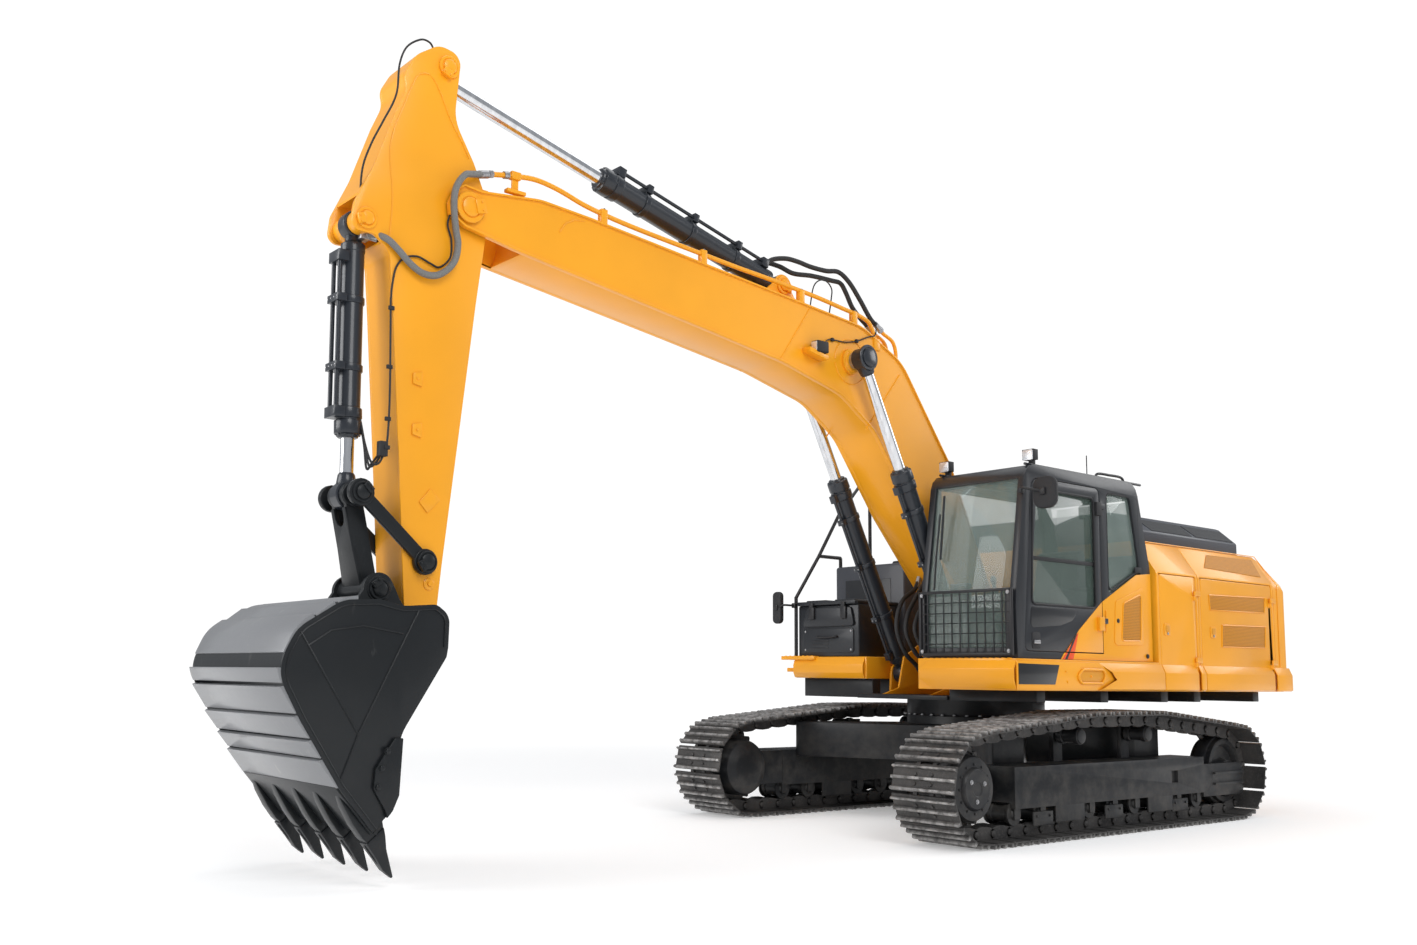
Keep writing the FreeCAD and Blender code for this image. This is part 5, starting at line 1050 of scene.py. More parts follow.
def cylinder(name, foot, pin, y, radius, reach, rod_radius, retraction, barrel, rod_body, up, bands,
             pipes=(0.0,)):
    """Barrel with base cap, gland, clamp bands and steel pipes; chromed rod with its eye."""
    line = Line(foot, pin, y)
    total = line.length
    stations = ((0.05, 0.055), (0.115, radius * 0.72), (0.135, radius + 0.004), (0.185, radius + 0.004),
                (0.190, radius), (reach - 0.205, radius), (reach - 0.200, radius + 0.012),
                (reach - 0.135, radius + 0.014), (reach - 0.130, radius + 0.003),
                (reach - 0.118, radius + 0.003), (reach - 0.115, radius + 0.014),
                (reach - 0.028, radius + 0.012), (reach - 0.020, radius - 0.006),
                (reach - 0.004, radius - 0.010), (reach, rod_radius + 0.012))
    bm = bmesh.new()
    rod(bm, line.at(0), line.at(total), radius, 48, [(d / total, r) for d, r in stations])
    eye(bm, foot, y)
    for band in bands:
        rod(bm, line.at(band - 0.024), line.at(band + 0.024), radius, 40,
            ((0, radius + 0.005), (0.08, radius + 0.009), (0.92, radius + 0.009), (1, radius + 0.005)))
        low, high = sorted((up * (radius - 0.01), up * (radius + 0.060)))
        line.block(bm, (band - 0.026, min(pipes) - 0.034, low), (band + 0.026, max(pipes) + 0.034, high))
    for port in (0.235, reach - 0.165):
        low, high = sorted((up * (radius - 0.02), up * (radius + 0.058)))
        line.block(bm, (port - 0.036, min(pipes) - 0.032, low), (port + 0.036, max(pipes) + 0.032, high))
    solid(name + "_barrel", bm, "barrel_slate", barrel, 0.003, 2, 40, smooth=34)
    repeat(name + "_gland_bolts", bolt(0.010, False), [(p, facing(line.u)) for p in
           line.ring(reach - 0.024, radius - 0.002, 10, 0.5)], "barrel_slate", barrel)
    for index, side in enumerate(pipes):
        middle = up * (radius + 0.034)
        tube(f"{name}_pipe_{index}", [line.at(0.22, middle, side), line.at(reach - 0.16, middle, side)],
             0.015, "barrel_slate", barrel)
        heads = [line.at(band, up * (radius + 0.058), side + shift) for band in bands
                 for shift in (-0.022, 0.022)]
        bolts(f"{name}_clamp_bolts_{index}", heads, line.n * up, 0.007, STEEL, barrel)
    bm = bmesh.new()
    start = 0.21 + retraction
    rod(bm, line.at(start), line.at(total - 0.100), rod_radius, 40)
    solid(name + "_rod_bar", bm, "hard_chrome", rod_body, smooth=34)
    bm = bmesh.new()
    rod(bm, line.at(total - 0.150), line.at(total - 0.03), rod_radius, 32,
        ((0, rod_radius + 0.002), (0.12, rod_radius + 0.012), (0.62, rod_radius + 0.022), (1, 0.054)))
    eye(bm, pin, y)
    solid(name + "_rod_eye", bm, "barrel_slate", rod_body, smooth=34)


for sign, side in SIDES:
    cylinder("lift_" + side, LIFT_FOOT, LIFT_PIN, sign * 0.375, 0.084, 2.02, 0.050, 0.79,
             "boom_cylinder_barrels", "boom_cylinder_rods", -1, (0.62, 1.15, 1.62))
cylinder("crowd", CROWD_FOOT, CROWD_PIN, 0.0, 0.092, 2.01, 0.055, 1.125, "arm_cylinder_barrel",
         "arm_cylinder_rod", 1, (0.55, 1.05, 1.55), (-0.05, 0.05))
cylinder("curl", CURL_FOOT, HANGER, 0.0, 0.078, 1.45, 0.045, 0.14, "bucket_cylinder_barrel",
         "bucket_cylinder_rod", 1, (0.52, 0.98), (-0.045, 0.045))
for name, node in (("lift_left", "boom_cylinder"), ("crowd", "arm_cylinder"), ("curl", "bucket_cylinder")):
    many = "s" if name == "lift_left" else ""
    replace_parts(bpy.data.objects[name + "_barrel"], node + "_barrel" + many)
    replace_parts(bpy.data.objects[name + "_rod_bar"], node + "_rod" + many)

# ------------------------------------------------------------------ bucket linkage and bucket


def pin_end(name, spot, y, sign, radius, body, finish, turn=0.0, collar=1.5, keeper=True):
    """Round collar, pin head and keeper plate with two bolts on the outside of a joint."""
    depth = 0.014
    centre = at(spot, y)
    ring, pin = radius * collar, radius
    profile = ((0, ring), (depth, ring), (depth + 0.004, ring - 0.005), (depth + 0.004, pin + 0.010),
               (depth, pin + 0.006), (depth, pin), (depth + 0.012, pin), (depth + 0.016, pin - 0.006))
    bm = bmesh.new()
    turned(bm, sided(sign, profile), centre, 1, 40)
    solid(name, bm, finish, body, smooth=34)
    if keeper:
        line = Line(spot, (spot[0] + math.cos(turn), spot[1] + math.sin(turn)), y)
        bm = bmesh.new()
        low, high = sorted((sign * (depth + 0.002), sign * (depth + 0.024)))
        line.block(bm, (pin * 0.55, low, -pin * 0.75), (ring * 1.02, high, pin * 0.75))
        solid(name + "_keeper", bm, finish, body, 0.003, smooth=34)
        heads = [line.at(ring * 0.80, up * pin * 0.45, sign * (depth + 0.024)) for up in (-1, 1)]
        bolts(name + "_bolts", heads, (0, sign, 0), 0.010, finish, body)


def bone(bm, line, length, first, last, waist, low, high):
    """A plate with two round ends and a waist, between two distances to the left."""
    steps = 14
    points = []
    a, b = math.asin(waist / first), math.asin(waist / last)
    for k in range(steps + 1):
        t = a + (2 * math.pi - 2 * a) * k / steps
        points.append((first * math.cos(t), first * math.sin(t)))
    for k in range(steps + 1):
        t = -(math.pi - b) + 2 * (math.pi - b) * k / steps
        points.append((length + last * math.cos(t), last * math.sin(t)))
    prism(bm, [line.flat(*p) for p in points], low, high)


def linkage():
    """Side links, H-link and the pins between arm, links and bucket."""
    line = Line(ARM_LINK, HANGER)
    bm = bmesh.new()
    for sign, side in SIDES:
        low, high = mirrored(sign, 0.199, 0.231)
        bone(bm, line, line.length, 0.088, 0.092, 0.046, low, high)
        for spot, radius in ((ARM_LINK, 0.086), (HANGER, 0.090)):
            turned(bm, [(sign * a, radius - c) for a,
                        c in ((0.193, 0.004), (0.197, 0), (0.235, 0), (0.239, 0.004))],
                   at(spot, 0), 1, 36)
    turned(bm, ((-0.196, 0.045), (0.196, 0.045)), at(HANGER, 0), 1, 32)
    links = solid("side_links_body", bm, BLACK, "side_links", 0.007, 3)
    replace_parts(links, "side_links")
    for sign, side in SIDES:
        pin_end("hanger_pin_" + side, HANGER, sign * 0.236, sign, 0.046, "side_links", BLACK, 2.4)
        pin_end("arm_link_pin_" + side, ARM_LINK, sign * 0.243, sign, 0.050, "arm", BLACK, -0.6, 1.45)
        pin_end("bucket_link_pin_" + side, BUCKET_LINK, sign * 0.240, sign, 0.048, "bucket", BLACK, 0.9)
    line = Line(BUCKET_LINK, HANGER)
    bm = bmesh.new()
    for sign in (1, -1):
        low, high = mirrored(sign, 0.063, 0.107)
        bone(bm, line, line.length, 0.084, 0.082, 0.060, low, high)
        turned(bm, [(sign * a, r) for a, r in ((0.055, 0.074), (0.059, 0.078), (0.113, 0.078),
                                               (0.117, 0.074))],
               at(HANGER, 0), 1, 36)
    turned(bm, ((-0.190, 0.080), (-0.186, 0.086), (0.186, 0.086), (0.190, 0.080)),
           at(BUCKET_LINK, 0), 1, 40)
    notch = [(0.50 - 0.062 * math.cos(t), 0.062 * math.sin(t)) for t in
             [math.pi * (k / 12 - 0.5) for k in range(13)]]
    front = [(0.02, -0.128), (0.30, -0.106), (0.56, -0.104), (0.56, -0.062)] + notch
    front += [(0.56, 0.062), (0.56, 0.104), (0.30, 0.106), (0.02, 0.128)]
    rings = prism(bm, front, -0.074, -0.046, 2)
    line.lay([v for ring in rings for v in ring])
    web = solid("h_link_body", bm, BLACK, "h_link", 0.006, 3)
    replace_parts(web, "h_link")


linkage()

BX, BZ = TOE
LIP = Line((BX + 0.78, BZ - 0.87), (BX + 0.56, BZ - 1.13))
LIP_END = LIP.length


def bucket_back():
    """The bucket's curved plate from its mouth's upper corner over the back to the lip."""
    corners = [(0.08, -0.03), (0.075, 0.17, 0.10), (0.17, 0.235, 0.08), (0.40, 0.215, 0.3),
               (0.56, 0.25, 0.20), (0.80, 0.235, 0.25), (1.08, 0.06, 0.25), (1.20, -0.18, 0.30),
               (1.04, -0.47, 0.50), (0.78, -0.87, 0.20), (0.56, -1.13)]
    return curved([(BX + c[0], BZ + c[1], *c[2:]) for c in corners], 5.0, closed=False)


def make_bucket():
    """Shell, wear strips, lip, ears, weld beads and side cutters."""
    back = bucket_back()
    inner = offset(back, 0.028)
    bm = bmesh.new()
    for low, high in ((-0.72, -0.69), (-0.69, 0.69), (0.69, 0.72)):
        if high - low > 1:
            for a, b, c, d in zip(back, back[1:], inner, inner[1:]):
                if math.dist(a, TOE) < 0.30:
                    continue
                ring = [[bm.verts.new((p[0], y, p[1])) for p in (a, b, d, c)] for y in (low, high)]
                for k in range(4):
                    j = (k + 1) % 4
                    bm.faces.new((ring[0][k], ring[0][j], ring[1][j], ring[1][k]))
        else:
            mouth = [(BX + 0.47, BZ - 1.04), (BX + 0.39, BZ - 0.56, 0.30), (BX + 0.09, BZ - 0.09, 0.05)]
            prism(bm, curved(back + mouth), low, high)
    bmesh.ops.remove_doubles(bm, verts=bm.verts, dist=1e-5)
    bmesh.ops.recalc_face_normals(bm, faces=bm.faces)
    shell = solid("bucket_shell", bm, BLACK, "bucket", 0.004, 2, 50, smooth=32)
    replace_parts(shell, "bucket")
    bm = bmesh.new()
    fine = [back[0]]
    for p, q in zip(back, back[1:]):
        count = max(1, round(math.dist(p, q) / 0.03))
        fine += [(p[0] + (q[0] - p[0]) * k / count, p[1] + (q[1] - p[1]) * k / count)
                 for k in range(1, count + 1)]
    marks = [0.0]
    for p, q in zip(fine, fine[1:]):
        marks.append(marks[-1] + math.dist(p, q))

    def reach(x, z):
        return marks[min(range(len(fine)), key=lambda k: math.dist(fine[k], (x, z)))]
    top, dark, low = reach(7.183, 1.639), reach(7.350, 1.395), reach(7.352, 1.312)
    steps = (reach(7.354, 1.215), reach(7.264, 1.038), reach(7.213, 0.940), reach(7.105, 0.785),
             reach(6.990, 0.620))
    for start, end in ((top - 0.30, top - 0.17), (top - 0.15, top - 0.01), (top, dark), (low, steps[0]),
                       (steps[0] + 0.02, steps[1]), (steps[1] + 0.015, steps[2] + 0.04),
                       (steps[2] + 0.055, steps[3]), (steps[3] + 0.012, steps[4])):
        band = part_of(fine, start, end)
        away = offset(band, -1.0)
        share = [k / (len(band) - 1) for k in range(len(band))]
        outer = [(p[0] + (q[0] - p[0]) * (0.024 - 0.016 * t), p[1] + (q[1] - p[1]) * (0.024 - 0.016 * t))
                 for p, q, t in zip(band, away, share)]
        strip(bm, outer, offset(band, 0.004), -0.716, 0.716)
    solid("bucket_wear_strips", bm, "worn_plate", "bucket", 0.004, 2, 50, smooth=32)
    bm = bmesh.new()
    LIP.block(bm, (-0.02, -0.70, -0.055), (LIP_END + 0.012, 0.70, 0.010))
    solid("bucket_lip", bm, BLACK, "bucket", 0.006)
    bm = bmesh.new()
    for sign in (1, -1):
        low, high = mirrored(sign, 0.200, 0.236)
        lean = math.atan2(BUCKET_LINK[1] - BZ, BUCKET_LINK[0] - BX)
        ear = [(BX + 0.108 * math.cos(t), BZ + 0.108 * math.sin(t)) for t in
               [lean + rad(270 - 15 * k) for k in range(13)]]
        ear += [(BX + 0.12, BZ + 0.22), (BX + 0.17, BZ + 0.285)]
        ear += [(BUCKET_LINK[0] + 0.108 * math.cos(t), BUCKET_LINK[1] + 0.108 * math.sin(t)) for t in
                [lean + rad(105 - 13 * k) for k in range(13)]]
        ear += [(BUCKET_LINK[0] + 0.17, BUCKET_LINK[1] - 0.10),
                (BUCKET_LINK[0] + 0.32, BUCKET_LINK[1] - 0.13), (BX + 0.54, BZ + 0.236),
                (BX + 0.275, BZ + 0.185)]
        prism(bm, ear, low, high)
        for spot in (TOE, BUCKET_LINK):
            turned(bm, [(sign * a, 0.086 - c) for a,
                        c in ((0.196, 0.004), (0.2, 0), (0.238, 0), (0.242, 0.004))],
                   at(spot, 0), 1, 36)
    turned(bm, ((-0.2, 0.045), (0.2, 0.045)), at(BUCKET_LINK, 0), 1, 32)
    solid("bucket_ears", bm, BLACK, "bucket", 0.006, 3)
    for sign, side in SIDES:
        y = sign * 0.722
        beads = {"upper": ((1.061, 0.040), (0.676, -0.554), (0.779, -0.814)),
                 "lower": ((0.294, 0.190), (0.676, -0.554)),
                 "arc": ((1.009, -0.039), (0.867, 0.054), (0.662, 0.087), (0.396, 0.048))}
        for label, line in beads.items():
            bead(f"bucket_bead_{label}_{side}", [(BX + u, y, BZ + v) for u, v in line], BLACK, "bucket",
                 0.006)
        rim = [(x, y, z) for x, z in offset(back, 0.030)]
        bead("bucket_rim_bead_" + side, rim, BLACK, "bucket", 0.005)
        bm = bmesh.new()
        low, high = mirrored(sign, 0.719, 0.744)
        prism(bm, [(6.584, 0.898), (6.600, 0.560), (6.640, 0.470), (6.674, 0.430), (6.689, 0.471),
                   (6.773, 0.604), (6.764, 0.720), (6.698, 0.818), (6.640, 0.900)], low, high)
        solid("side_cutter_" + side, bm, BLACK, "bucket", 0.005)
        bolts("side_cutter_bolts_" + side, [(6.689, sign * 0.744, 0.823), (6.725, sign * 0.744, 0.724),
                                            (6.747, sign * 0.744, 0.614)], (0, sign, 0), 0.020, BLACK,
              "bucket")


def make_teeth():
    """Adapters welded over the lip, each with a pointed tooth, its rib and its locking pin."""
    shoes, tips, pins = bmesh.new(), bmesh.new(), bmesh.new()
    spacing = (1.44 - 0.092 - 0.08) / 4
    for k in range(5):
        line = Line(LIP.flat(LIP_END), LIP.flat(LIP_END + 1), (k - 2) * spacing)
        loft(shoes, line, ((-0.24, 0.030, -0.058, -0.052), (-0.17, 0.044, -0.090, -0.052),
                           (-0.06, 0.047, -0.116, -0.040), (0.004, 0.047, -0.105, 0.0),
                           (0.06, 0.042, -0.078, 0.02)))
        loft(shoes, line, ((-0.29, 0.026, 0.002, 0.010), (-0.22, 0.044, 0.004, 0.030),
                           (-0.10, 0.047, 0.0, 0.050), (0.0, 0.047, -0.05, 0.056),
                           (0.06, 0.042, -0.060, 0.048)))
        loft(tips, line, ((0.045, 0.051, -0.086, 0.058), (0.09, 0.049, -0.064, 0.060),
                          (0.16, 0.042, -0.022, 0.062), (0.25, 0.030, 0.012, 0.070),
                          (0.332, 0.014, 0.040, 0.054)))
        loft(tips, line, ((0.06, 0.011, -0.080, 0.066), (0.16, 0.010, -0.020, 0.069),
                          (0.30, 0.006, 0.028, 0.064)))
        spot = line.at(0.03, -0.025)
        turned(pins, ((-0.052, 0.012), (-0.049, 0.015), (0.049, 0.015), (0.052, 0.012)), spot, 1, 16)
    adapters = solid("tooth_adapters", shoes, BLACK, "bucket", 0.005, smooth=40)
    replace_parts(adapters, "bucket_teeth")
    solid("bucket_tooth_tips", tips, BLACK, "bucket", 0.005, smooth=40)
    solid("tooth_pins", pins, BLACK, "bucket")


make_bucket()
make_teeth()

# ------------------------------------------------------------------ boom and arm

BOOM_BACK = ((-0.06, 0.145), (1.05, 1.045, 0.9), (2.05, 1.572, 0.5), (2.64, 1.578, 0.6), (5.52, 0.592, 0.9),
             (5.94, 0.435, 0.5), (6.37, 0.175))
BOOM_NOSE = ((6.505, 0.130), (6.55, 0.06), (6.55, -0.06), (6.505, -0.130), (6.37, -0.14))
BOOM_BELLY = ((5.93, -0.03, 0.8), (4.25, 0.465, 1.5), (3.35, 0.725, 1.0), (2.62, 0.862, 0.5),
              (2.12, 0.79, 0.5), (1.35, 0.38, 0.8))
BOOM_HEEL = ((0.14, -0.13), (0.06, -0.15), (-0.06, -0.15), (-0.09, -0.10), (-0.15, -0.05), (-0.15, 0.09))
BOOM_EDGE = dense(curved([on_boom(*c[:2]) + tuple(c[2:])
                          for c in BOOM_BACK + BOOM_NOSE + BOOM_BELLY + BOOM_HEEL]))


def make_boom():
    """Cranked box boom: side plates, edge plates standing proud of them, forked tip and its bosses."""
    inner = offset(BOOM_EDGE, 0.016, True)
    bm = bmesh.new()
    for sign in (1, -1):
        strip(bm, BOOM_EDGE, inner, *mirrored(sign, 0.204, 0.25), True)
    away = [math.dist(q, TIP) > 0.51 for q in BOOM_EDGE]
    start = next(k for k in range(len(away)) if away[k] and not away[k - 1])
    order = [(start + k) % len(away) for k in range(sum(away))]
    closed_part = [BOOM_EDGE[k] for k in order]
    strip(bm, closed_part, [inner[k] for k in order], -0.206, 0.206)
    ends = [math.atan2(q[1] - TIP[1], q[0] - TIP[0]) % (2 * math.pi)
            for q in (closed_part[-1], closed_part[0])]
    turns = [ends[0] + (ends[1] - ends[0]) * k / 16 for k in range(17)]
    strip(bm, *[[(TIP[0] + r * math.cos(t), TIP[1] + r * math.sin(t)) for t in turns] for r in (0.51, 0.526)],
          -0.206, 0.206)
    edges = softened("boom_edges", as_mesh("boom_edges", bm), 0.003, 2, 40)
    box = add("boom_edge_plates", edges, YEL, "boom", smooth=35)
    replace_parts(box, "boom")
    bm = bmesh.new()
    for sign in (1, -1):
        prism(bm, offset(BOOM_EDGE, 0.003, True), *mirrored(sign, 0.204, 0.235))
    turned(bm, ((-0.264, 0.108), (-0.260, 0.115), (0.260, 0.115), (0.264, 0.108)), at(LIFT_PIN, 0), 1, 40)
    turned(bm, ((-0.250, 0.142), (-0.244, 0.150), (0.244, 0.150), (0.250, 0.142)), at(FOOT, 0), 1, 48)
    solid("boom_side_plates", bm, YEL, "boom")
    bm = bmesh.new()
    head = BOOM_TURN + rad(90)
    ear = [on_boom(3.16, 1.34)] + [(CROWD_FOOT[0] + 0.098 * math.cos(t), CROWD_FOOT[1] + 0.098 * math.sin(t))
                                   for t in [head + rad(80 - 17 * k)
                                             for k in range(11)]] + [on_boom(3.72, 1.14)]
    for sign in (1, -1):
        prism(bm, ear, *mirrored(sign, 0.058, 0.088))
    turned(bm, ((-0.105, 0.045), (0.105, 0.045)), at(CROWD_FOOT, 0), 1, 32)
    solid("crowd_foot_ears", bm, YEL, "boom", 0.005)
    turned_piece("lift_pin", ((-0.32, 0.075), (0.32, 0.075)), at(LIFT_PIN, 0), STEEL, "boom", 1, 32, 35)
    bm = bmesh.new()
    bm.from_mesh(edges)
    tree = BVHTree.FromBMesh(bm)
    bm.free()
    return tree


BOOM_TREE = make_boom()

ARM_CORNERS = ((-1.10, 0.160, 0.10), (-0.62, 0.160, 0.30), (-0.36, -0.03, 0.20), (-0.10, -0.178, 0.15),
               (0.15, -0.185, 0.30), (0.64, -0.165, 0.50), (2.50, -0.115), (2.952, -0.11, 0.10),
               (3.10, -0.095, 0.08), (3.137, -0.02, 0.06), (3.125, 0.06, 0.06), (3.08, 0.10, 0.05),
               (2.892, 0.120, 0.30), (1.90, 0.282, 0.60), (0.819, 0.466, 0.40), (0.47, 0.530, 0.12),
               (0.385, 0.66, 0.08), (0.41, 0.83, 0.10), (0.22, 0.825, 0.10), (-0.07, 0.720, 0.40),
               (-0.50, 0.610, 0.30), (-0.70, 0.545, 0.15), (-0.80, 0.580, 0.12), (-0.97, 0.505, 0.20),
               (-1.11, 0.340, 0.14))
ARM_EDGE = dense(curved([on_arm(*c[:2]) + tuple(c[2:]) for c in ARM_CORNERS]))


def make_arm():
    """Box arm: two cheeks, closing plates, and open forks round the two cylinder eyes."""
    clockwise = sum(a[0] * b[1] - b[0] * a[1] for a, b in zip(ARM_EDGE, ARM_EDGE[1:] + ARM_EDGE[:1])) < 0
    inner = offset(ARM_EDGE, 0.014 if clockwise else -0.014, True)
    slots = ((CROWD_PIN, 0.21), (CURL_FOOT, 0.17))
    cheeks, walls = bmesh.new(), bmesh.new()
    for sign in (1, -1):
        prism(cheeks, ARM_EDGE, *mirrored(sign, 0.160, 0.190))
        for spot, r in ((CROWD_PIN, 0.082), (CURL_FOOT, 0.080), (TOE, 0.085)):
            turned(cheeks, [(sign * a, r) for a in (0.060, 0.165)], at(spot, 0), 1, 36)
    for spot in (CROWD_PIN, CURL_FOOT):
        turned(cheeks, ((-0.195, 0.046), (0.195, 0.046)), at(spot, 0), 1, 32)
    count = len(ARM_EDGE)
    keep = [all(math.dist(q, c) > r for c, r in slots) for q in ARM_EDGE]
    starts = [k for k in range(count) if keep[k] and not keep[k - 1]]
    ends = []
    for start in starts:
        run = [start]
        while keep[(run[-1] + 1) % count]:
            run.append((run[-1] + 1) % count)
        strip(walls, [ARM_EDGE[k] for k in run], [inner[k] for k in run], -0.162, 0.162)
        ends += [ARM_EDGE[run[0]], ARM_EDGE[run[-1]]]
    body = on_arm(-0.20, 0.30)
    for centre, r in slots:
        near = sorted(ends, key=lambda q: abs(math.dist(q, centre) - r))[:2]
        mid = math.atan2(body[1] - centre[1], body[0] - centre[0])
        turns = sorted((math.atan2(q[1] - centre[1],
                                   q[0] - centre[0]) - mid + math.pi) % (2 * math.pi) - math.pi
                       for q in near)
        sweep = [mid + turns[0] + (turns[1] - turns[0]) * k / 14 for k in range(15)]
        strip(walls, *[[(centre[0] + q * math.cos(t), centre[1] + q * math.sin(t)) for t in sweep]
                       for q in (r, r + 0.014)], -0.162, 0.162)
    cheek = solid("arm_cheeks", cheeks, YEL, "arm", 0.004, 2, 40)
    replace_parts(cheek, "arm")
    solid("arm_walls", walls, YEL, "arm")


make_arm()


def boom_top(x, y=0.1):
    """Height of the boom's back at a place."""
    return BOOM_TREE.ray_cast(Vector((x, y, 7)), Vector((0, 0, -1)))[0].z


def plate(name, outline, low, high, finish, body, width=0.003, axis=1):
    """A flat plate of a given outline, with its edges eased."""
    bm = bmesh.new()
    prism(bm, outline, *sorted((low, high)), axis)
    return solid(name, bm, finish, body, width)


CLAMPS_X = (4.75, 3.74, 2.62, 1.95)


def boom_fittings():
    """Pins, pipes, clamps, weld lines, lamp and hoses on the boom."""
    for sign, side in SIDES:
        for index, (a, b) in enumerate((((2.520, 4.442), (2.886, 3.925)), ((1.345, 4.049), (1.812, 3.481)))):
            bead(f"boom_seam_{index}_{side}", [at(a, sign * 0.2365), at(b, sign * 0.2365)], YEL, "boom",
                 0.006)
        pin_end("boom_tip_pin_" + side, TIP, sign * 0.250, sign, 0.068, "boom", YEL, 2.9, 1.62)
        pin_end("crowd_foot_pin_" + side, CROWD_FOOT, sign * 0.088, sign, 0.050, "boom", YEL, 3.6, 1.6)
        pin_end("lift_pin_" + side, LIFT_PIN, sign * 0.433, sign, 0.080, "boom", "barrel_slate", 0, 1.42,
                keeper=False)
        bm = bmesh.new()
        turned(bm, [(sign * a, r) for a, r in ((0.264, 0.100), (0.280, 0.092), (0.284, 0.070),
                                               (0.318, 0.070))],
               at(LIFT_PIN, 0), 1, 40)
        solid("lift_pin_collar_" + side, bm, YEL, "boom", smooth=34)
        bolts("lift_pin_bolts_" + side, ring_places((LIFT_PIN[0], sign * 0.449, LIFT_PIN[1]), 0.045, 3),
              (0, sign, 0), 0.010, "barrel_slate", "boom")
        y = sign * 0.222
        line = [(5.79, 4.798), (5.612, 4.835), (5.544, 4.845), (5.388, 4.868), (5.255, 4.857), (5.119, 4.832),
                (4.934, 4.780), (4.707, 4.746), (4.405, 4.713), (3.86, 4.672), (3.346, 4.631), (3.06, 4.617),
                (2.582, 4.583), (2.333, 4.561), (2.077, 4.529), (1.841, 4.505), (1.70, 4.452), (1.655, 4.30)]
        pipes = pipe("boom_pipe_" + side, [(x, y, z) for x, z in line], 0.019, YEL, "boom")
        if sign > 0:
            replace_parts(pipes, "boom_lines")
        bm = bmesh.new()
        for x in CLAMPS_X:
            z = boom_top(x, y)
            block(bm, (x - 0.030, y - 0.026, z - 0.006), (x + 0.030, y + 0.026, z + 0.110))
        block(bm, (5.46, y - 0.026, 4.71), (5.62, y + 0.026, 4.738))
        block(bm, (5.515, y - 0.006, 4.72), (5.575, y + 0.006, 4.85))
        block(bm, (5.505, y - 0.026, 4.815), (5.585, y + 0.026, 4.872))
        block(bm, (1.62, y - 0.026, 4.22), (1.70, y + 0.026, 4.33))
        solid("boom_pipe_clamps_" + side, bm, YEL, "boom", 0.006)
        bolts("boom_clamp_bolts_" + side, [(x, y + up, boom_top(x, y) + 0.110) for x in CLAMPS_X
                                           for up in (-0.018, 0.018)], (0, 0, 1), 0.009, STEEL, "boom")
        rods("boom_pipe_nut_" + side, (((5.83, y, 4.790), (5.765, y, 4.803), 0.026, 6),
                                       ((5.765, y, 4.803), (5.735, y, 4.809), 0.029, 6),
                                       ((5.64, y, 4.829), (5.60, y, 4.837), 0.027, 24)), STEEL, "boom", 20)
    for sign, side in SIDES:
        bead("boom_edge_weld_" + side, [at(q, sign * 0.2370) for q in offset(BOOM_EDGE, 0.019, True)], YEL,
             "boom", 0.0035)
        bead("tip_weld_" + side, [at(q, sign * 0.2365)
                                  for q in ((5.155, 4.516), (5.102, 4.596), (5.022, 4.640),
                                                               (4.93, 4.655))], YEL, "boom", 0.006)
        bead("lift_boss_weld_" + side, [(x, sign * 0.2365, z) for x, y, z in
                                        ring_places(at(LIFT_PIN, 0), 0.20, 33)], YEL, "boom",
             0.006)
    plate("boom_lamp_bracket", [(2.615, 4.080), (2.615, 4.040), (2.394, 3.995), (2.385, 4.030)], 0.235, 0.33,
          YEL, "boom")
    bm = bmesh.new()
    block(bm, (2.395, 0.262, 4.050), (2.535, 0.345, 4.150))
    solid("boom_lamp_body", bm, "moulded_black", "boom", 0.012, 3)
    plate("boom_lamp_lens", [(0.272, 4.060), (0.335, 4.060), (0.335, 4.140), (0.272, 4.140)], 2.533, 2.541,
          "lamp_lens", "boom", 0.003, 0)
    tube("boom_lamp_cable", flowing([(2.40, 0.300, 4.13), (2.34, 0.262, 4.19), (2.25, 0.247, 4.216),
         (2.093, 0.247, 4.222), (1.936, 0.247, 4.258), (1.790, 0.248, 4.320), (1.690, 0.250, 4.36),
         (1.62, 0.20, 4.50)]), 0.006, "hose_rubber", "boom")
    for x, z in ((2.25, 4.216), (1.936, 4.258)):
        bm = bmesh.new()
        block(bm, (x - 0.014, 0.235, z - 0.016), (x + 0.014, 0.258, z + 0.016))
        solid(f"cable_clip_{round(x * 1000)}", bm, "moulded_black", "boom", 0.004)
    routes = {
        "left": ((2.88, 0.05, 4.805), (2.80, 0.07, 4.862), (2.67, 0.10, 4.890), (2.535, 0.11, 4.889),
                 (2.38, 0.12, 4.872), (2.20, 0.13, 4.872), (2.06, 0.15, 4.885), (1.943, 0.17, 4.811),
                 (1.812, 0.18, 4.672), (1.679, 0.18, 4.530), (1.575, 0.18, 4.465)),
        "right": ((2.88, -0.05, 4.805), (2.79, -0.03, 4.860), (2.66, 0.01, 4.845), (2.53, 0.05, 4.800),
                  (2.33, 0.08, 4.812), (2.10, 0.10, 4.812), (1.98, 0.10, 4.810), (1.907, 0.10, 4.736),
                  (1.828, 0.10, 4.622), (1.722, 0.10, 4.540), (1.60, 0.10, 4.470))}
    for side, route in routes.items():
        y, end = route[-1][1], Vector(route[-1])
        step = (end - Vector(route[-2])).normalized()
        nut = rods("crowd_hose_nut_" + side, ((end - step * 0.035, end + step * 0.03, 0.026, 24),
                                              (end + step * 0.03, end + step * 0.06, 0.029, 6)), STEEL,
                   "boom", 20)
        hose("crowd_hose_" + side, route, 0.021, "hose_rubber", "boom")
        seat_x = end.x - 0.245
        seat_z = boom_top(seat_x, y)
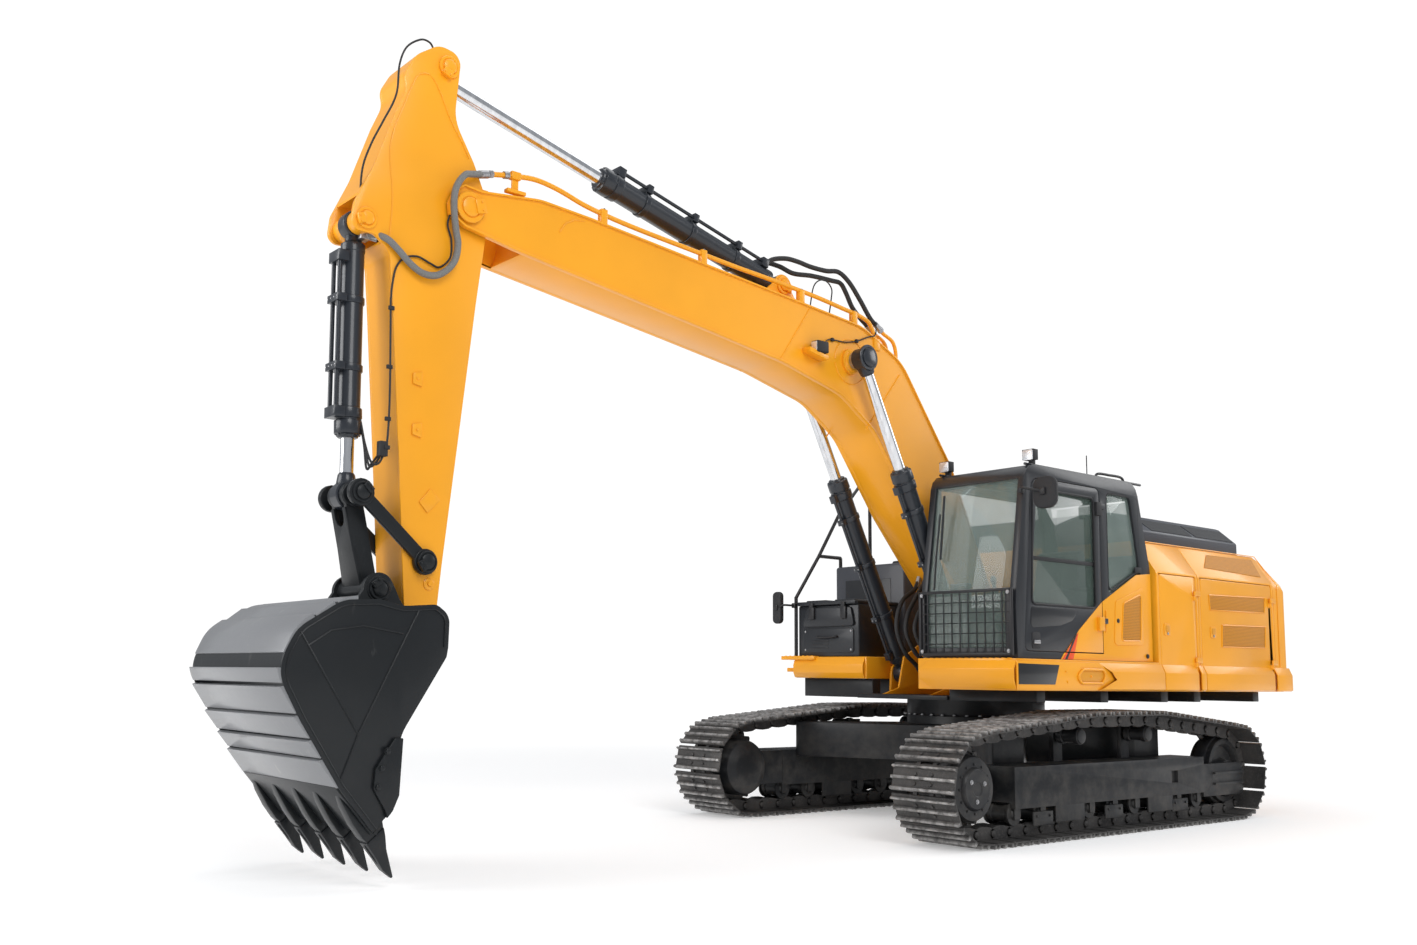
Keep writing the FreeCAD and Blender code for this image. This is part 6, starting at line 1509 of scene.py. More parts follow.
        elbow = flowing([end + step * 0.05, end + step * 0.10, (end.x - 0.20, y, end.z - 0.10),
                         (seat_x, y, end.z - 0.19), (seat_x, y, seat_z - 0.01)])
        tube("crowd_elbow_" + side, elbow, 0.017, YEL, "boom")
        rods("crowd_elbow_seat_" + side, (((seat_x, y, seat_z + 0.03), (seat_x, y, seat_z - 0.04), 0.030, 24),
                                          ), YEL,
             "boom")
    tube("sensor_loop_front", flowing([(2.47, 0.19, boom_top(2.47, 0.19)), (2.43, 0.195, 4.66),
                                       (2.36, 0.2, 4.735), (2.27, 0.2, 4.745), (2.205, 0.2, 4.69),
                                       (2.21, 0.2, 4.60), (2.23, 0.19, boom_top(2.23, 0.19))]), 0.006,
         "hose_rubber", "boom")


boom_fittings()


def arm_fittings():
    """Pins, lugs, weld lines, hoses and cables on the arm."""
    panel = ((0.458, 0.545), (0.10, 0.560), (-0.27, 0.620), (-0.615, 0.545), (-0.803, 0.489), (-0.852, 0.441),
             (-0.858, 0.378), (-0.784, 0.305), (-0.605, 0.191), (-0.474, 0.082), (-0.379, 0.014))
    for sign, side in SIDES:
        bead("arm_panel_weld_" + side, [(q.x, sign * 0.191, q.y)
                                        for q in flowing([on_arm(*c) for c in panel], 6)],
             YEL, "arm", 0.005)
        pin_end("crowd_pin_" + side, CROWD_PIN, sign * 0.190, sign, 0.050, "arm", YEL, -1.2, 1.6)
        pin_end("curl_foot_pin_" + side, CURL_FOOT, sign * 0.190, sign, 0.046, "arm", YEL, -0.3, 1.6)
        pin_end("arm_end_pin_" + side, TOE, sign * 0.243, sign, 0.048, "bucket", BLACK, 0.4, 1.6)
        for index, z in enumerate((3.252, 2.905)):
            x = 6.263 if index else 6.269
            plate(f"arm_lug_{index}_{side}", [(x - 0.035, z - 0.05), (x + 0.035, z - 0.035),
                                              (x + 0.035, z + 0.035), (x - 0.035, z + 0.05)], sign * 0.188,
                  sign * 0.206, YEL, "arm")
            bolts(f"arm_lug_bolt_{index}_{side}", [(x, sign * 0.206, z)], (0, sign, 0), 0.010, YEL, "arm")
        plate("arm_plate_" + side, [(6.228, 2.421), (6.145, 2.517), (6.068, 2.450), (6.162, 2.353)],
              sign * 0.188, sign * 0.200, YEL, "arm", 0.004)
    bm = bmesh.new()
    for sign in (1, -1):
        turned(bm, [(sign * a, r) for a, r in ((0.188, 0.040), (0.196, 0.040), (0.199, 0.034), (0.199, 0.016),
                                               (0.210, 0.014))], (6.133, 0, 1.878), 1, 28)
    solid("arm_grease_bosses", bm, YEL, "arm", smooth=34)
    crimp = rods("swing_hose_crimp_front", (((5.85, 0.232, 4.775), (5.775, 0.224, 4.797), 0.028, 24),), STEEL,
                 "boom")
    hose("swing_hose", [(6.622, 0.062, 4.200), (6.590, 0.150, 4.190), (6.530, 0.212, 4.155),
         (6.455, 0.226, 4.095), (6.368, 0.228, 4.022), (6.275, 0.230, 3.975), (6.178, 0.236, 3.975),
         (6.091, 0.242, 4.031), (6.032, 0.245, 4.117), (6.013, 0.245, 4.230), (6.032, 0.248, 4.321),
         (6.058, 0.258, 4.452), (6.076, 0.290, 4.557), (6.049, 0.290, 4.645), (5.990, 0.280, 4.722),
         (5.930, 0.262, 4.748), (5.870, 0.245, 4.768), (5.815, 0.230, 4.785)], 0.024,
         "braided_hose", None, ("arm", "boom"))
    bm = bmesh.new()
    rod(bm, (6.560, 0.132, 4.176), (6.625, 0.078, 4.205), 0.029, 24)
    block(bm, (6.600, 0.020, 4.165), (6.672, 0.105, 4.245))
    solid("swing_hose_crimp_rear", bm, STEEL, "bucket_cylinder_barrel", 0.004, smooth=34)
    hose("swing_cable", [(6.010, 0.255, 4.560), (6.079, 0.215, 4.390), (6.043, 0.205, 4.261),
                         (6.047, 0.203, 4.138), (6.128, 0.203, 4.053), (6.202, 0.203, 4.064),
                         (6.299, 0.203, 4.090), (6.393, 0.203, 4.062), (6.455, 0.200, 3.985),
                         (6.480, 0.199, 3.857), (6.485, 0.197, 3.765)], 0.007, "hose_rubber", None,
         ("boom", "arm"))
    line = flowing([(6.485, 0.195, 3.765), (6.478, 0.195, 3.50), (6.470, 0.195, 3.20), (6.470, 0.195, 2.95),
                    (6.478, 0.195, 2.77)])
    tube("arm_cable", line, 0.007, "hose_rubber", "arm")
    bm = bmesh.new()
    for z in (3.70, 3.30, 2.95, 2.76):
        block(bm, (6.458, 0.188, z - 0.014), (6.500, 0.206, z + 0.014))
    block(bm, (6.470, 0.150, 2.70), (6.530, 0.200, 2.80))
    solid("arm_cable_clips", bm, "moulded_black", "arm", 0.004)
    for k in range(3):
        hose(f"curl_hose_{k}", [(6.478, 0.175 - 0.03 * k, 2.745), (6.510 + 0.015 * k, 0.155 - 0.02 * k, 2.66),
             (6.550 + 0.012 * k, 0.125 - 0.01 * k, 2.66 - 0.02 * k), (6.580, 0.085 - 0.008 * k, 2.78),
             (6.606, 0.062 - 0.008 * k, 2.93 + 0.015 * k)], 0.008, "hose_rubber", "arm")
    hose("arm_top_cable", [(6.160, 0.110, 5.575), (6.205, 0.16, 5.618), (6.254, 0.19, 5.637),
                           (6.329, 0.2, 5.626), (6.430, 0.2, 5.540), (6.480, 0.2, 5.402), (6.490, 0.2, 5.225),
                           (6.520, 0.2, 5.114), (6.590, 0.2, 4.962), (6.670, 0.19, 4.777),
                           (6.710, 0.16, 4.600), (6.690, 0.105, 4.365)], 0.007,
         "hose_rubber", "arm")


arm_fittings()

# ------------------------------------------------------------------ house, decks and cab


def boxes(name, corners, finish, body, width=0.004, steps=2):
    """Several rounded boxes as one piece."""
    bm = bmesh.new()
    for low, high in corners:
        block(bm, [min(a, b) for a, b in zip(low, high)], [max(a, b) for a, b in zip(low, high)])
    return solid(name, bm, finish, body, width, steps)


def skirt(name, rows, back, body, finish=YEL, thick=0.012, axis=0):
    """A folded edge panel: rows of (out, height, start) carried back to an end; axis is its run."""
    bm = bmesh.new()
    sign = 1 if rows[0][0] > 0 else -1
    rings = []
    for end in (0, 1):
        outer = [(r[2] if not end else back, r[0], r[1]) for r in rows]
        inner = [(q[0], q[1] - sign * thick, q[2]) for q in outer][::-1]
        rings.append([bm.verts.new(q if axis == 0 else (q[1], q[0], q[2])) for q in outer + inner])
    skin(bm, rings)
    return solid(name, bm, finish, body, 0.003, 2, 20, smooth=30)


def house_skirts():
    """Folded panels under the doors and decks, the step and the treads."""

    def rows(sign, start, slant=False):
        shift = (0.30, 0.13, 0.055, 0.29, 0.33) if slant else (start,) * 5
        return [(sign * y, z, x) for (y, z), x in zip(((1.497, 1.452), (1.530, 1.375), (1.530, 1.306),
                                                       (1.530, 1.226), (1.512, 1.214)), shift)]
    skirt("skirt_deck_left", rows(1, 0, True), -0.740, HOUSE)
    skirt("skirt_door_front", rows(1, -0.752), -1.345, "left_door_front")
    skirt("skirt_post_left", rows(1, -1.400), -1.486, HOUSE)
    skirt("skirt_door_rear", rows(1, -1.496), -2.855, "left_door_rear")
    skirt("skirt_rear_left", rows(1, -2.912), -3.235, HOUSE)
    skirt("skirt_post_right", rows(-1, -1.448), -1.486, HOUSE)
    skirt("skirt_door_right", rows(-1, -1.496), -2.855, "right_door")
    skirt("skirt_rear_right", rows(-1, -2.912), -3.235, HOUSE)
    skirt("fascia_left", [(1.492, 1.455, 0.640), (1.524, 1.385, 0.556), (1.524, 1.300, 0.556),
                          (1.500, 1.222, 0.660)],
          1.500, HOUSE, axis=1)
    skirt("fascia_right", [(0.962, 1.496, -0.540), (0.996, 1.420, -0.540), (0.996, 1.345, -0.540),
                           (0.972, 1.294, -0.540)], -1.455, HOUSE, axis=1)
    plate("deck_side_left", [(1.488, 1.452), (0.30, 1.452), (0.13, 1.375), (0.06, 1.306), (0.29, 1.217),
                             (1.488, 1.217)], 1.494, 1.508, YEL, HOUSE)
    plate("deck_plate_blank", [(1.470, 1.430), (0.900, 1.424), (0.965, 1.262), (1.470, 1.262)], 1.508, 1.513,
          "blank_plate", HOUSE, 0.002)
    loop = [(0.640, 1.335), (0.560, 1.392), (0.24, 1.392), (0.215, 1.335), (0.27, 1.275), (0.590, 1.275)]
    # painted shade: the step recess is laid in the darker yellow
    plate("deck_step_recess", loop, 1.507, 1.511, "yellow_painted_shade", HOUSE, 0.001)
    ring = curved([q + (0.05,) for q in loop], 15)
    tube("deck_step_loop", [(x, 1.516, z) for x, z in ring + ring[:2]], 0.011, YEL, HOUSE)
    bolts("deck_step_bolts", [(0.80, 1.508, 1.372), (0.78, 1.508, 1.285), (0.43, 1.511, 1.334)], (0, 1, 0),
          0.011, YEL, HOUSE)
    boxes("right_entry_tread", [((0.45, -1.62, 1.470), (1.0, -1.17, 1.508)),
                                        ((0.62, -1.50, 1.39), (0.66, -1.47, 1.46)),
                                        ((0.90, -1.50, 1.39), (0.94, -1.47, 1.46))], YEL, HOUSE)
    studs = [(x / 100, y / 100, 1.508) for x in range(48, 100, 6) for y in range(-159, -118, 6)]
    spots = [(x / 100, y / 100, 1.5) for x in range(-50, 30, 6) for y in (-56, -54)]
    spots += [(x / 100, y / 100, 1.47) for x in range(144, 148, 3) for y in range(58, 146, 6)]
    for name, places in (("right_tread_studs", studs), ("deck_studs", spots)):
        bm = bmesh.new()
        turned(bm, ((0, 0.014), (0.005, 0.009)), (0, 0, 0), 2, 10)
        repeat(name, as_mesh("stud", bm), [(Vector(q), Matrix.Identity(3)) for q in places], YEL, HOUSE)


def shoulder(x, z):
    """A point on the slanted shoulder of the engine house."""
    return (x, 1.4985 - 0.65 * (z - 2.30), z)


def house_details():
    """Grilles, latches, counterweight, reflectors, hood meshes, tank caps and walkways."""
    bm = bmesh.new()
    outline = [(-1.70, 2.40), (-1.93, 2.545), (-2.86, 2.555), (-2.80, 2.372)]
    rings = [[bm.verts.new(Vector(shoulder(*q)) + Vector((0, 0.545, 0.838)) * lift) for q in outline]
             for lift in (-0.006, 0.004)]
    skin(bm, rings)
    add("shoulder_grille", as_mesh("grille", bm), "grille_yellow_shaded", HOUSE)
    for name, outline in (("upper", [(-1.640, 2.131), (-2.759, 2.155), (-2.745, 2.002), (-1.659, 1.990)]),
                          ("lower", [(-1.879, 1.851), (-2.753, 1.861), (-2.734, 1.649), (-1.862, 1.640)])):
        for sign, start, body in ((1, "door", "left_door_rear"), (-1, "right", "right_door")):
            plate(f"{start}_grille_{name}", outline, sign * 1.492, sign * 1.498, "grille_yellow_shaded", body, 0.001)
            bead(f"{start}_grille_frame_{name}", ringed([at(q, sign * 1.498) for q in outline]), YEL, body,
                 0.006)
    for name, x, sign, body in (("front", -0.857, 1, "left_door_front"),
                                ("rear", -1.700, 1, "left_door_rear"), ("right", -1.700, -1, "right_door")):
        plate("latch_" + name, framed(x - 0.055, x + 0.055, 1.72, 1.83, 0.02), sign * 1.494, sign * 1.502,
              YEL, body)
        # painted shade: the latch pull is laid in the darker yellow
        plate("latch_pull_" + name, framed(x - 0.030, x + 0.030, 1.755, 1.812, 0.012),
              sign * 1.500, sign * 1.507, "yellow_painted_shade", body)
        turned_piece("latch_key_" + name, [(sign * a, r) for a,
                                           r in ((0, 0.012), (0.006, 0.012), (0.008, 0.009))],
                     (x, sign * 1.502, 1.738), STEEL, body, 1, 20)
    for y in (1, -1):
        bead(f"tail_crease_{y}", [(-3.040, y * 1.28, 2.606), (-3.04, y * 1.497, 2.30),
                                  (-3.04, y * 1.499, 1.46)], YEL,
             HOUSE, 0.004)
        bead(f"shoulder_fold_{y}", [(-0.71, y * 1.30, 2.604), (-3.0, y * 1.30, 2.604)], YEL, HOUSE, 0.005)
    bm = bmesh.new()
    levels = ((1.210, 0.030), (1.235, 0.0), (2.240, 0.0), (2.300, 0.020), (2.560, 0.180), (2.595, 0.215),
              (2.600, 0.250))
    rings = []
    for z, inset in levels:
        half = curved([(-2.955, -1.495), (-3.24, -1.492, 0.12), (-3.365, -1.20, 0.35), (-3.40, -0.30, 2.0),
                       (-3.40, 0.30, 2.0), (-3.365, 1.20, 0.35), (-3.24, 1.492, 0.12), (-2.955, 1.495)], 6,
                      False)
        rings.append([bm.verts.new((min(x + inset * (0.9 if x < -2.96 else 0), -2.955),
                                    y * (1 - inset / 1.495), z))
                      for x, y in half])
    skin(bm, rings)
    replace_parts(solid("counterweight_body", bm, YEL, HOUSE, smooth=25), "counterweight")
    for z in (1.42, 2.24):
        bead(f"tail_line_{round(z * 100)}", [(-3.398, 0.9, z), (-3.401, 0.3, z), (-3.401, -0.3, z),
                                             (-3.398, -0.9, z)],
             YEL, HOUSE, 0.004)
    bolts("tail_bolts", [(-3.399, y, z) for y in (-0.32, 0.32) for z in (1.62, 2.10)], (-1, 0, 0), 0.030, YEL,
          HOUSE)
    for sign, side in SIDES:
        plate("tail_reflector_" + side, [(sign * 0.75, 1.30), (sign * 1.05, 1.30), (sign * 1.05, 1.36),
                                         (sign * 0.75, 1.36)], -3.405, -3.36, "flame_red", HOUSE, 0.003, 0)
    # painted shade: a black box standing for the shade in the gap between the cab and the engine house
    boxes("cab_rear_filler", [((-0.70, 0.60, 1.50), (-0.662, 1.40, 2.42))], "rail_black", HOUSE)
    for sign, side in SIDES:
        bm = bmesh.new()
        face = Vector((0, sign * 0.669, 0.743))
        for start, end in ((-2.06, -1.30), (-2.90, -2.14)):
            rings = [[bm.verts.new(Vector((x, sign * y, z)) + face * lift) for x, y, z in
                      ((start, 1.132, 2.756), (end, 1.132, 2.756), (end + 0.05, 1.000, 2.875),
                       (start, 1.000, 2.875))]
                     for lift in (-0.004, 0.005)]
            skin(bm, rings)
        add("hood_mesh_" + side, as_mesh("hood_mesh", bm), "grille_grey", "engine_hood")
    boxes("hood_ribs", [((-2.75, y - 0.03, 2.915), (-1.10, y + 0.03, 2.930)) for y in (-0.70, 0, 0.70)],
          "hood_grey", "engine_hood", 0.006)
    boxes("hood_handle", [((-2.955, -0.10, 2.66), (-2.975, 0.10, 2.69))], "rail_black", "engine_hood")
    # tank caps, straps and steps on the right
    bm = bmesh.new()
    turned(bm, ((0, 0.075), (0.035, 0.075), (0.045, 0.06), (0.060, 0.055), (0.066, 0.045)),
           (-0.10, -1.0, 2.448), 2, 28)
    turned(bm, ((0, 0.065), (0.03, 0.065), (0.04, 0.05), (0.055, 0.045)), (-1.05, -1.0, 2.558), 2, 28)
    solid("tank_caps", bm, "rail_black", HOUSE, smooth=34)
    boxes("tank_details", [((-0.52, -1.493, 1.55), (-0.44, -1.486, 2.38)),
                           ((0.10, -1.493, 1.55), (0.18, -1.486, 2.38)),
                           ((-1.33, -1.493, 1.60), (-0.74, -1.486, 2.40)),
                           ((0.318, -1.35, 1.60), (0.325, -0.75, 2.30))], "charcoal_enamel", HOUSE)
    boxes("walkway", [((-0.55, -1.40, 2.449), (0.25, -1.14, 2.456)),
                      ((-1.40, -1.42, 2.559), (-1.15, -0.70, 2.566)),
                      ((-2.85, -1.27, 2.599), (-0.75, -1.18, 2.606))], "rail_black", HOUSE, 0.002)


house_skirts()
house_details()


def storage_details():
    """Panels, latches, handle and vents of the storage box."""
    grey, body, face = "charcoal_enamel", HOUSE, 0.930

    def front(name, outline, out):
        plate(name, curved([q + (0.03,) for q in outline], 20), face - 0.004, face + out, grey, body, 0.004,
              0)

    front("storage_upper_panel", [(-1.36, 1.80), (-1.30, 1.985), (-0.72, 1.985), (-0.68, 1.80)], 0.030)
    front("storage_lower_panel", [(-1.36, 1.54), (-1.36, 1.78), (-0.70, 1.78), (-0.70, 1.54)], 0.014)
    boxes("storage_lid_edge", [((0.945, -1.43, 2.012), (0.968, -0.65, 2.050)),
                               ((0.50, -1.36, 2.048), (0.90, -1.10, 2.066)),
                               ((0.50, -0.98, 2.048), (0.90, -0.72, 2.066))], grey, "storage_lid", 0.008, 3)
    boxes("storage_latches", [((0.955, y - 0.035, 1.87), (0.982, y + 0.035, 1.99)) for y in (-1.22, -0.80)],
          "rail_black", body, 0.006)
    boxes("storage_latch_hooks", [((0.966, y - 0.025, 1.985), (0.985, y + 0.025, 2.035))
                                  for y in (-1.22, -0.80)],
          "rail_black", "storage_lid", 0.005)
    tube("storage_handle", flowing([(0.940, -1.16, 1.70), (0.978, -1.14, 1.695), (0.982, -1.03, 1.69),
                                    (0.978, -0.92, 1.695), (0.940, -0.90, 1.70)]), 0.010, "rail_black", body)
    boxes("storage_vents", [((0.940, -1.24, 1.58 + k * 0.035), (0.948, -1.02, 1.592 + k * 0.035))
                            for k in range(3)],
          "rail_black", body, 0.002)
    bolts("storage_bolts", [(0.944, y, z) for y in (-1.33, -0.73) for z in (1.57, 1.75)], (1, 0, 0), 0.010,
          STEEL, body)


storage_details()


def cab_details():
    """Painted panels, intake, door, roof, windscreen and mirrors of the cab."""
    side = 1.4595
    house_yellow = [(-0.656, 1.474), (0.798, 1.474), (0.745, 1.530), (0.144, 1.530), (0.144, 1.987),
                    (-0.418, 2.254), (-0.656, 2.276)]
    plate("cab_side_yellow", house_yellow, side - 0.004, side + 0.004, YEL, HOUSE, 0.001)
    plate("cab_door_yellow", [(0.156, 1.540), (0.716, 1.540), (0.518, 1.727), (0.156, 1.981)], side - 0.004,
          side + 0.004, YEL, "cab_door", 0.001)
    for name, outline, owner in (
            ("wide_door", [(0.660, 1.540), (0.552, 1.692), (0.530, 1.706), (0.592, 1.540)], "cab_door"),
            ("wide_sill", [(0.706, 1.474), (0.667, 1.530), (0.596, 1.530), (0.622, 1.474)], HOUSE),
            ("thin_door", [(0.714, 1.540), (0.640, 1.612), (0.690, 1.540)], "cab_door"),
            ("thin_sill", [(0.780, 1.474), (0.726, 1.530), (0.700, 1.530), (0.744, 1.474)], HOUSE)):
        plate("cab_stripe_" + name, outline, side + 0.003, side + 0.006, "flame_red", owner, 0.0003)
    for name, outline, owner in (
            ("door", [(0.690, 1.540), (0.640, 1.612), (0.560, 1.690), (0.552, 1.692), (0.660, 1.540)],
             "cab_door"),
            ("sill", [(0.744, 1.474), (0.700, 1.530), (0.667, 1.530), (0.706, 1.474)], HOUSE)):
        plate("cab_stripe_gap_" + name, outline, side + 0.003, side + 0.0055, "charcoal_enamel", owner,
              0.0003)
    # air intake panel with its mesh and rim
    outer = [(-0.055, 2.000), (-0.530, 2.151), (-0.500, 1.624), (-0.020, 1.612)]
    plate("intake_panel", curved([q + (0.04,) for q in outer], 20), side + 0.003, side + 0.010, YEL, HOUSE)
    inner = [(-0.175, 1.985), (-0.476, 2.083), (-0.449, 1.659), (-0.135, 1.651)]
    plate("intake_mesh", curved([q + (0.03,) for q in inner], 20), side + 0.009, side + 0.012, "grille_yellow_shaded",
          HOUSE, 0.001)
    ring = curved([q + (0.03,) for q in inner], 20)
    bead("intake_rim", [at(q, side + 0.012) for q in ringed(ring)], YEL, HOUSE, 0.006)
    for x, z in ((-0.085, 1.828), (-0.560, 1.523)):
        turned_piece(f"panel_lock_{round(-x * 1000)}",
                     ((0, 0.020), (0.008, 0.020), (0.011, 0.015), (0.011, 0.006)), (x, side + 0.006, z),
                     "rail_black", HOUSE, 1)
    tube("cab_grab_handle", flowing([(0.105, side, 1.915), (0.105, side + 0.010, 1.90),
                                     (0.107, side + 0.010, 1.82), (0.110, side + 0.010, 1.735),
                                     (0.110, side, 1.72)]), 0.007, YEL, HOUSE)
    # door: window seal, mid rail, lower dark glass, handle, hinges
    hole = [(0.243, 1.925, 0.05), (1.190, 1.925, 0.05), (1.150, 2.893, 0.05), (0.243, 2.893, 0.05)]
    ring = curved(hole, 15)
    bead("door_window_seal", [at(q, side) for q in ringed(ring)], "moulded_black", "cab_door", 0.010)
    boxes("door_mid_rail", [((0.245, 1.430, 2.293), (1.180, 1.452, 2.325))], "moulded_black", "cab_door",
          0.004)
    low = [(1.205, 1.905), (0.500, 1.905), (0.620, 1.800), (0.790, 1.756), (1.220, 1.726)]
    plate("door_lower_glass", curved([q + (0.04,) for q in low], 15), side - 0.002, side + 0.003,
          "blank_plate", "cab_door", 0.001)
    plate("door_handle_pocket", curved([(1.205, 1.690, 0.02), (1.090, 1.690, 0.02), (1.085, 1.555, 0.02),
                                        (1.205, 1.555, 0.02)], 20), side - 0.002, side + 0.006,
          "moulded_black", "cab_door")
    boxes("door_handle", [((1.105, side + 0.006, 1.595), (1.190, side + 0.020, 1.625))], STEEL, "cab_door",
          0.005)
    for k, z in enumerate((1.79, 2.80)):
        boxes(f"door_hinge_cover_{k}", [((0.158, side - 0.002, z - 0.060), (0.240, side + 0.034, z + 0.060))],
              "moulded_black" if k else YEL, "cab_door", 0.006)
    boxes("cab_side_latch", [((-0.50, side - 0.002, 2.275), (-0.39, side + 0.012, 2.325))], "moulded_black",
          HOUSE, 0.010)
    quarter = [(0.030, 2.960, 0.05), (-0.480, 2.960, 0.05), (-0.480, 2.300, 0.05), (0.030, 2.075, 0.05)]
    ring = curved(quarter, 15)
    bead("quarter_window_seal", [at(q, 1.452) for q in ringed(ring)], "moulded_black", HOUSE, 0.009)
    # roof: gutter rails, rear bar, aerial, lamp lenses
    for y in (0.56, 1.425):
        bead(f"roof_gutter_{round(y * 100)}", [(1.20, y, 3.098), (-0.60, y, 3.098)], "charcoal_enamel", HOUSE,
             0.012)
    tube("roof_rear_bar", flowing([(-0.02, 1.33, 3.09), (-0.05, 1.33, 3.155), (-0.25, 1.33, 3.165),
                                   (-0.45, 1.33, 3.160), (-0.48, 1.33, 3.09)]), 0.012, "rail_black", HOUSE)
    tube("aerial", [(-0.42, 1.0, 3.09), (-0.42, 1.0, 3.41)], 0.005, "rail_black", HOUSE)
    turned_piece("aerial_base", ((0, 0.024), (0.02, 0.022), (0.035, 0.010)), (-0.42, 1.0, 3.095),
                 "rail_black", HOUSE, steps=20)
    for k, (low, high) in enumerate(((0.500, 0.600), (1.360, 1.460))):
        plate(f"roof_lens_{k}", framed(low, high, 3.135, 3.225, 0.015), 1.126, 1.136, "lamp_lens", HOUSE,
              0.003, 0)
    # windscreen: wiper and guard frame, then the mirrors
    wiper = [(1.410, 0.64, 2.06), (1.400, 0.66, 2.35), (1.375, 0.69, 2.72)]
    tube("wiper_arm", wiper, 0.008, "rail_black", HOUSE)
    tube("wiper_blade", [(1.396, 0.70, 2.32), (1.352, 0.72, 2.88)], 0.010, "moulded_black", HOUSE)
    frame_bars = [((1.436, 0.515, 2.020), (1.462, 1.445, 2.045)),
                  ((1.436, 0.515, 1.492), (1.462, 1.445, 1.517)),
                  ((1.436, 0.508, 1.492), (1.462, 0.533, 2.045)),
                  ((1.436, 1.427, 1.492), (1.462, 1.452, 2.045)),
                  ((1.436, 1.375, 1.510), (1.446, 1.430, 2.030)),
                  ((1.436, 0.530, 1.510), (1.446, 0.560, 2.030))]
    boxes("guard_frame", frame_bars, "rail_black", HOUSE, 0.005)
    bolts("guard_bolts", [(1.462, y, z) for y in (0.545, 1.415) for z in (1.53, 2.01)], (1, 0, 0), 0.014,
          STEEL, HOUSE)
    heads = []
    for name, x, low, high in (("left", 1.250, (1.565, 2.690), (1.775, 2.955)),
                               ("right", 1.040, (-1.655, 1.835), (-1.535, 2.160))):
        round_off = 0.075 if name == "left" else 0.045
        outline = framed(low[0], high[0], low[1], high[1], round_off, 12)
        heads.append(plate("mirror_head_" + name, outline, x, x + 0.055, "moulded_black", HOUSE, 0.018, 0))
        plate("mirror_face_" + name, offset(outline, -0.014, True), x - 0.004, x + 0.004, "mirror_glass",
              HOUSE, 0.001, 0)
    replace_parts(heads[0], "mirrors")
    tube("mirror_arm_left", flowing([(1.30, 1.455, 2.86), (1.33, 1.50, 2.87), (1.325, 1.58, 2.85),
                                     (1.300, 1.66, 2.83)]),
         0.012, "rail_black", HOUSE)
    tube("mirror_arm_right", flowing([(0.955, -1.465, 2.02), (1.02, -1.47, 2.02), (1.09, -1.50, 2.02),
                                      (1.085, -1.59, 2.00)]), 0.011, "rail_black", HOUSE)
    boxes("mirror_clamps", [((1.275, 1.440, 2.835), (1.325, 1.475, 2.885)),
                            ((0.935, -1.49, 1.995), (0.985, -1.44, 2.045)),
                            ((1.295, 1.64, 2.80), (1.325, 1.69, 2.86)),
                            ((1.085, -1.61, 1.97), (1.11, -1.57, 2.03))],
          "rail_black", HOUSE, 0.008)


cab_details()


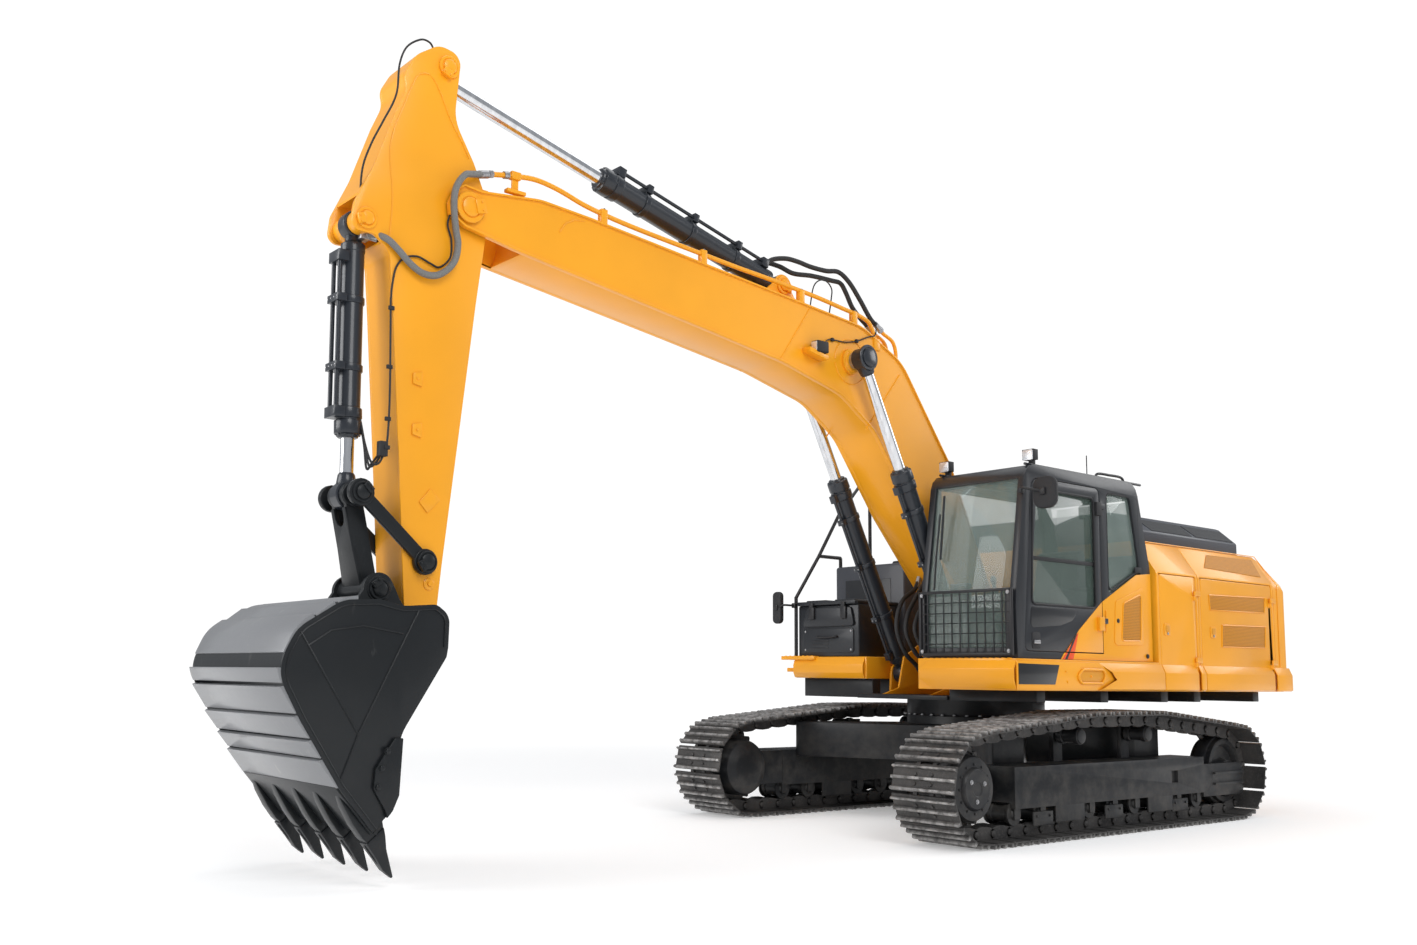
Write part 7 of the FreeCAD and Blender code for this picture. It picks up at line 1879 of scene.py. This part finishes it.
def interior():
    """Padded seat, levers on the consoles, travel pedals and a monitor."""
    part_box("operator_seat")  # stops here if the frame has no such seat
    bm = bmesh.new()
    prism(bm, curved([(0.06, 1.825, 0.03), (0.54, 1.845, 0.05), (0.56, 1.93, 0.05), (0.50, 1.965, 0.06),
                      (0.20, 1.935, 0.08), (0.12, 2.02, 0.04), (0.06, 2.10, 0.03)], 12), 0.745, 1.215)
    prism(bm, curved([(0.05, 1.90, 0.03), (0.15, 1.95, 0.04), (0.11, 2.20, 0.2), (0.06, 2.46, 0.05),
                      (-0.03, 2.475, 0.05), (-0.045, 2.20, 0.2), (-0.02, 1.95, 0.04)], 12), 0.765, 1.195)
    seat = as_mesh("seat", bm)
    work = bpy.data.objects.new("seat_work", seat)
    bpy.context.scene.collection.objects.link(work)
    shape = work.modifiers.new("even", "REMESH")
    shape.mode, shape.voxel_size = "VOXEL", 0.008
    soft = work.modifiers.new("soft", "SMOOTH")
    soft.factor, soft.iterations = 0.5, 10
    mesh = evaluated(work)
    bpy.data.objects.remove(work)
    cushion = add("seat_cushions", mesh, "seat_cloth", HOUSE, smooth=60)
    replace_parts(cushion, "operator_seat")
    for y in (0.65, 1.31):
        sign = 1 if y > 1 else -1
        bm = bmesh.new()
        rod(bm, (0.55, y, 2.07), (0.585, y, 2.23), 0.018, 20,
            ((0, 0.034), (0.25, 0.026), (0.5, 0.014), (0.55, 0.022),
                                                             (0.8, 0.028), (1, 0.018)))
        solid(f"joystick_{sign}", bm, "moulded_black", HOUSE, smooth=40)
        boxes(f"armrest_{sign}", [((0.06, y - 0.05, 2.075), (0.42, y + 0.05, 2.115))], "moulded_black", HOUSE,
              0.018, 3)
    bm = bmesh.new()
    for y in (0.90, 1.06):
        rod(bm, (0.98, y, 1.52), (0.93, y, 1.90), 0.011, 16)
        rod(bm, (0.93, y, 1.90), (0.92, y, 2.00), 0.018, 16)
        block(bm, (0.95, y - 0.04, 1.52), (1.10, y + 0.04, 1.545))
    solid("travel_levers", bm, "rail_black", HOUSE, smooth=40)
    boxes("monitor", [((1.10, 0.60, 1.98), (1.14, 0.80, 2.13)), ((1.11, 0.68, 1.54), (1.14, 0.72, 1.98))],
          "moulded_black", HOUSE, 0.008, 3)


interior()


def foot_hoses():
    """Three hoses from the boom's belly down to the frame between the lift cylinders."""
    for k, y in enumerate((-0.12, 0.0, 0.12)):
        x = 0.66 + 0.03 * k
        z = BOOM_TREE.ray_cast(Vector((x, y, 1.2)), Vector((0, 0, 1)))[0].z
        end = Vector((0.66 - 0.05 * k, y + 0.02, 1.30))
        rods(f"belly_port_{k}", (((x, y, z + 0.01), (x + 0.02, y, z - 0.05), 0.026, 6),
                                 ((x + 0.02, y, z - 0.05), (x + 0.04, y, z - 0.09), 0.024, 20)), STEEL,
             "boom", 20)
        nut = rods(f"foot_hose_nut_{k}", (
            (end + Vector((0.045, 0, 0.11)), end + Vector((0.005, 0, 0.045)), 0.026, 20),
            (end + Vector((0.005, 0, 0.05)), end, 0.030, 6), (end, end - Vector((0, 0, 0.035)), 0.020, 20)),
                   STEEL, HOUSE, 20)
        hose(f"foot_hose_{k}", [(x + 0.02, y, z - 0.04), (x + 0.08, y, z - 0.12), (0.90, y, 2.03 - 0.03 * k),
                                (0.985, y, 1.88), (1.00 + 0.02 * k, y + 0.01, 1.72), (0.90, end.y, 1.53),
                                (end.x + 0.10, end.y, 1.43), (end.x + 0.02, end.y, 1.35)], 0.021,
             "hose_rubber", None, ("boom", HOUSE))


foot_hoses()


def undercarriage_details():
    """Ring of bolts at the swing bearing, and bolted roller guards on the track frames."""
    body = UNDER
    bolts("bearing_bolts", ring_places((0, 0, 0.958), 0.66, 36, 2), (0, 0, 1), 0.016, STEEL, body)
    for sign, side in SIDES:
        y = sign * GAUGE
        for k, x in enumerate((-1.05, 0.05, 1.10)):
            boxes(f"roller_guard_{side}_{k}", [((x - 0.14, y + sign * 0.150, 0.12),
                                                (x + 0.14, y + sign * 0.166, 0.235))],
                  DULL, body, 0.010)
            bolts(f"guard_bolt_{side}_{k}", [(x + dx, y + sign * 0.166, 0.20) for dx in (-0.09, 0.09)],
                  (0, sign, 0), 0.012, DULL, body)


undercarriage_details()
